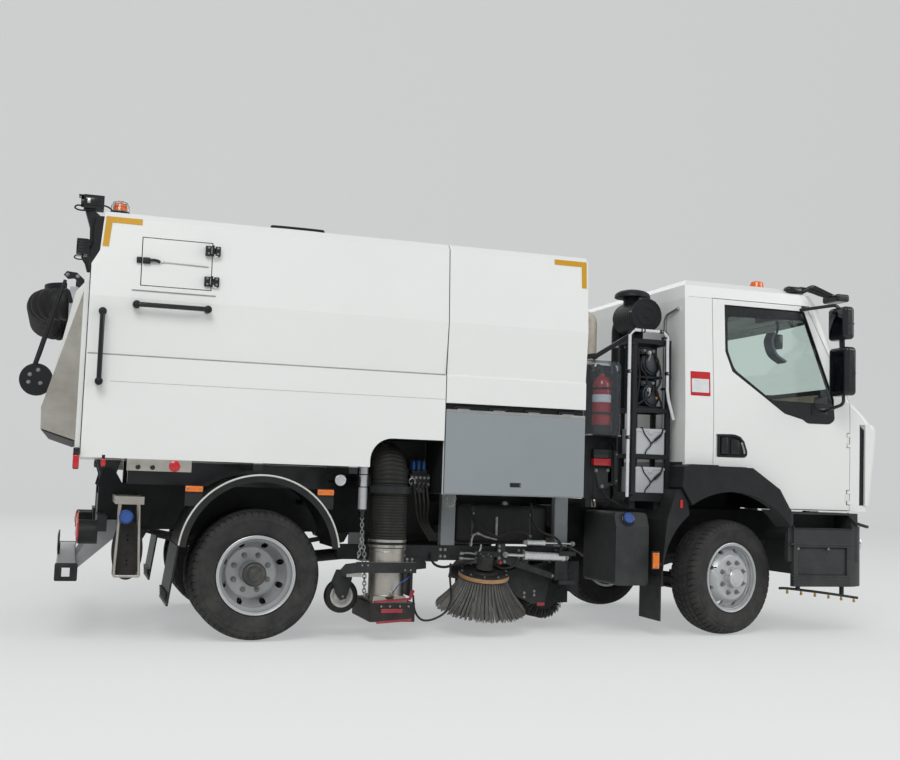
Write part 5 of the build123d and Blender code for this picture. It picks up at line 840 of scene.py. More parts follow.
piece("caster_fork", "nozzle", chassis_black,
      [plate([(-1.17, 0.395), (-1.14, 0.470), (-1.02, 0.470), (-1.04, 0.36), (-1.066, 0.275),
              (-1.105, 0.262), (-1.135, 0.30)],
             1, -1.092, -1.077)])


# Lift of the nozzle: a silver cylinder under the body's edge with black clamp bands, the galvanised
# chain from it to the carrier with a second loose length, and beside it the reversing horn.
chain_zinc = finish("galvanised_chain_steel", "#a9abab", "#8b8b88", 0.38, patch=0.04, grain_mm=1, dust=0.2,
                    Metallic=0.8)
lift_x, lift_y, lift_foot_z, lift_top_z = -0.985, -1.12, 0.838, 0.860


def chain(path, wire=0.0042, pitch=0.034):
    """Welded links along a path, each a flattened ring of wire turned a quarter from the last."""
    path = np.asarray(path, float)
    length = np.concatenate([[0], np.cumsum(np.linalg.norm(np.diff(path, axis=0), axis=1))])
    at = np.arange(pitch / 2, length[-1], pitch * 0.72)
    places = np.stack([np.interp(at, length, path[:, k]) for k in range(3)], -1)
    way = np.gradient(places, axis=0)
    way /= np.linalg.norm(way, axis=1, keepdims=True)
    side = np.cross(way, [0, 1.0, 0.01])
    side /= np.linalg.norm(side, axis=1, keepdims=True)
    other = np.cross(way, side)
    odd = (np.arange(len(at)) % 2 == 1)[:, None]
    turns = np.stack([np.where(odd, other, side), np.where(odd, -side, other), way], -1)
    angle = np.linspace(0, 2 * pi, 15)[:-1]
    link = np.stack([0.0115 * np.cos(angle), np.zeros(14), pitch / 2 * np.sin(angle)], -1)
    return repeated(tube_ring(link, wire), places, turns)


def tube_ring(path, radius, steps=6):
    """A round wire along a closed path."""
    angle = np.arange(steps) * 2 * pi / steps
    return carried(np.stack([np.cos(angle), np.sin(angle)], -1), path, radius, ring=True)


cylinder = [(0, 0.018), (0.004, 0.029), (0.012, 0.031), (0.205, 0.031), (0.206, 0.0295), (0.222, 0.0295),
            (0.223, 0.031), (0.312, 0.031)]
piece("nozzle_lift_cylinder", "chassis", wheel_silver,
      [turned(cylinder, (lift_x, lift_y, lift_top_z), up, 40)])
piece("nozzle_lift_bands", "chassis", gloss_black,
      [bead_ring((lift_x, lift_y, z), up, 0, 0.0325, 0.0032, 40) for z in (1.035, 1.12)]
      + [turned([(-0.012, 0.020), (0.02, 0.026), (0.03, 0.0335), (0.045, 0.0335)],
                (lift_x, lift_y, lift_foot_z), up, 32)])
piece("nozzle_lift_bracket", "chassis", chassis_black,
      [block((lift_x - 0.02, lift_y, 1.06), (lift_x + 0.02, -0.43, 1.09), 0.004),
       block((lift_x - 0.035, lift_y - 0.02, 1.04), (lift_x + 0.035, lift_y + 0.05, 1.105), 0.004)])
piece("nozzle_chains", "chassis", chain_zinc,
      [chain([(lift_x, lift_y, 0.842), (lift_x + 0.006, lift_y, 0.70),
              (lift_x - 0.012, lift_y - 0.02, 0.60), (-1.012, -1.16, 0.545)]),
       chain([(lift_x + 0.004, lift_y, 0.69), (-0.965, -1.14, 0.60), (-0.962, -1.16, 0.46),
              (-0.960, -1.17, 0.290)]),
       chain([(-0.405, -1.165, 1.004), (-0.392, -1.17, 0.93), (-0.362, -1.175, 0.905),
              (-0.345, -1.18, 0.955), (-0.335, -1.18, 1.004)],
             0.0028, 0.024)])
horn = [(0.0, 0.012), (0.012, 0.014), (0.02, 0.03), (0.026, 0.038), (0.029, 0.038), (0.031, 0.034),
        (0.026, 0.014)]
piece("reversing_horn", "chassis", wheel_silver,
      [turned(horn, (-1.153, -1.130, 1.076), to_right, 32)])
piece("reversing_horn_bracket", "chassis", chassis_black,
      [block((-1.185, -1.132, 1.10), (-1.11, -1.118, 1.118), 0.002),
       block((-1.158, -1.132, 1.06), (-1.148, -0.80, 1.075), 0.002),
       block((-1.163, -1.130, 1.065), (-1.143, -1.115, 1.12), 0.002)])


# Side brush: a black plastic disc in a steel rim over a laminated wood ring, in which the bundles
# of flat steel wire are set; they lean out all round and spread at their tips.
brush_tilt = radians(12)
brush_top = np.array([-0.005, -0.900, 0.452])
brush_axes = np.array([[1, 0, 0], [0, cos(brush_tilt), sin(brush_tilt)],
                       [0, -sin(brush_tilt), cos(brush_tilt)]])
wood_tan = finish("laminated_beech_ring", "#b98f62", "#a37a50", 0.55, patch=0.05, grain_mm=2,
                  relief_mm=0.15, dust=0.1)
wire_grey = finish("spring_steel_brush_wire", "#5b5d5f", "#77756f", 0.42, patch=0.05, grain_mm=3, dust=0.3,
                   Metallic=0.55)
seeded = np.random.default_rng(11)


def strands(centres, thick, sides=4):
    """Wires through rows of points, all of one thickness at each step; each wire's section is set
    square to its first run and closed at both ends."""
    count, steps = centres.shape[:2]
    way = centres[:, 1] - centres[:, 0]
    way /= np.linalg.norm(way, axis=1, keepdims=True)
    side = np.cross(way, np.eye(3)[np.abs(way).max(axis=0).argmin()])
    side /= np.linalg.norm(side, axis=1, keepdims=True)
    other = np.cross(way, side)
    angle = np.arange(sides) * 2 * pi / sides
    ring = np.cos(angle)[None, :, None] * side[:, None] + np.sin(angle)[None, :, None] * other[:, None]
    points = centres[:, :, None] + np.asarray(thick)[None, :, None, None] * ring[:, None]
    shift = (np.arange(count) * steps * sides)[:, None, None]
    first = np.arange(sides)[None]
    faces = [(array[None] + shift).reshape(-1, array.shape[1])
             for array in (grid(steps, sides, False, True), first, first + (steps - 1) * sides)]
    return points, faces


def in_brush(part):
    """A part drawn about the brush's shaft, in its place."""
    return repeated(part, [brush_top], [brush_axes.T])


tufts, bundle = 54, 9
tuft_angle = np.repeat(np.arange(tufts) * 2 * pi / tufts, bundle)
rows = []
for ring_radius, reach, drop, turn in ((0.165, 0.332, 0.262, 0.0), (0.128, 0.272, 0.266, 0.5)):
    angle = tuft_angle + turn * 2 * pi / tufts + seeded.uniform(-0.028, 0.028, tufts * bundle)
    end_angle = angle + seeded.uniform(-0.035, 0.035, tufts * bundle)
    end_reach = reach - np.abs(seeded.normal(0, 0.012, tufts * bundle))
    end_drop = drop - np.abs(seeded.normal(0, 0.010, tufts * bundle))
    t = np.linspace(0, 1, 6)
    r = ring_radius + (end_reach - ring_radius)[:, None] * t ** 1.35
    a = angle[:, None] + (end_angle - angle)[:, None] * t
    h = -0.040 - (end_drop + 0.02 - 0.040)[:, None] * t ** 0.96
    rows.append(np.stack([r * np.cos(a), r * np.sin(a), h], -1))
wire_rows = np.concatenate(rows)
piece("brush_wire_bundles", "side_brush", wire_grey,
      [in_brush(strands(wire_rows, np.array([0.0030, 0.0034, 0.0038, 0.0042, 0.0042, 0.0030])))], sharp=60,
      replaced=("side_brush",))
disc = [(-0.012, 0.06), (-0.012, 0.184), (-0.002, 0.188), (0.0, 0.186), (0.001, 0.150), (-0.003, 0.146),
        (-0.003, 0.100), (0.003, 0.095), (0.004, 0.06)]
piece("brush_disc", "side_brush", moulded_black, [in_brush(turned(disc, origin, up, 72))])
wood = [(-0.042, 0.100), (-0.042, 0.181), (-0.039, 0.184), (-0.012, 0.184), (-0.012, 0.100)]
piece("brush_wood_ring", "side_brush", wood_tan,
      [in_brush(turned(wood, origin, up, 72, ring=True))])
piece("brush_disc_bolts", "side_brush", nut_steel,
      [in_brush(part) for part in bolt_heads(np.array([0, 0, 0.001]) + 0.168 * around(up, 10), up, 0.007)])
motor = [(0.016, 0.050), (0.020, 0.062), (0.032, 0.062), (0.034, 0.0585), (0.112, 0.0585), (0.116, 0.054),
         (0.118, 0.02)]
piece("brush_motor_casing", "brush_arm", axle_iron,
      [in_brush(turned(motor, origin, up, 40))])
piece("brush_motor_bolts", "brush_arm", nut_steel,
      [in_brush(part)
       for part in bolt_heads(np.array([0, 0, 0.117]) + 0.042 * around(up, 4, pi / 4), up, 0.006)])


# Brush linkage: two bright hydraulic cylinders with chromed rods, steel fittings and hoses, on
# bolted black plates; some bolt heads carry red paint marks.
chrome_rod = finish("hard_chromed_rod", "#d5d7d8", "#c3c5c6", 0.12, patch=0.1, grain_mm=1, relief_mm=0.01,
                    Metallic=0.95)
barrel_silver = finish("honed_cylinder_barrel", "#d8dadb", "#c8caca", 0.26, patch=0.08, grain_mm=1,
                       dust=0.15, Metallic=0.7)
marked_red = finish("red_paint_mark", "#b3272b", "#a02327", 0.4, patch=0.02, grain_mm=1)
link_face_y, gear_face_y = -0.9008, -0.8005


def ram(start, end, barrel, rod_radius, share, eye):
    """Parts of a cylinder from start to end: (barrel with its gland), (rod), (end eyes)."""
    start, end = np.array(start), np.array(end)
    length = np.linalg.norm(end - start)
    way = (end - start) / length
    long = length * share
    body = [(0.012, barrel * 0.7), (0.014, barrel * 1.08), (0.034, barrel * 1.08), (0.035, barrel),
            (long - 0.03, barrel),
            (long - 0.029, barrel * 1.1), (long - 0.004, barrel * 1.1), (long, barrel * 0.9),
            (long, rod_radius)]
    rod = [(long - 0.002, rod_radius), (length - 0.012, rod_radius)]
    eyes = [turned([(-eye * 0.9, eye), (eye * 0.9, eye)], point, (0, 1, 0), 24) for point in (start, end)]
    pins = [turned([(-eye * 1.5, eye * 0.42), (eye * 1.5, eye * 0.42)], point, (0, 1, 0), 14)
            for point in (start, end)]
    return [turned(body, start, way, 36)], [turned(rod, start, way, 20)], eyes + pins


lower_body, lower_rod, lower_eyes = ram((0.632, -0.905, 0.556), (0.150, -0.905, 0.572), 0.0300, 0.012,
                                        0.70, 0.021)
upper_body, upper_rod, upper_eyes = ram((0.318, -0.872, 0.660), (0.700, -0.872, 0.655), 0.0200, 0.0085,
                                        0.42, 0.016)
piece("brush_cylinder_barrels", "brush_arm", barrel_silver, lower_body + upper_body)
piece("brush_cylinder_rods", "brush_arm", chrome_rod, lower_rod + upper_rod)
piece("brush_cylinder_eyes", "brush_arm", nut_steel, lower_eyes + upper_eyes)
piece("brush_link_bolts", "brush_arm", nut_steel,
      bolt_heads([(0.108, link_face_y, z) for z in (0.632, 0.600, 0.545)]
                 + [(0.150, link_face_y, 0.520), (0.535, link_face_y, 0.420)], to_right, 0.009)
      + bolt_heads([(x, gear_face_y, z) for x in (-0.311, -0.276, -0.62, -0.585, 0.30, 0.34, 0.60, 0.64)
                    for z in (0.548, 0.596)],
                   to_right, 0.009))
piece("brush_marked_bolts", "brush_arm", marked_red,
      bolt_heads([(0.118, link_face_y, 0.512), (0.575, link_face_y, 0.398)], to_right, 0.0105))
fittings = [[(-0.100, -0.86, 0.640), (-0.085, -0.86, 0.700), (-0.047, -0.86, 0.718), (0.0, -0.86, 0.700),
             (0.04, -0.86, 0.690), (0.1, -0.86, 0.676)],
            [(-0.175, -0.875, 0.575), (-0.12, -0.875, 0.578), (-0.063, -0.875, 0.572), (-0.03, -0.87, 0.60),
             (-0.02, -0.86, 0.64)],
            [(-0.180, -0.880, 0.540), (-0.12, -0.880, 0.536), (-0.06, -0.880, 0.538), (-0.02, -0.87, 0.56)]]
piece("brush_pipe_fittings", "brush_arm", nut_steel,
      wires(fittings, 0.0085, steps=6)
      + [turned([(-0.013, 0.014), (0.013, 0.014)], path[k], np.array(path[k + 1]) - path[k], 6)
         for path in fittings for k in (0, 2)])
hoses = [[(0.36, -0.872, 0.678), (0.33, -0.86, 0.725), (0.22, -0.85, 0.735), (0.11, -0.86, 0.700),
          (0.02, -0.86, 0.730), (-0.06, -0.83, 0.80), (-0.10, -0.80, 0.93)],
         [(0.58, -0.905, 0.588), (0.60, -0.90, 0.640), (0.56, -0.87, 0.700), (0.46, -0.85, 0.740),
          (0.40, -0.82, 0.82), (0.39, -0.80, 0.95)],
         [(0.26, -0.905, 0.545), (0.22, -0.90, 0.490), (0.14, -0.88, 0.470), (0.06, -0.86, 0.520),
          (0.0, -0.86, 0.56)],
         [(-0.07, -0.88, 0.538), (-0.20, -0.87, 0.50), (-0.30, -0.86, 0.475), (-0.375, -0.85, 0.50),
          (-0.392, -0.79, 0.58)]]
piece("brush_hydraulic_hoses", "brush_arm", hose_black, wires(hoses, 0.0095))
loop = smooth([(-0.595, -1.10, 0.30), (-0.588, -1.13, 0.20), (-0.555, -1.155, 0.145),
               (-0.50, -1.155, 0.133), (-0.43, -1.15, 0.152), (-0.36, -1.12, 0.19), (-0.30, -1.05, 0.27),
               (-0.27, -0.92, 0.40), (-0.25, -0.86, 0.50)], 8)
piece("spray_feed_hose", "chassis", hose_black, [tube(loop, 0.0075, 10)])


# Grey posts in front of the frame: box sections sprayed in the body's grey, each with a weld seam,
# and between them the black hydraulic tank with its straps, filler and level glass.
post_x, strap_x = (-0.260, 0.635), (-0.06, 0.40)
piece("grey_posts", "chassis", gear_grey,
      [block((x - 0.0535, -0.8035, 0.627), (x + 0.0535, -0.7365, 1.0015), 0.004) for x in post_x]
      + [block((x - 0.055, -0.805, 0.765), (x + 0.055, -0.735, 0.769), 0.0015) for x in post_x])
piece("hydraulic_tank", "chassis", moulded_black,
      [block((-0.185, -0.725, 0.636), (0.560, -0.462, 0.925), 0.035, 0)])
piece("hydraulic_tank_straps", "chassis", gloss_black,
      [block((x, -0.7285, 0.632), (x + 0.035, -0.46, 0.9285), 0.030, 0) for x in strap_x])
piece("hydraulic_tank_fittings", "chassis", nut_steel,
      bolt_heads([(x, -0.7285, z) for x in (-0.0425, 0.4175) for z in (0.70, 0.86)], to_right, 0.008)
      + [turned([(0, 0.036), (0.02, 0.036), (0.022, 0.030), (0.03, 0.028)], (0.25, -0.60, 0.922), up, 28),
         block((0.135, -0.7335, 0.70), (0.155, -0.7245, 0.84), 0.004)])


# Plates behind the brush: black carriers with bright bolts, two hanging mud flaps and a red tip.
piece("gear_carrier_plates", "chassis", chassis_black,
      [plate([(-0.66, 0.54), (-0.45, 0.54), (-0.42, 0.50), (-0.42, 0.46), (-0.60, 0.44), (-0.66, 0.47)], 1,
             -0.815, -0.80),
       plate([(0.20, 0.44), (0.54, 0.52), (0.56, 0.44), (0.52, 0.215), (0.42, 0.205), (0.30, 0.26),
              (0.22, 0.34)], 1, -0.80, -0.786),
       plate([(0.662, 0.60), (0.70, 0.62), (0.725, 0.52), (0.79, 0.52), (0.79, 0.270), (0.70, 0.300),
              (0.676, 0.36)], 1, -0.80, -0.788)])
bolted("gear_carrier_bolts", "chassis",
       [(x, -0.8155, z) for x in (-0.604, -0.566, -0.528) for z in (0.470, 0.500, 0.525)]
       + [(x, gear_face_y, z) for x, z in ((0.431, 0.298), (0.431, 0.270), (0.351, 0.285), (0.351, 0.255),
                                           (0.70, 0.55), (0.70, 0.45))], to_right, 0.0085)
piece("gear_red_tip", "chassis", crimson_lip,
      [block((0.455, -0.81, 0.190), (0.515, -0.79, 0.216), 0.005)])


# Roller brush under the frame: black polypropylene bristle on a steel core, its tufts set all round
# by the golden angle, so that no two lie in one row.
roller_turn, golden_angle = radians(10), 2.399963
roller_axis = np.array([-sin(roller_turn), cos(roller_turn), 0])
roller = middle("roller_brush")
roller_black = finish("polypropylene_bristle", "#26282a", "#3b3c3c", 0.55, patch=0.04, grain_mm=2,
                      dust=0.25)
bristle_count = 3000
spoke_angle = np.arange(bristle_count) * golden_angle
bristle_at = np.linspace(-0.545, 0.545, bristle_count)
radial = np.cos(spoke_angle)[:, None] * up + np.sin(spoke_angle)[:, None] * np.cross(roller_axis, up)
tip = 0.188 + seeded.uniform(-0.004, 0.0, bristle_count)
roller_rows = (roller + bristle_at[:, None, None] * roller_axis
               + np.stack([np.full(bristle_count, 0.10), tip], -1)[..., None] * radial[:, None])
piece("roller_bristles", "roller", roller_black,
      [strands(roller_rows, np.array([0.006, 0.0045]), 3)], sharp=60, replaced=("roller_brush",))
piece("roller_core", "roller", chassis_black,
      [turned([(-0.56, 0.03), (-0.559, 0.112), (-0.5, 0.125), (0.5, 0.125), (0.559, 0.112), (0.56, 0.03)],
              roller, roller_axis, 40)])


# Trim on the body's walls: a grey strip on the fold, painted shade of the wall's step, a thin joint
# line, yellow corner marks in reflective film, all lying on the leaning wall. Each is about a
# millimetre thick.
wall_z = [1.172, 1.824, 1.838, 2.200, 2.720]
wall_y = [1.232, 1.232, 1.220, 1.250, 1.2137]
shaded_step_ends, joint_ends = (-2.838, -0.452), (-2.695, -0.452)
seam_and_shade_grey = finish("grey_joint_sealer_and_painted_shade", "#9b9c99", "#8a8a86", 0.6, patch=0.1, grain_mm=2, relief_mm=0.1)
film_yellow = finish("reflective_yellow_film", "#cf9c12", "#c29010", 0.38, patch=0.3, grain_mm=1.5,
                     relief_mm=0.04)


def on_wall(part, sign=-1):
    """A part drawn with y as its height off the side wall, sheared on to the wall: y = sign (wall(z) + y)."""
    points = np.array(part[0], float).reshape(-1, 3)
    points[:, 1] = sign * (np.interp(points[:, 2], wall_z, wall_y) + points[:, 1])
    return points, part[1]


rear_mark = [(-2.770, 2.722), (-2.544, 2.722), (-2.544, 2.683), (-2.731, 2.683), (-2.746, 2.523),
             (-2.785, 2.523)]
front_mark = [(0.356, 2.722), (0.356, 2.684), (0.571, 2.684), (0.571, 2.526), (0.609, 2.526),
              (0.609, 2.722)]
for side, sign in both_sides:
    piece("corner_mark_rear_" + side, "hopper", film_yellow,
          [on_wall(plate(rear_mark, 1, -0.001, 0.0010), sign)])
    piece("corner_mark_front_" + side, "chassis", film_yellow,
          [on_wall(plate(front_mark, 1, -0.001, 0.0010), sign)])
    # The strip on the fold is painted shade; the thinner one is the joint line.
    piece("wall_shaded_step_and_joint_line_" + side, "hopper", seam_and_shade_grey,
          [on_wall(plate([(x0, z0), (x1, z0), (x1, z1), (x0, z1)], 1, -0.001, height), sign)
           for (x0, x1), z0, z1, height in ((shaded_step_ends, 1.8262, 1.8365, 0.0008),
                                            (joint_ends, 1.6578, 1.6604, 0.0005))])


# Hatch furniture, right side: black pressed hinge leaves with four bright screws over each hinge, a
# black lever latch, a thin stainless rod, and the folded drip ledge below, grey as painted shade.
hatch_pin_x, hatch_pin_y, leaf_face_y = -2.089, -1.258, -1.2655
hatch_hinge_z = (2.344, 2.548)
for name, body, x0, x1 in (("hatch_hinge_leaves", "hatch", -2.1365, -2.100),
                           ("hopper_hinge_leaves", "hopper", -2.0755, -2.041)):
    piece(name, body, moulded_black,
          [block((x0, leaf_face_y, z - 0.031), (x1, y_in, z + 0.031), 0.002, 1)
           for z, y_in in zip(hatch_hinge_z, (-1.236, -1.222))])
    screws = [((x0 + x1) / 2, leaf_face_y - 0.0005, z + dz) for z in hatch_hinge_z
              for dz in (-0.019, 0.019)]
    bolted(name + "_screws", body, screws, to_right, 0.0062)
for body, reach in (("hatch", [(-0.0195, 0.0195)]), ("hopper", [(0.0205, 0.0365), (-0.0365, -0.0205)])):
    piece(body + "_hinge_sleeves", body, moulded_black,
          [sleeve(a, b, 0.0075, 0.0091, (hatch_pin_x, hatch_pin_y, z), up, 24) for z in hatch_hinge_z
           for a, b in reach])
piece("hatch_latch_strike", "hopper", moulded_black,
      [on_wall(block((-2.570, -0.001, 2.432), (-2.538, 0.016, 2.470), 0.004, 1))])
piece("hatch_latch", "hatch", moulded_black,
      [on_wall(block((-2.531, -0.001, 2.430), (-2.484, 0.022, 2.470), 0.005, 1)),
       on_wall(carried(np.array([[-0.005, -0.009], [0.005, -0.009], [0.006, 0.0], [0.005, 0.009],
                                 [-0.005, 0.009]]),
                       smooth([(-2.490, 0.017, 2.452), (-2.465, 0.021, 2.454), (-2.440, 0.017, 2.452),
                               (-2.424, 0.008, 2.446)], 5)))])
piece("hatch_rod", "hatch", stainless,
      [on_wall(tube([(-2.402, 0.004, 2.4490), (-2.25, 0.004, 2.4460), (-2.112, 0.004, 2.4430)], 0.0032,
                    10)),
       on_wall(block((-2.414, -0.001, 2.441), (-2.398, 0.009, 2.457), 0.003, 1))])
# The ledge is coloured grey as painted shade.
piece("hatch_drip_ledge_in_painted_shade", "hopper", seam_and_shade_grey,
      [on_wall(block((-2.590, -0.001, 2.249), (-2.058, 0.006, 2.2555), 0.0015, 0))])


# Grab rails: rubber-sleeved tube, with a moulded knuckle over each end that meets the wall.
knuckle = [(-0.022, 0.019), (-0.016, 0.0235), (0.004, 0.0255), (0.014, 0.023), (0.0205, 0.015),
           (0.022, 0.004)]
rail_y = 1.3005
for side, sign in both_sides:
    ends = [(x, sign * rail_y, z)
            for x, z in ((-2.761, 1.650), (-2.761, 2.094), (-2.557, 2.154), (-2.108, 2.154))]
    piece("grab_rail_knuckles_" + side, "hopper", moulded_black,
          [repeated(turned(knuckle, origin, (0, sign, 0), 28), ends)]
          + [turned([(-0.052, 0.021), (-0.046, 0.0225), (-0.016, 0.0185)], end, (0, sign, 0), 24)
             for end in ends])


# Rear light posts: a camera in its black housing with a short hood, an amber beacon under a wire
# cage, and a square work lamp, with their short wires tied to the post.
beacon_amber = finish("moulded_beacon_acrylic", "#ee6f14", "#e2600e", 0.12, patch=0.05, grain_mm=5,
                      relief_mm=0.1, **{"Coat Weight": 0.8, "Coat Roughness": 0.03})
post_y, beacon_x, cage_radius = 0.900, -2.680, 0.0600
post_loops = [[(-2.915, 0.03, 2.835), (-2.955, 0.045, 2.832), (-2.968, 0.05, 2.812), (-2.93, 0.05, 2.800),
               (-2.86, 0.045, 2.812), (-2.80, 0.046, 2.845), (-2.745, 0.05, 2.83), (-2.72, 0.05, 2.79)],
              [(-2.900, 0.03, 2.512), (-2.905, 0.035, 2.485), (-2.885, 0.04, 2.452), (-2.868, 0.038, 2.430),
               (-2.858, 0.036, 2.40), (-2.850, 0.03, 2.375)],
              [(-2.838, 0.043, 2.76), (-2.848, 0.043, 2.70), (-2.845, 0.043, 2.60), (-2.86, 0.043, 2.55)]]
for side, sign in both_sides:
    y = sign * post_y
    dome = [(0.0, 0.047), (0.004, 0.051), (0.044, 0.047), (0.060, 0.040), (0.068, 0.026), (0.071, 0.003)]
    piece("rear_beacon_" + side, "hopper", beacon_amber,
          [turned(dome, (beacon_x, y, 2.816), up, 48)])
    piece("rear_beacon_ribs_" + side, "hopper", gloss_black,
          [turned([(0, 0.058), (0.008, 0.058), (0.012, 0.052), (0.012, 0.04)], (beacon_x, y, 2.8165), up,
                  40)])
    hoop_angle = np.linspace(0, pi, 17)
    hoops = [tube(np.stack([beacon_x + cage_radius * np.cos(hoop_angle) * cos(turn),
                            y + cage_radius * np.cos(hoop_angle) * sin(turn),
                            2.818 + 0.0795 * np.sin(hoop_angle) ** 0.6], -1), 0.0022, 8)
             for turn in np.arange(4) * pi / 4 + 0.01]
    piece("rear_beacon_cage_" + side, "hopper", clamp_steel,
          hoops + [bead_ring((beacon_x, y, z), up, 0, r, 0.0022, 48)
                   for z, r in ((2.822, 0.0605), (2.860, 0.0590), (2.884, 0.048))])
    piece("rear_camera_" + side, "hopper", gloss_black,
          [turned([(0, 0.034), (0.014, 0.034), (0.018, 0.030), (0.012, 0.025), (0.009, 0.012),
                   (0.012, 0.010), (0.0125, 0.001)],
                  (-2.915, y, 2.866), (-1, 0, 0), 36),
           block((-2.948, y - 0.050, 2.9005), (-2.79, y + 0.050, 2.9085), 0.003),
           block((-2.905, y + sign * 0.0555 - 0.004, 2.838), (-2.80, y + sign * 0.0555 + 0.004, 2.892),
                 0.004)])
    piece("rear_camera_plate_" + side, "hopper", clamp_steel,
          [block((-2.893, y + sign * 0.0580, 2.852), (-2.873, y + sign * 0.0610, 2.884), 0.001, 1)])
    piece("rear_work_lamp_" + side, "hopper", gloss_black,
          [block((-2.9435, y - 0.062, z), (-2.875, y + 0.062, z + 0.006), 0.002)
           for z in np.linspace(2.509, 2.606, 6)]
          + [block((-2.9445, y + a, 2.509), (-2.934, y + b, 2.611), 0.002)
             for a, b in ((-0.062, -0.054), (0.054, 0.062))])
    piece("rear_work_lamp_glass_" + side, "hopper", lens_clear,
          [block((-2.9425, y - 0.053, 2.517), (-2.9395, y + 0.053, 2.603), 0.003, 0)])
    loops = [[(x, y + sign * off, z) for x, off, z in loop] for loop in post_loops]
    piece("rear_post_wires_" + side, "hopper", hose_black, wires(loops, 0.0055, 8))
roof_grip = [(x, -1.10, z) for x, z in ((-1.690, 2.758), (-1.685, 2.778), (-1.66, 2.786), (-1.36, 2.786),
                                        (-1.335, 2.778), (-1.33, 2.758))]
piece("roof_handle", "hopper", chassis_black,
      wires([roof_grip], 0.009, 12, 6)
      + [block((x - 0.03, -1.125, 2.757), (x + 0.03, -1.075, 2.765), 0.003) for x in (-1.69, -1.51, -1.33)])


# Hand-held suction hose across the back: black rubber with wide rings, pale clamp collars where it
# leaves the door, and a rubber guard strip tied along its top.
hose_low, hose_high, hose_reach, hose_bend = 2.190, 2.230, -3.143, 0.170
hose_right, hose_left, hose_root = -0.480, 0.520, -2.925
quarter = np.linspace(0, pi / 2, 14)
near_x, far_x = (hose_reach + hose_bend - hose_bend * wave(quarter) for wave in (np.sin, np.cos))
right_y = hose_right + hose_bend - hose_bend * np.cos(quarter)
left_y = hose_left - hose_bend + hose_bend * np.sin(quarter)
wander = np.concatenate([[(hose_root, hose_right, 0)], np.stack([near_x, right_y, 0 * quarter], -1),
                         np.stack([far_x, left_y, 0 * quarter], -1), [(hose_root, hose_left, 0)]])
wander[:, 2] = np.interp(wander[:, 1], [hose_right, hose_left], [hose_high, hose_low])
piece("ribbed_wandering_hose", "gate", hose_black,
      [ribbed(wander, 0.1135, 0.050, 0.014, 48)], sharp=60, replaced=("wandering_hose",))
collar = [(-0.028, 0.112), (-0.028, 0.124), (-0.012, 0.128), (0.012, 0.128), (0.028, 0.124), (0.028, 0.112)]
piece("wandering_hose_collars", "gate", pale_plastic,
      [turned(collar, (-2.945, y, z), (1, 0, 0), 56, ring=True)
       for y, z in ((hose_right, hose_high), (hose_left, hose_low))])
strip_path = wander[2:-2] + (0, 0, 0.1165)
piece("wandering_hose_strip", "gate", moulded_black,
      [carried(flat_bar(0.035, 0.003)[:, ::-1], strip_path)])


# Boom of that hose: a flat bolted bracket on the body, a long bar on the tailgate, and four bright
# bolts on the swivel disc. Below it a black sheet along the chute's underside is painted shade.
boom_y = -0.860
boom_disc = np.array([-3.145, boom_y, 1.669])
piece("boom_pivot_plate", "hopper", chassis_black,
      [plate([(-2.880, 2.300), (-2.855, 2.325), (-2.930, 2.392), (-2.995, 2.398), (-3.014, 2.372),
              (-2.985, 2.345), (-2.945, 2.352)],
             1, boom_y - 0.025, boom_y - 0.0165)])
bolted("boom_pivot_bolts", "hopper",
       [(x, boom_y - 0.025, z) for x, z in ((-2.872, 2.318), (-2.925, 2.368), (-2.990, 2.374))], to_right,
       0.010)
piece("boom_long_bar", "gate", chassis_black,
      [tube([(-3.002, boom_y, 2.340), (-3.130, boom_y - 0.033, 1.840), (-3.150, boom_y - 0.033, 1.775)],
            0.0115, 14)])
disc_bolts = np.array([(0.010, -0.0305, 0.062), (-0.040, -0.0305, 0.030), (-0.046, -0.0305, -0.020),
                       (0.028, -0.0305, -0.024)])
bolted("boom_bolts", "gate", boom_disc + disc_bolts, to_right, 0.0105)
# Painted shade: a black sheet under the chute's lower face, in place of the shadow there.
piece("chute_underside_painted_shade", "gate", hose_black,
      [plate([(-3.0905, 1.3400), (-3.0850, 1.3300), (-2.9000, 1.2700), (-2.8840, 1.2735)], 1, -1.189,
             1.189)])


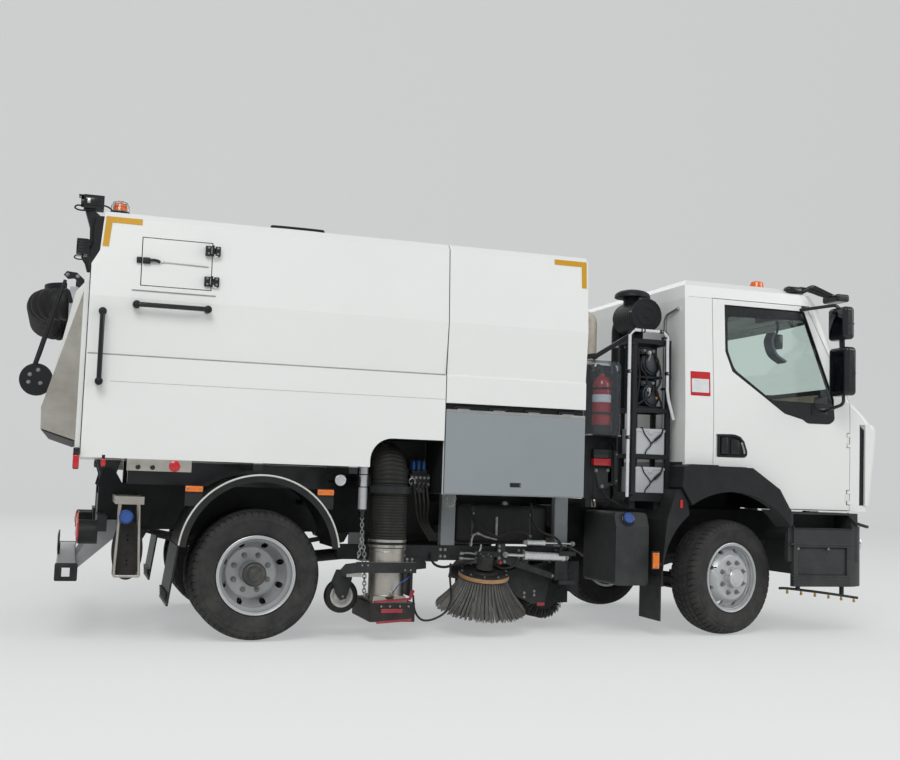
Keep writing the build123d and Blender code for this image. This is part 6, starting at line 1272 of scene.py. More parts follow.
# Housing: a black sheet as painted shade in the gap above each lifting flap, black sleeves over the
# hinges, the polished strip along the flap's top, the latch, a louvred vent on the roof, and the
# gasket behind the hopper's end.
flap_pin_z, flap_pin_y = 1.606, 1.222
flap_back, flap_front = -0.435, 0.615
first_hinge_x, hinge_pitch = -0.310, 0.265
flap_hinges = [first_hinge_x + hinge_pitch * step for step in range(4)]
for side, sign in both_sides:
    # Painted shade: a black sheet fills the gap above the flap.
    piece("flap_gap_painted_shade_" + side, "chassis", moulded_black,
          [block((flap_back, sign * 1.1975, 1.5935), (flap_front, sign * 1.2008, 1.6365), 0.001, 0)])
    piece("flap_hinge_eyes_" + side, "chassis", chassis_black,
          [sleeve(-0.0103, 0.0103, 0.0055, 0.0098, (x + dx, sign * flap_pin_y, flap_pin_z), to_front, 20)
           for x in flap_hinges for dx in (-0.055, 0.055)]
          + [block((x + dx - 0.0106, sign * 1.2005, 1.5982), (x + dx + 0.0106, sign * 1.2228, 1.6138),
                   0.001)
             for x in flap_hinges for dx in (-0.055, 0.055)])
    piece("flap_hinge_barrels_" + side, "flap_" + side, chassis_black,
          [sleeve(-0.0446, 0.0446, 0.0055, 0.0098, (x, sign * flap_pin_y, flap_pin_z), to_front, 20)
           for x in flap_hinges])
    piece("flap_top_strip_" + side, "flap_" + side, clamp_steel,
          [block((flap_back, sign * 1.2310, 1.5760), (flap_front, sign * 1.2345, 1.5925), 0.0012, 0)])
    piece("flap_latch_" + side, "flap_" + side, moulded_black,
          [block((0.052, sign * 1.2245, 1.0665), (0.124, sign * 1.2335, 1.0935), 0.004, 1),
           block((0.060, sign * 1.2330, 1.0760), (0.106, sign * 1.2370, 1.0850), 0.001, 1)])
piece("housing_roof_louvres", "chassis", body_white,
      [carried(np.array([[-0.022, 0.0], [0.022, 0.0], [0.012, 0.020], [-0.006, 0.026]]),
               [(x, -0.62, 2.758), (x, 0.62, 2.758)])
       for x in np.linspace(-0.30, -0.02, 5)])
piece("body_joint_gasket", "chassis", moulded_black,
      [on_wall(plate([(-0.4455, z0), (-0.4425, z0), (-0.4425, z1), (-0.4455, z1)], 1, -0.012, -0.004), sign)
       for sign in (-1, 1) for z0, z1 in ((1.64, 1.82), (1.82, 2.19), (2.19, 2.715))])


# Equipment tower: its bright bent rail with small black clamps, the sloping bar from the housing,
# and in the upper bays two finned dark blue pumps with brass plugs, silver fittings and hoses.
tower_front_y = -1.030
rail_white = finish("powder_coated_rail", "#d9dadb", "#c9cacb", 0.3, patch=0.15, grain_mm=2, relief_mm=0.05)
cast_blue = finish("painted_pump_casting", "#101a22", "#172029", 0.4, patch=0.08, grain_mm=3, relief_mm=0.2)
brass = finish("turned_brass", "#c9a35a", "#b08a45", 0.3, patch=0.03, grain_mm=1, Metallic=0.85)


def bent(points, bend, steps=7):
    """A path of straight runs whose corners are rounded: each is a curve from one run to the next."""
    points = np.asarray(points, float)
    path = [points[:1]]
    for before, corner, after in zip(points[:-2], points[1:-1], points[2:]):
        first, last = before - corner, after - corner
        a, b = (corner + bend * d / np.linalg.norm(d) for d in (first, last))
        t = np.linspace(0, 1, steps)[:, None]
        path.append((1 - t) ** 2 * a + 2 * t * (1 - t) * (0.28 * corner + 0.36 * (a + b)) + t ** 2 * b)
    return np.concatenate(path + [points[-1:]])


rail_corners = ((1.065, 1.019), (1.065, 2.280), (1.385, 2.280), (1.389, 1.800), (1.445, 1.612))
rail_path = bent([(x, tower_front_y, z) for x, z in rail_corners], 0.040)
piece("tower_rail", "chassis", rail_white, [tube(rail_path, 0.0122, 20)])
rail_clamps = [(1.065, 1.963), (1.065, 1.465), (1.3875, 1.962), (1.330, 2.280)]
thin_clamps = [(1.160, 2.280), (1.185, 2.280)]
piece("tower_rail_clamps", "chassis", gloss_black,
      [block((x - 0.017, tower_front_y - 0.016, z - 0.013), (x + 0.017, tower_front_y + 0.018, z + 0.013),
             0.005) for x, z in rail_clamps]
      + [block((x - 0.006, tower_front_y - 0.016, z - 0.016),
               (x + 0.006, tower_front_y + 0.016, z + 0.016), 0.005) for x, z in thin_clamps])
bolted("tower_rail_clamp_screws", "chassis", [(x, tower_front_y - 0.0165, z) for x, z in rail_clamps],
       to_right, 0.0065)
bar_section, bar_y = flat_bar(0.016, 0.016), -0.975
pump_x, pump_y, fitting_z = 1.262, -0.885, (2.118, 1.834)
piece("tower_sloping_bar", "chassis", chassis_black,
      [carried(bar_section, [(0.790, bar_y, 2.052), (1.115, bar_y, 2.258)]),
       carried(bar_section, [(0.805, bar_y, 2.046), (0.805, bar_y, 2.07), (0.805, -0.80, 2.075)])])
fins = np.linspace(-0.085, 0.085, 11)
fin_profile = np.array([(f + d, r) for f in fins
                        for d, r in ((-0.0045, 0.072), (-0.0025, 0.084), (0.0025, 0.084), (0.0045, 0.072))])
piece("tower_pumps", "chassis", cast_blue,
      [turned(np.concatenate([[(-0.105, 0.05), (-0.10, 0.07)], fin_profile,
                              [(0.10, 0.07), (0.105, 0.05)]]), centre, (0.25, -1, 0.1), 40)
       for centre in ((pump_x, pump_y, 2.030), (pump_x, pump_y, 1.785))]
      + [block((1.195, -0.965, z), (1.330, -0.800, z + 0.05), 0.012) for z in (2.105, 1.86)]
      + [block((1.150, -0.955, z), (1.385, -0.800, z + 0.02), 0.004) for z in (1.925, 1.695)])
piece("tower_back_panel", "chassis", cast_blue,
      [block((1.150, -0.795, 1.70), (1.388, -0.785, 2.180), 0.003, 1)])
piece("tower_brass_plugs", "chassis", brass,
      [turned([(0, 0.016), (0.012, 0.016), (0.014, 0.012), (0.022, 0.011), (0.024, 0.007)],
              (1.325, -0.958, z), to_right, 6) for z in (2.066, 1.776)])
piece("tower_fittings", "chassis", nut_steel,
      bolt_heads([(1.225, -0.966, 2.135), (1.30, -0.966, 2.135), (1.225, -0.966, 1.89),
                  (1.30, -0.966, 1.89)], to_right, 0.009)
      + [turned([(0, 0.013), (0.02, 0.013), (0.022, 0.018), (0.034, 0.018), (0.036, 0.012)],
                (1.249, -0.965, z), to_right, 6) for z in fitting_z]
      + [tube(smooth([(1.249, -1.000, z), (1.252, -1.004, z - 0.03), (1.24, -0.985, z - 0.07)], 5), 0.007,
              10) for z in fitting_z])
tower_hoses = [[(1.165, -0.98, 2.14), (1.16, -0.99, 2.05), (1.175, -0.985, 1.93), (1.16, -0.985, 1.80),
                (1.155, -0.985, 1.70), (1.158, -0.985, 1.36), (1.16, -0.98, 1.10), (1.15, -0.93, 0.99)],
               [(1.30, -0.985, 1.86), (1.27, -1.0, 1.80), (1.20, -0.99, 1.745), (1.165, -0.985, 1.72),
                (1.090, -0.985, 1.66), (1.092, -0.98, 1.32), (1.095, -0.97, 1.05), (1.09, -0.93, 0.98)],
               [(1.31, -0.985, 2.10), (1.345, -0.99, 2.0), (1.35, -0.985, 1.90), (1.32, -0.985, 1.83),
                (1.36, -0.98, 1.75), (1.375, -0.975, 1.69)],
               [(1.20, -0.985, 2.09), (1.18, -1.0, 2.0), (1.22, -0.995, 1.95), (1.24, -0.99, 1.87)]]
piece("tower_hoses", "chassis", hose_black, wires(tower_hoses, 0.0085))


# Pale boxes on the shelves: moulded polyethylene cases with a lid rim and a lid latch, each held by
# a crossed black bungee strap with its rubber sleeve.
box_high = 0.194
for name, low_z in (("lower", 1.054), ("upper", 1.344)):
    top = low_z + box_high
    piece(f"box_lid_rim_{name}", "chassis", pale_plastic,
          [block((1.1440, -1.0045, top - 0.026), (1.3930, -0.7520, top - 0.006), 0.004),
           block((1.25, -1.0075, top - 0.045), (1.285, -1.0030, top - 0.014), 0.002, 1)])
    thin = [(1.196, -1.008, top + 0.004), (1.214, -1.009, top - 0.04), (1.268, -1.010, low_z + 0.080),
            (1.232, -1.010, low_z + 0.030), (1.222, -1.008, low_z + 0.002)]
    thick = [(1.372, -1.008, top + 0.002), (1.350, -1.011, top - 0.045), (1.300, -1.0125, low_z + 0.106),
             (1.268, -1.010, low_z + 0.080)]
    hooks = [tube([(x, -1.008, top + up_by), (x, -0.98, top + up_by + 0.002)], 0.0046, 8)
             for x, up_by in ((1.196, 0.004), (1.372, 0.002))]
    piece(f"box_bungee_{name}", "chassis", moulded_black,
          [tube(smooth(thin, 6), 0.0046, 8), tube(smooth(thick, 6), 0.0062, 8),
           tube(thick[1:3], 0.0105, 12)] + hooks)


# Extinguisher under its clear dome: a red enamelled steel bottle with a black foot ring, valve and
# lever, in a bent smoky acrylic case with a pale rolled rim, on a black stand.
glass_index = 1.5


def clear(name, tint, share, roughness=0.03):
    """Thin clear sheet: plain glass gloss over a transparent body of that tint, dense by its share.

    Seen from inside, Cycles turns the index over, so it is turned back there.
    """
    material, tree, out = blank(name)
    through = add(tree, "BsdfTransparent", {"Color": linear(tint)})
    place = add(tree, "TexCoord").outputs["Object"]
    smear = add(tree, "TexNoise", {"Vector": place, "Scale": 5.0, "Detail": 5.0, "Roughness": 0.6})
    gloss = add(tree, "MapRange",
                {"Value": smear.outputs[0], "To Min": roughness, "To Max": roughness + 0.06})
    face = add(tree, "BsdfGlossy", {"Color": linear("#f2f5f6"), "Roughness": gloss.outputs[0]})
    film = add(tree, "BsdfDiffuse", {"Color": linear(tint)})
    behind = add(tree, "NewGeometry").outputs["Backfacing"]
    density = add(tree, "MapRange", {"Value": behind, "To Min": glass_index, "To Max": 1 / glass_index})
    fresnel = add(tree, "Fresnel", {"IOR": density.outputs[0]})
    mixed = add(tree, "MixShader", {0: share, 1: through.outputs[0], 2: film.outputs[0]})
    shell = add(tree, "MixShader", {0: fresnel.outputs[0], 1: mixed.outputs[0], 2: face.outputs[0]})
    tree.links.new(shell.outputs[0], out.inputs["Surface"])
    return material


smoky = clear("bent_smoky_acrylic", "#eef1f4", 0.008)
bottle_red = finish("red_bottle_enamel", "#b3141c", "#a01219", 0.22, patch=0.2, grain_mm=20,
                    relief_mm=0.05, **{"Coat Weight": 0.5})
case_x, case_z = (0.762, 1.033), (1.475, 2.043)
case_front, case_back = -1.008, -0.802
case_bend = 0.05
bend_z = case_z[1] - case_bend
arch = np.array([(case_x[0], case_z[0]), (case_x[0], bend_z)]
                + [(case_x[0] + case_bend - case_bend * cos(t), bend_z + case_bend * sin(t))
                   for t in np.linspace(0.2, pi / 2, 6)]
                + [(case_x[1] - case_bend + case_bend * sin(t), bend_z + case_bend * cos(t))
                   for t in np.linspace(0, pi / 2 - 0.2, 6)]
                + [(case_x[1], bend_z), (case_x[1], case_z[0])])
depth_share = np.array([(0.0, 0.0), (0.6, 0.0), (0.86, 0.010), (0.96, 0.028), (1.0, 0.060)])
case_middle, case_reach = np.array([sum(case_x) / 2, case_z[0]]), np.array([0.1355, 0.568])
shell_rows = []
for share, pull in depth_share:
    inward = (case_middle - arch) / case_reach
    row = arch + pull * np.sign(inward) * np.minimum(np.abs(inward), 1) * np.array([1.0, 0.8])
    shell_rows.append(np.stack([row[:, 0], np.full(len(row), case_back + share * (case_front - case_back)),
                                row[:, 1]], -1))
shell_rows = np.array(shell_rows)
face_rows = np.stack([shell_rows[-1] * (1 - t)
                      + t * (shell_rows[-1] * (0, 1, 0) + (case_middle[0], 0, 1.72))
                      for t in np.linspace(0.02, 1, 5)])
outer = np.concatenate([shell_rows, face_rows])
inner = outer[::-1] * 0.985 + 0.015 * np.array([case_middle[0], case_back, 1.76])
closed = np.concatenate([outer, inner])
piece("extinguisher_dome", "chassis", smoky,
      [(closed, [grid(len(closed), closed.shape[1], True, True)])], sharp=50)
piece("extinguisher_dome_rim", "chassis", seam_and_shade_grey,
      [tube(np.stack([arch[:, 0], np.full(len(arch), case_back), arch[:, 1]], -1), 0.0055, 8),
       block((case_x[0], case_front + 0.03, case_z[0] - 0.006), (case_x[1], case_back, case_z[0] + 0.004),
             0.003)])
piece("extinguisher_stand", "chassis", chassis_black,
      [block((0.798, -0.850, 0.990), (1.015, -0.802, 1.510), 0.004),
       block((0.810, -0.850, 0.930), (0.860, -0.370, 0.992), 0.004),
       block((0.766, -0.806, 1.476), (1.029, -0.795, 2.02), 0.006, 1),
       block((0.795, -0.995, 1.468), (1.00, -0.802, 1.482), 0.004)],
      replaced=("extinguisher_cabinet",))
bottle = [(0.0, 0.068), (0.006, 0.0715), (0.335, 0.0715), (0.372, 0.063), (0.396, 0.042), (0.408, 0.022),
          (0.425, 0.020), (0.426, 0.004)]
bottle_foot = np.array([0.905, -0.895, 1.520])
piece("extinguisher_bottle", "chassis", bottle_red,
      [turned(bottle, bottle_foot, up, 48)])
piece("extinguisher_band", "chassis", tape_white,
      [sleeve(0.205, 0.262, 0.0714, 0.0722, bottle_foot, up, 48)])
piece("extinguisher_fittings", "chassis", gloss_black,
      [turned([(-0.038, 0.066), (-0.036, 0.0745), (0.030, 0.0745), (0.032, 0.0722)], bottle_foot, up, 48),
       turned([(0.42, 0.017), (0.470, 0.017), (0.474, 0.010)], bottle_foot, up, 20),
       carried(flat_bar(0.011, 0.005),
               [(0.915, -0.895, 1.975), (0.86, -0.90, 1.985), (0.815, -0.905, 1.965)]),
       carried(flat_bar(0.010, 0.004),
               [(0.915, -0.895, 1.995), (0.855, -0.90, 2.008), (0.805, -0.905, 1.998)]),
       tube(smooth([(0.925, -0.895, 1.965), (0.975, -0.90, 1.950), (0.990, -0.905, 1.87),
                    (0.985, -0.90, 1.70), (0.978, -0.90, 1.58)], 8), 0.0075, 10)]
      + [sleeve(a, a + 0.018, 0.0722, 0.0765, bottle_foot, up, 40) for a in (0.110, 0.300)])


# Control gear on the stand: a small switch box with a red lower half, a grey valve box, and a black
# gusset plate with three bright bolts.
piece("stand_switch_box", "chassis", gloss_black,
      [block((0.846, -0.905, 1.302), (0.992, -0.852, 1.372), 0.006)])
piece("stand_switch_base", "chassis", bottle_red,
      [block((0.848, -0.903, 1.246), (0.990, -0.852, 1.300), 0.005)])
piece("stand_valve_box", "chassis", bumper_grey,
      [block((1.020, -0.905, 1.110), (1.052, -0.790, 1.362), 0.004),
       block((0.985, -0.862, 1.12), (1.03, -0.85, 1.35), 0.002),
       plate([(0.870, 1.232), (1.015, 1.232), (1.015, 1.10), (0.960, 1.070), (0.915, 1.070)], 1, -0.862,
             -0.850)])
piece("stand_bolts", "chassis", nut_steel,
      bolt_heads([(0.887, -0.8625, 1.210), (0.985, -0.8625, 1.213), (0.939, -0.8625, 1.092)], to_right,
                 0.011)
      + bolt_heads([(1.036, -0.9055, z) for z in (1.135, 1.335)], to_right, 0.006))
stand_loops = [[(0.90, -0.88, 1.372), (0.905, -0.90, 1.41), (0.96, -0.90, 1.43), (1.02, -0.88, 1.41),
                (1.036, -0.87, 1.365)],
               [(0.86, -0.88, 1.246), (0.852, -0.90, 1.18), (0.845, -0.90, 1.08), (0.86, -0.87, 1.00),
                (0.90, -0.80, 0.94)],
               [(1.036, -0.86, 1.11), (1.04, -0.87, 1.05), (1.02, -0.86, 0.98), (0.98, -0.80, 0.93)],
               [(0.94, -0.87, 1.07), (0.96, -0.91, 1.01), (1.04, -0.95, 0.96), (1.11, -0.96, 0.93)]]
piece("stand_wires", "chassis", hose_black, wires(stand_loops, 0.0055, 8))


# Air cleaner: a ribbed black drum with a dished end cover and spring clips, a domed rain cap on its
# louvred neck, and band clamps on the duct; beside it the pale lagged pipe.
cleaner = np.array([1.245, -0.780, 2.415])
rib_pitch = 0.030
ribs = [(a + rib_pitch * k, r) for k in range(10)
        for a, r in ((-0.160, 0.1268), (-0.154, 0.1285), (-0.148, 0.1268))]
cover = [(0.150, 0.127), (0.152, 0.1305), (0.166, 0.1305), (0.1695, 0.126), (0.1690, 0.112),
         (0.1655, 0.109), (0.1655, 0.082), (0.1690, 0.079), (0.1690, 0.056), (0.1655, 0.053),
         (0.1655, 0.028), (0.1700, 0.024), (0.1700, 0.003)]
piece("air_cleaner_shell", "chassis", moulded_black,
      [turned([(-0.1665, 0.02), (-0.1665, 0.118), (-0.163, 0.1268)] + ribs + cover, cleaner, to_right, 64)])
clip_spokes = around((0, -1.0, 0), 6, 0.4)
piece("air_cleaner_clips", "chassis", clamp_steel,
      [tube([cleaner + out * spoke + (0, y, 0)
             for out, y in ((0.1325, -0.135), (0.1395, -0.150), (0.1335, -0.1665))],
            0.0035, 8) for spoke in clip_spokes])
piece("air_rain_cap", "chassis", moulded_black,
      [turned([(-0.020, 0.10), (-0.0195, 0.1365), (-0.017, 0.1395), (0.002, 0.1375), (0.018, 0.126),
               (0.032, 0.101), (0.041, 0.066), (0.0445, 0.030), (0.045, 0.003)],
              (1.210, -0.770, 2.585), up, 64)]
      + [turned([(0, 0.0635), (0.001, 0.071), (0.004, 0.071), (0.006, 0.0635)], (1.210, -0.770, z), up, 48,
                ring=True) for z in (2.515, 2.528, 2.541, 2.554)])
piece("air_duct_clamps", "chassis", clamp_steel,
      [sleeve(0, 0.016, 0.0605, 0.0625, (1.245, -0.480, z), up, 48) for z in (1.10, 2.20)])
lagging = finish("woven_glass_lagging", "#ddd5c6", "#c9bfad", 0.75, patch=0.05, grain_mm=2, relief_mm=0.4)
dress(lagging, "exhaust_pipe")


# Tanks: the blue reductant cap in its collar, the fuel tank's black cap, the amber marker on its stay
# in front of the wheel's flap, and a red marker on the wing.
cap_axis = np.array([0, -sin(radians(67)), cos(radians(67))])
cap_foot = np.array([1.038, -1.085, 0.850]) + 0.0285 * cap_axis
piece("reductant_cap", "chassis", blue_cap,
      [turned([(0, 0.040), (0.014, 0.040), (0.019, 0.037), (0.020, 0.030), (0.017, 0.028), (0.017, 0.003)],
              cap_foot, cap_axis, 48)]
      + [repeated(turned([(0.001, 0.0035), (0.015, 0.0035), (0.017, 0.002)], origin, cap_axis, 8), cap_foot
                  + 0.040 * around(cap_axis, 18)),
         carried(np.array([[-0.005, 0], [0.005, 0], [0.004, 0.008], [-0.004, 0.008]]),
                 [cap_foot + 0.017 * cap_axis + (dx, 0, 0) for dx in (-0.027, 0.027)])])
piece("reductant_collar", "chassis", gloss_black,
      [bead_ring(cap_foot, cap_axis, 0.002, 0.0495, 0.0035, 64)])
piece("fuel_cap", "chassis", gloss_black,
      [turned([(0, 0.046), (0.016, 0.046), (0.020, 0.042), (0.021, 0.02)], (-0.05, 0.78, 0.898), up, 40)])
for side, sign in both_sides:
    piece("front_marker_" + side, "chassis", orange_lens,
          [block((1.196, sign * 1.1985, 0.502), (1.250, sign * 1.2105, 0.618), 0.008, 1)])
    piece("front_marker_stay_" + side, "chassis", chassis_black,
          [block((1.190, sign * 1.1945, 0.494), (1.256, sign * 1.1990, 0.628), 0.003, 1),
           block((1.222, sign * 1.1880, 0.52), (1.292, sign * 1.1950, 0.545), 0.002, 1)])
    bolted("front_marker_screws_" + side, "chassis", [(1.223, sign * 1.2105, z) for z in (0.514, 0.606)],
           (0, sign, 0), 0.0045)
    piece("wing_marker_" + side, "chassis", red_lens,
          [block((1.414, sign * 1.2035, 0.950), (1.436, sign * 1.2110, 1.010), 0.004, 1)])


# Cab glass: tinted safety glass in black rubber, with a fired black border, a gloss black panel over
# the window's dip, where the mirror's foot is bolted, the mirrors' silvered glass, and the wipers.
# The tables give the cab's side, its front, and how far the front is bowed, over the height.
cab_z = [0.954, 1.514, 1.614, 1.714, 1.834, 2.554, 2.654, 2.702]
cab_y = [1.133, 1.140, 1.140, 1.138, 1.134, 1.096, 1.076, 1.010]
cab_front = 3.255 - np.array([0.066, 0.020, 0.018, 0.086, 0.205, 0.440, 0.500, 0.640])
cab_bow = [0.030, 0.018, 0.018, 0.026, 0.040, 0.070, 0.070, 0.060]
cab_flat = [1.023, 1.040, 1.040, 1.028, 1.014, 0.946, 0.916, 0.850]
tinted = clear("tinted_safety_glass", "#f8fdfb", 0.006)
dress(tinted, "window_right", "window_left", "windscreen")
mirror_dark = finish("silvered_mirror_glass", "#3a4047", "#343a41", 0.04, grain_mm=60, relief_mm=0.0,
                     spread=0.01, Metallic=1.0)


def on_cab(part, sign=-1):
    """A part drawn with y as its height off the cab's side, sheared on to it: y = sign (side(z) + y)."""
    points = np.array(part[0], float).reshape(-1, 3)
    points[:, 1] = sign * (np.interp(points[:, 2], cab_z, cab_y) + points[:, 1])
    return points, part[1]


def on_front(part):
    """A part drawn with x as its height off the cab's front, x = front(z) - bow(z) (y / flat(z))^2 + x."""
    points = np.array(part[0], float).reshape(-1, 3)
    front, bow, flat = (np.interp(points[:, 2], cab_z, table) for table in (cab_front, cab_bow, cab_flat))
    points[:, 0] += front - bow * (points[:, 1] / flat) ** 2
    return points, part[1]


def rounded(outline, bend, steps=5):
    """A closed outline with each corner replaced by a curve that starts and ends a bend away from it."""
    p = np.asarray(outline, float)
    ways = [np.roll(p, 1, 0) - p, np.roll(p, -1, 0) - p]
    a, b = (p + bend * way / np.linalg.norm(way, axis=1, keepdims=True) for way in ways)
    t = np.linspace(0, 1, steps)[None, :, None]
    return ((1 - t) ** 2 * a[:, None] + 2 * t * (1 - t) * p[:, None] + t ** 2 * b[:, None]).reshape(-1, 2)


def border(outer, inner, axis, low, high, runs=1):
    """The flat ring between two outlines with as many points each, in a plane square to an axis."""
    share = np.linspace(0, 1, runs + 1)[:, None, None]
    flat = np.asarray(outer) * (1 - share) + np.asarray(inner) * share
    flat = np.concatenate([flat, flat[::-1]])
    points = np.empty((len(flat), flat.shape[1], 3))
    points[..., [a for a in range(3) if a != axis]] = flat
    points[..., axis] = np.repeat([high, low], runs + 1)[:, None]
    return points, [grid(len(flat), flat.shape[1], True, True)]


def spaced(outline, count):
    """Points at equal steps along a closed outline."""
    p = np.concatenate([outline, outline[:1]])
    length = np.concatenate([[0], np.cumsum(np.linalg.norm(np.diff(p, axis=0), axis=1))])
    at = np.linspace(0, length[-1], count, endpoint=False)
    return np.stack([np.interp(at, length, p[:, k]) for k in range(p.shape[1])], -1)


window = [(1.8355, 2.5215), (2.5545, 2.5215), (2.8095, 1.834), (2.8095, 1.7545), (2.545, 1.6545),
          (2.355, 1.6995), (1.8955, 2.0025), (1.8355, 2.154)]
clear_part = [(1.868, 2.432), (2.556, 2.448), (2.774, 1.842), (2.772, 1.794), (2.545, 1.790),
              (2.262, 1.792), (1.924, 2.020), (1.866, 2.162)]
foot_panel = [(2.215, 1.7985), (2.500, 1.797), (2.806, 1.792), (2.812, 1.668), (2.765, 1.634),
              (2.562, 1.632), (2.495, 1.676), (2.352, 1.7015)]
seal_ring = spaced(rounded(window, 0.02), 120)
seal_path = np.stack([seal_ring[:, 0], np.full(120, -0.0075), seal_ring[:, 1]], -1)
mirror_y = 1.330
for side, sign in both_sides:
    body = "door_" + side
    piece("window_border_" + side, body, gloss_black,
          [on_cab(border(rounded(window, 0.012), rounded(clear_part, 0.035), 1, -0.0142, -0.0128, 2),
                  sign)])
    piece("window_seal_" + side, body, moulded_black,
          [on_cab(tube_ring(seal_path, 0.0062, 8), sign)])
    piece("mirror_foot_panel_" + side, body, gloss_black,
          [on_cab(plate(rounded(foot_panel, 0.022), 1, -0.0130, 0.0030), sign),
           on_cab(block((2.60, -0.002, 1.700), (2.74, 0.012, 1.760), 0.008, 1), sign),
           on_cab(block((2.53, -0.004, 2.536), (2.60, 0.010, 2.566), 0.006, 1), sign)])
    piece("mirror_glass_" + side, body, mirror_dark,
          [block((x - 0.0012, sign * (mirror_y - wide), low), (x + 0.002, sign * (mirror_y + wide), high),
                 0.001, 0)
           for x, wide, low, high in ((2.680, 0.078, 2.311, 2.502), (2.692, 0.083, 1.878, 2.190))])
    piece("mirror_bodies_trim_" + side, body, moulded_black,
          [block((x, sign * (mirror_y - wide), z - 0.004),
                 (x + 0.070, sign * (mirror_y + wide), z + 0.004), 0.003)
           for x, wide, z in ((2.700, 0.1105, 2.400), (2.712, 0.1149, 2.020))]
          + [tube([(2.742, sign * mirror_y, 2.215), (2.738, sign * mirror_y, 2.285)], 0.020, 20)])
screen_outer = spaced(np.array([(-0.9995, 1.8595), (0.9995, 1.8595), (0.9515, 2.5235), (-0.9515, 2.5235)]),
                      160)
screen_inner = spaced(rounded(np.array([(-0.945, 1.945), (0.945, 1.945), (0.902, 2.470), (-0.902, 2.470)]),
                              0.05), 160)
piece("windscreen_border", "cab", gloss_black,
      [on_front(border(screen_outer, screen_inner, 0, -0.0145, -0.0125, 2))])
piece("windscreen_seal", "cab", moulded_black,
      [on_front(tube_ring(np.stack([np.full(160, -0.007), screen_outer[:, 0], screen_outer[:, 1]], -1),
                          0.007, 8))])
pivot_z, blade_z, blade_slope = 1.842, 1.905, 0.06
for name, pivot_y in (("right", -0.62), ("left", 0.18)):
    blade_y = np.linspace(pivot_y + 0.08, pivot_y + 0.74, 14)
    blade = np.stack([np.full(14, -0.002), blade_y, blade_z + blade_slope * (blade_y - pivot_y)], -1)
    arm = smooth([(0.012, pivot_y, pivot_z), (0.022, pivot_y + 0.10, 1.875),
                  (0.022, pivot_y + 0.40, 1.930)], 6)
    piece("wiper_" + name, "cab", gloss_black,
          [on_front(carried(flat_bar(0.004, 0.009), blade)),
           on_front(tube(arm, 0.0075, 10)),
           on_front(turned([(-0.012, 0.022), (0.018, 0.022), (0.024, 0.014), (0.025, 0.004)],
                           (0.0, pivot_y, pivot_z), to_front, 24))])


# Door handles and cab trim: a black moulded tray sunk in the door with an upright pull, the roof's
# marker lamps, amber beacons and panel joint, a blank red-framed plate, and a pipe up the back.
tray = [(1.776, 1.343), (2.008, 1.345), (2.027, 1.360), (2.029, 1.392), (2.001, 1.467), (1.969, 1.502),
        (1.924, 1.517), (1.776, 1.514)]
tray_in = [(1.787, 1.356), (1.990, 1.357), (2.008, 1.368), (2.010, 1.390), (1.987, 1.455), (1.960, 1.487),
           (1.920, 1.502), (1.787, 1.500)]
roof_black = finish("moulded_gloss_marker_black", "#101113", "#16171a", 0.14, patch=0.2, grain_mm=20,
                    relief_mm=0.02)
handle_shift = np.array([-0.004, 0.0])
roof_beacon_x, roof_beacon_y = 2.375, 0.700
for side, sign in both_sides:
    body = "door_" + side
    piece("handle_tray_" + side, body, moulded_black,
          [on_cab(border(rounded(np.array(tray) + handle_shift, 0.010),
                         rounded(np.array(tray_in) + handle_shift, 0.008), 1, -0.0195, 0.0015), sign),
           on_cab(plate(rounded(np.array(tray_in) + handle_shift, 0.008), 1, -0.0205, -0.0185), sign)])
    piece("handle_pull_" + side, body, gloss_black,
          [on_cab(block((1.800, -0.0185, 1.362), (1.862, -0.001, 1.496), 0.010, 1), sign),
           on_cab(block((1.888, -0.0185, 1.364), (1.965, -0.009, 1.484), 0.008, 1), sign)])
    piece("roof_marker_" + side, "cab", roof_black,
          [block((2.415, sign * 1.000, 2.660), (2.565, sign * 1.082, 2.722), 0.026, 0)])
    piece("roof_beacon_" + side, "cab", beacon_amber,
          [turned([(-0.006, 0.056), (0.012, 0.058), (0.078, 0.056), (0.094, 0.050), (0.102, 0.034),
                   (0.104, 0.003)], (roof_beacon_x, sign * roof_beacon_y, 2.706), up, 40)])
    piece("roof_beacon_foot_" + side, "cab", gloss_black,
          [turned([(-0.010, 0.066), (0.006, 0.066), (0.012, 0.060), (0.012, 0.04)],
                  (roof_beacon_x, sign * roof_beacon_y, 2.702), up, 40)])
    piece("cab_panel_joint_" + side, "cab", seam_and_shade_grey,
          [on_cab(plate([(1.525, 2.5605), (1.724, 2.5605), (1.724, 2.5635), (1.525, 2.5635)], 1, -0.002,
                        0.0004), sign)])
plate_outer = [(1.530, 1.800), (1.700, 1.800), (1.700, 1.985), (1.530, 1.985)]
plate_inner = [(1.541, 1.826), (1.689, 1.826), (1.689, 1.930), (1.541, 1.930)]
piece("blank_side_plate_frame", "cab", red_lens,
      [on_cab(border(rounded(plate_outer, 0.006), rounded(plate_inner, 0.003), 1, -0.001, 0.0012))])
piece("kerb_mirror_cowl", "cab", roof_black,
      [tube(smooth([(2.540, -1.050, 2.714), (2.640, -1.090, 2.694), (2.720, -1.130, 2.664),
                    (2.800, -1.172, 2.622)], 6),
            np.interp(np.linspace(0, 1, 19), [0, 0.5, 0.8, 1], [0.013, 0.026, 0.024, 0.014]), 18)])
piece("blank_side_plate", "cab", tape_white,
      [on_cab(plate(plate_inner, 1, -0.001, 0.0008))])
piece("cab_back_pipe", "cab", mill_aluminium,
      [tube(bent([(1.478, -1.020, 2.478), (1.466, -0.835, 2.440), (1.466, -0.824, 1.320),
                  (1.478, -0.824, 1.290)], 0.04), 0.012, 14)])
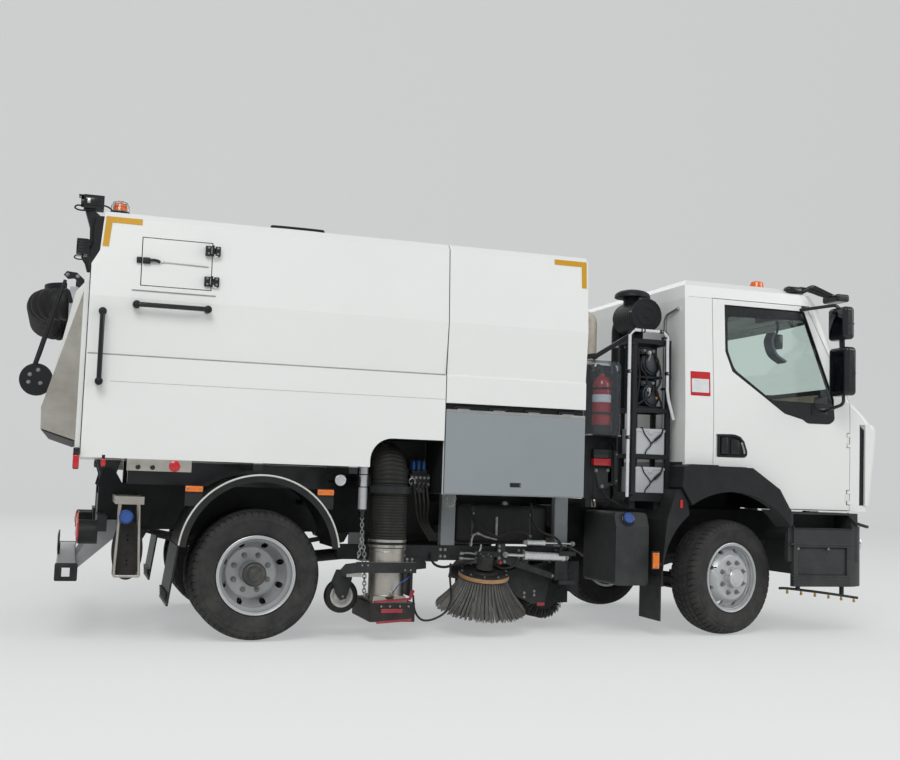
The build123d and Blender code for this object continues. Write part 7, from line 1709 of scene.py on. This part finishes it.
piece("cab_back_pipe_clips", "cab", gloss_black,
      [block((1.450, -0.845, z), (1.487, -0.803, z + 0.022), 0.004) for z in (1.45, 1.85, 2.25)])


# Cab's front: black mesh behind the lid's air slots, the deflectors' dark slots, and in the bumper
# clear headlamp glasses over silver bowls, and fog lamps.
first_slot_z, slot_pitch, slot_high = 1.314, 0.044, 0.022
slots = [first_slot_z + slot_pitch * step for step in range(5)]
slot_y = np.linspace(-0.43, 0.43, 41)
strips = []
for low in slots:
    y, z = np.meshgrid(slot_y, [low - 0.003, low + slot_high + 0.003], indexing="ij")
    front = np.stack([np.full_like(y, 0.0050), y, z], -1)
    back = np.stack([np.full_like(y, 0.0015), y, z], -1)
    sheet_points = np.concatenate([front, back[:, ::-1]], axis=1)
    strips.append(on_front((sheet_points,
                            [grid(41, 4, False, True), np.arange(4)[None], (np.arange(4) + 160)[None]])))
piece("lid_slot_mesh", "lid", moulded_black, strips)
piece("lid_slot_bars", "lid", gloss_black,
      [on_front(block((0.0045, y - 0.0025, low), (0.0100, y + 0.0025, low + slot_high), 0.001))
       for low in slots for y in np.arange(-0.40, 0.41, 0.08)])
lens_glass = clear("moulded_lamp_glass", "#eef2f3", 0.03)
lamp_y = np.array([0.814, 0.870, 0.928, 0.985, 1.040, 1.090])
lamp_x = np.array([3.186, 3.176, 3.160, 3.139, 3.112, 3.080])
for side, sign in both_sides:
    front = np.stack([np.stack([lamp_x, sign * lamp_y, np.full(6, z)], -1) for z in (0.621, 0.700, 0.779)])
    shell = np.concatenate([front, front[::-1] - (0.006, 0, 0)])
    piece("headlamp_glass_" + side, "chassis", lens_glass,
          [(shell, [grid(6, 6, True, False), (np.arange(6) * 6)[None], (np.arange(6) * 6 + 5)[None]])],
          sharp=60)
    bowl = [(-0.045, 0.010), (-0.045, 0.028), (-0.020, 0.055), (0.010, 0.068), (0.012, 0.071),
            (0.006, 0.071), (-0.050, 0.045)]
    piece("headlamp_bowls_" + side, "chassis", chrome_rod,
          [turned(bowl, (x, sign * y, 0.700), (1, -0.12 * sign, 0), 40)
           for x, y in ((3.125, 0.890), (3.085, 1.020))]
          + [block((3.022, sign * 0.816, 0.622), (3.030, sign * 1.088, 0.778), 0.002, 0)])
    piece("fog_lamp_" + side, "chassis", lens_clear,
          [turned([(-0.03, 0.044), (0.006, 0.044), (0.010, 0.036), (0.012, 0.01)],
                  (3.196, sign * 0.760, 0.480), (1, -0.16 * sign, 0), 36)])
    piece("front_corner_slot_" + side, "cab", moulded_black,
          [on_cab(plate([(3.0490, 1.007), (3.0910, 1.007), (3.0910, 1.600), (3.0490, 1.641)], 1, -0.0170,
                        -0.0035), sign)])


# Bumper steps: ribbed treads in the foot wells, the smooth panel below with its moulded ribs, bright
# bolts, a bent grip rail, and the spray pipe with its brass nozzles under the corner.
for side, sign in both_sides:
    piece("step_tread_ribs_" + side, "chassis", moulded_black,
          [block((2.425, sign * y, 0.8145), (2.935, sign * (y + 0.010), 0.8215), 0.002, 0)
           for y in np.linspace(0.975, 1.155, 8)]
          + [block((2.418, sign * 1.168, 0.808), (2.943, sign * 1.1925, 0.8225), 0.004, 0)])
    piece("step_panel_" + side, "chassis", bumper_grey,
          [block((2.446, sign * 1.150, 0.454), (2.900, sign * 1.1755, 0.677), 0.018, 1)]
          + [block((2.40, sign * 1.170, z0), (2.935, sign * 1.1930, z1), 0.004, 0)
             for z0, z1 in ((0.446, 0.460), (0.424, 0.436))]
          + [block((2.385, sign * 1.176, 0.688), (2.944, sign * 1.1935, 0.704), 0.005, 0)])
    bolted("step_bolts_" + side, "chassis", [(x, sign * 1.1905, 0.662) for x in (2.451, 2.723)],
           (0, sign, 0), 0.0085)
    grip = smooth([(2.925, sign * 1.150, 0.938), (2.940, sign * 1.178, 0.905),
                   (2.975, sign * 1.190, 0.868), (3.060, sign * 1.178, 0.846),
                   (3.125, sign * 1.135, 0.838)], 6)
    piece("step_grip_" + side, "chassis", moulded_black, [tube(grip, 0.0125, 14)])
spray = np.array([(2.330, -1.120, 0.355), (2.423, -1.125, 0.352), (2.75, -1.135, 0.318),
                  (3.045, -1.120, 0.281)])
piece("front_spray_pipe", "chassis", chassis_black,
      [tube(smooth(spray, 8), 0.010, 12)]
      + [block((x, -1.14, z), (x + 0.025, -1.11, 0.385), 0.003) for x, z in ((2.48, 0.345), (2.88, 0.300))])
nozzle_x = np.linspace(2.40, 3.01, 6)
nozzle_y, nozzle_z = (np.interp(nozzle_x, spray[:, 0], spray[:, k]) for k in (1, 2))
piece("front_spray_nozzles", "chassis", brass,
      [repeated(turned([(0.004, 0.008), (0.018, 0.008), (0.020, 0.0105), (0.032, 0.0105), (0.035, 0.006),
                        (0.036, 0.002)], origin, -up, 12),
                np.stack([nozzle_x, nozzle_y, nozzle_z - 0.004], -1))])


# Cab inside: two seats in woven cloth, their foam crowned between sewn channels and piped seams, on
# black bases bolted to the floor, with a moulded two-tone dashboard, console, wheel and monitor.
level_y = np.array([0, 1.0, 0])


def pillow(wide, long, thick, channels, along_v, along_w, centre):
    """Rings of share r: point = centre + r (wide u) y + r (long v) V +- thick sqrt(1 - r^5) W, with (u, v)
    on a sixth-power square pulled in 3 per cent between its corners, and the upper side sunk by
    11 mm exp(-((v - channel) / 9 mm)^2) at each sewn channel. A piping runs along the rim."""
    angle = np.linspace(0, 2 * pi, 72, endpoint=False)
    square = (np.abs(np.cos(angle)) ** 6 + np.abs(np.sin(angle)) ** 6) ** (-1 / 6)
    u, v = square * np.cos(angle), square * np.sin(angle)
    u, v = u * (1 - 0.03 * (1 - v ** 2)), v * (1 - 0.03 * (1 - u ** 2))
    share = np.sin(np.linspace(0.04, pi / 2, 22))
    share = np.concatenate([share, share[-2::-1]])[:, None]
    upper = np.where(np.arange(len(share)) < 22, 1.0, -1.0)[:, None]
    height = upper * thick * np.sqrt(1 - share ** 5)
    length = long * share * v
    for channel in channels:
        height = height - (upper > 0) * 0.011 * np.exp(-((length - channel) / 0.009) ** 2) * (1 - share ** 8)
    v_way, w_way = np.asarray(along_v, float), np.asarray(along_w, float)
    points = (np.asarray(centre) + (wide * share * u)[..., None] * level_y
              + length[..., None] * v_way + height[..., None] * w_way)
    rim = np.asarray(centre) + np.outer(wide * u, level_y) + np.outer(long * v, v_way)
    rows = len(share)
    body = (points, [grid(rows, 72, False, True), np.arange(72)[None],
                     (np.arange(72) + 72 * (rows - 1))[None]])
    return [body, tube_ring(rim, 0.0045, 8)]


def weave(name, light, dark):
    """Woven cloth: two crossed waves on Object coordinates set the colour between yarns and the relief."""
    material, tree, out = blank(name)
    place = add(tree, "TexCoord").outputs["Object"]
    warp = add(tree, "TexWave", {"Vector": place, "Scale": 160.0, "Distortion": 0.6}, bands_direction="Y")
    weft = add(tree, "TexWave", {"Vector": place, "Scale": 160.0, "Distortion": 0.6},
               bands_direction="DIAGONAL")
    crossed = add(tree, "Math", {0: warp.outputs["Fac"], 1: weft.outputs["Fac"]}, operation="MULTIPLY")
    tone = add(tree, "Mix", {0: crossed.outputs[0], 6: linear(dark), 7: linear(light)}, data_type="RGBA")
    relief = add(tree, "Bump", {"Height": crossed.outputs[0], "Distance": 0.0006, "Strength": 1.0})
    made = add(tree, "BsdfPrincipled",
               {"Base Color": tone.outputs[2], "Roughness": 0.9, "Normal": relief.outputs[0],
                "Sheen Weight": 0.3})
    tree.links.new(made.outputs[0], out.inputs["Surface"])
    return material


seat_cloth = weave("woven_seat_cloth", "#5a6066", "#2e3236")
dash_grey = finish("grained_dash_moulding", "#2b2e31", "#33363a", 0.62, patch=0.3, grain_mm=2.2,
                   relief_mm=0.25)
dash_tan = finish("grained_tan_moulding", "#a08e7a", "#96846f", 0.6, patch=0.3, grain_mm=2.2, relief_mm=0.2)
liner_grey = finish("felt_liner", "#b9bbb9", "#b0b2b0", 0.85, patch=0.3, grain_mm=3, relief_mm=0.2)
slate = finish("slate_shroud_moulding", "#56656f", "#4d5a63", 0.35, patch=0.2, grain_mm=6, relief_mm=0.1)
cab_floor_z, seat_y = 1.3005, 0.560
lean = radians(12)
rise, ahead = np.array([-sin(lean), 0, cos(lean)]), np.array([cos(lean), 0, sin(lean)])
for side, sign in both_sides:
    y = sign * seat_y
    cushion = piece("seat_cushion_" + side, "cab", seat_cloth,
                    pillow(0.232, 0.255, 0.060, (-0.12, 0.0, 0.12), to_front, up, (1.965, y, 1.5675)))
    back = piece("seat_back_" + side, "cab", seat_cloth,
                 pillow(0.222, 0.318, 0.057, (-0.18, -0.06, 0.06, 0.18), rise, ahead, (1.745, y, 1.900)))
    head = piece("seat_head_" + side, "cab", seat_cloth,
                 pillow(0.128, 0.083, 0.043, (), up, to_front, (1.675, y, 2.290)))
    upper = [part for way in (-1, 1) for part in
             pillow(0.045, 0.255, 0.040, (), rise, ahead, np.array([1.745, y + way * 0.175, 1.900])
                    + 0.045 * ahead)]
    lower = [part for way in (-1, 1) for part in
             pillow(0.040, 0.220, 0.030, (), to_front, up, (1.955, y + way * 0.190, 1.618))]
    bolsters = piece("seat_bolsters_" + side, "cab", seat_cloth, upper + lower)
    piece("seat_base_" + side, "cab", dash_grey,
          [block((1.765, y - 0.190, cab_floor_z), (2.135, y + 0.190, 1.330), 0.006),
           block((1.800, y - 0.165, 1.325), (2.105, y + 0.165, 1.480), 0.02, 1),
           block((1.740, y - 0.200, 1.475), (2.190, y + 0.200, 1.512), 0.012),
           block((2.12, y - 0.03, 1.485), (2.225, y + 0.03, 1.500), 0.006)]
          + [turned([(-0.01, 0.026), (0.01, 0.026)], (1.80, y + way * 0.215, 1.545), (0, 1, 0), 24)
             for way in (-1, 1)])
    piece("seat_head_stems_" + side, "cab", chrome_rod,
          [tube([(1.690, y + way * 0.055, 2.160), (1.675, y + way * 0.055, 2.260)], 0.006, 12)
           for way in (-1, 1)])
    piece("seat_belt_" + side, "cab", moulded_black,
          [carried(flat_bar(0.001, 0.024),
                   [(1.815, y * 0.62, 1.58), (1.79, y * 0.62, 1.535)])])
profile = rounded(np.array([(2.735, 1.600), (2.695, 1.720), (2.725, 1.860), (2.885, 1.845),
                            (2.885, 1.600)]), 0.018)
piece("dashboard", "cab", dash_grey, [plate(profile, 1, -0.998, 0.998)],
      replaced=("cab_interior",))
piece("dashboard_pad", "cab", dash_tan,
      [plate(rounded(np.array([(2.700, 1.735), (2.690, 1.745), (2.716, 1.868), (2.760, 1.872),
                               (2.76, 1.84)]), 0.006), 1, -0.996, 0.30)])
piece("instrument_hood", "cab", dash_grey,
      [block((2.672, 0.345, 1.775), (2.860, 0.775, 1.925), 0.035, 1),
       block((2.640, 0.335, 1.905), (2.80, 0.785, 1.935), 0.014)])
piece("instrument_glass", "cab", gloss_black,
      [block((2.668, 0.375, 1.800), (2.674, 0.745, 1.895), 0.003)])
piece("dash_vents", "cab", gloss_black,
      [block((2.6925, y - 0.055, z), (2.700, y + 0.055, z + 0.008), 0.002)
       for y in (-0.88, -0.20, 0.14, 0.90) for z in np.arange(1.748, 1.790, 0.013)])
piece("centre_console", "cab", dash_grey,
      [block((2.805, -0.345, cab_floor_z), (2.865, 0.345, 1.615), 0.012),
       block((2.720, -0.17, 1.44), (2.815, 0.17, 1.64), 0.03, 1),
       block((2.10, -0.16, cab_floor_z), (2.56, 0.16, 1.470), 0.03)])
piece("gear_lever", "cab", gloss_black,
      [tube([(2.46, 0.06, 1.46), (2.45, 0.07, 1.66)], 0.010, 12),
       turned([(-0.02, 0.018), (0.01, 0.028), (0.04, 0.026), (0.055, 0.008)], (2.449, 0.071, 1.66), up,
              24)])
wheel_axis = np.array([-0.140, 0, 0.220]) / np.linalg.norm([0.140, 0.220])
wheel_at = np.array([2.631, seat_y, 1.946])
rim_way = around(wheel_axis, 72)
piece("steering_wheel", "cab", moulded_black,
      [tube_ring(wheel_at + 0.215 * rim_way, 0.0155, 14),
       turned([(-0.035, 0.055), (0.006, 0.075), (0.022, 0.070), (0.030, 0.045), (0.032, 0.004)],
              wheel_at - 0.012 * wheel_axis, wheel_axis, 40)]
      + [tube([wheel_at - 0.01 * wheel_axis + 0.05 * rim_way[k], wheel_at + 0.207 * rim_way[k]], 0.012, 12)
         for k in (12, 36, 60)])
piece("steering_column", "cab", dash_grey,
      [tube([(2.775, seat_y, 1.720), (2.640, seat_y, 1.932)], 0.034, 28),
       tube([(2.665, 0.40, 1.905), (2.655, 0.52, 1.90)], 0.007, 10),
       tube([(2.665, 0.72, 1.905), (2.655, 0.60, 1.90)], 0.007, 10)])
monitor_arm = [(2.715, -0.46, 2.40), (2.742, -0.46, 2.47), (2.72, -0.46, 2.56), (2.690, -0.46, 2.618)]
piece("camera_monitor", "cab", gloss_black,
      [block((2.680, -0.530, 2.290), (2.752, -0.400, 2.415), 0.016)] + wires([monitor_arm], 0.010, 12, 6))
shroud = smooth([(2.675, -0.465, 2.428), (2.650, -0.465, 2.35), (2.690, -0.465, 2.245),
                 (2.785, -0.465, 2.185)], 8)
piece("monitor_shroud", "cab", slate, [carried(flat_bar(0.010, 0.060), shroud)])
liner = [(1.79, 1.335), (1.79, 2.05), (1.86, 1.975), (2.33, 1.655), (2.54, 1.610), (2.83, 1.700),
         (2.895, 1.690), (2.895, 1.03), (2.40, 1.03), (2.29, 1.18), (2.05, 1.335)]
for side, sign in both_sides:
    piece("door_liner_" + side, "door_" + side, liner_grey,
          [on_cab(plate(rounded(liner, 0.02), 1, -0.0625, -0.0545), sign)])
    piece("door_armrest_" + side, "door_" + side, dash_grey,
          [on_cab(block((2.05, -0.105, 1.555), (2.50, -0.058, 1.600), 0.012, 1), sign),
           on_cab(block((2.45, -0.085, 1.15), (2.80, -0.058, 1.30), 0.014, 1), sign)])
piece("cab_liner", "cab", liner_grey,
      [block((1.545, -1.00, 2.590), (2.62, 1.00, 2.606), 0.006, 1),
       block((1.543, -1.00, 1.32), (1.551, 1.00, 2.585), 0.003, 0)])
piece("sun_visors", "cab", dash_grey,
      [block((2.60, y - 0.23, 2.520), (2.655, y + 0.23, 2.590), 0.010, 1) for y in (-seat_y, seat_y)])
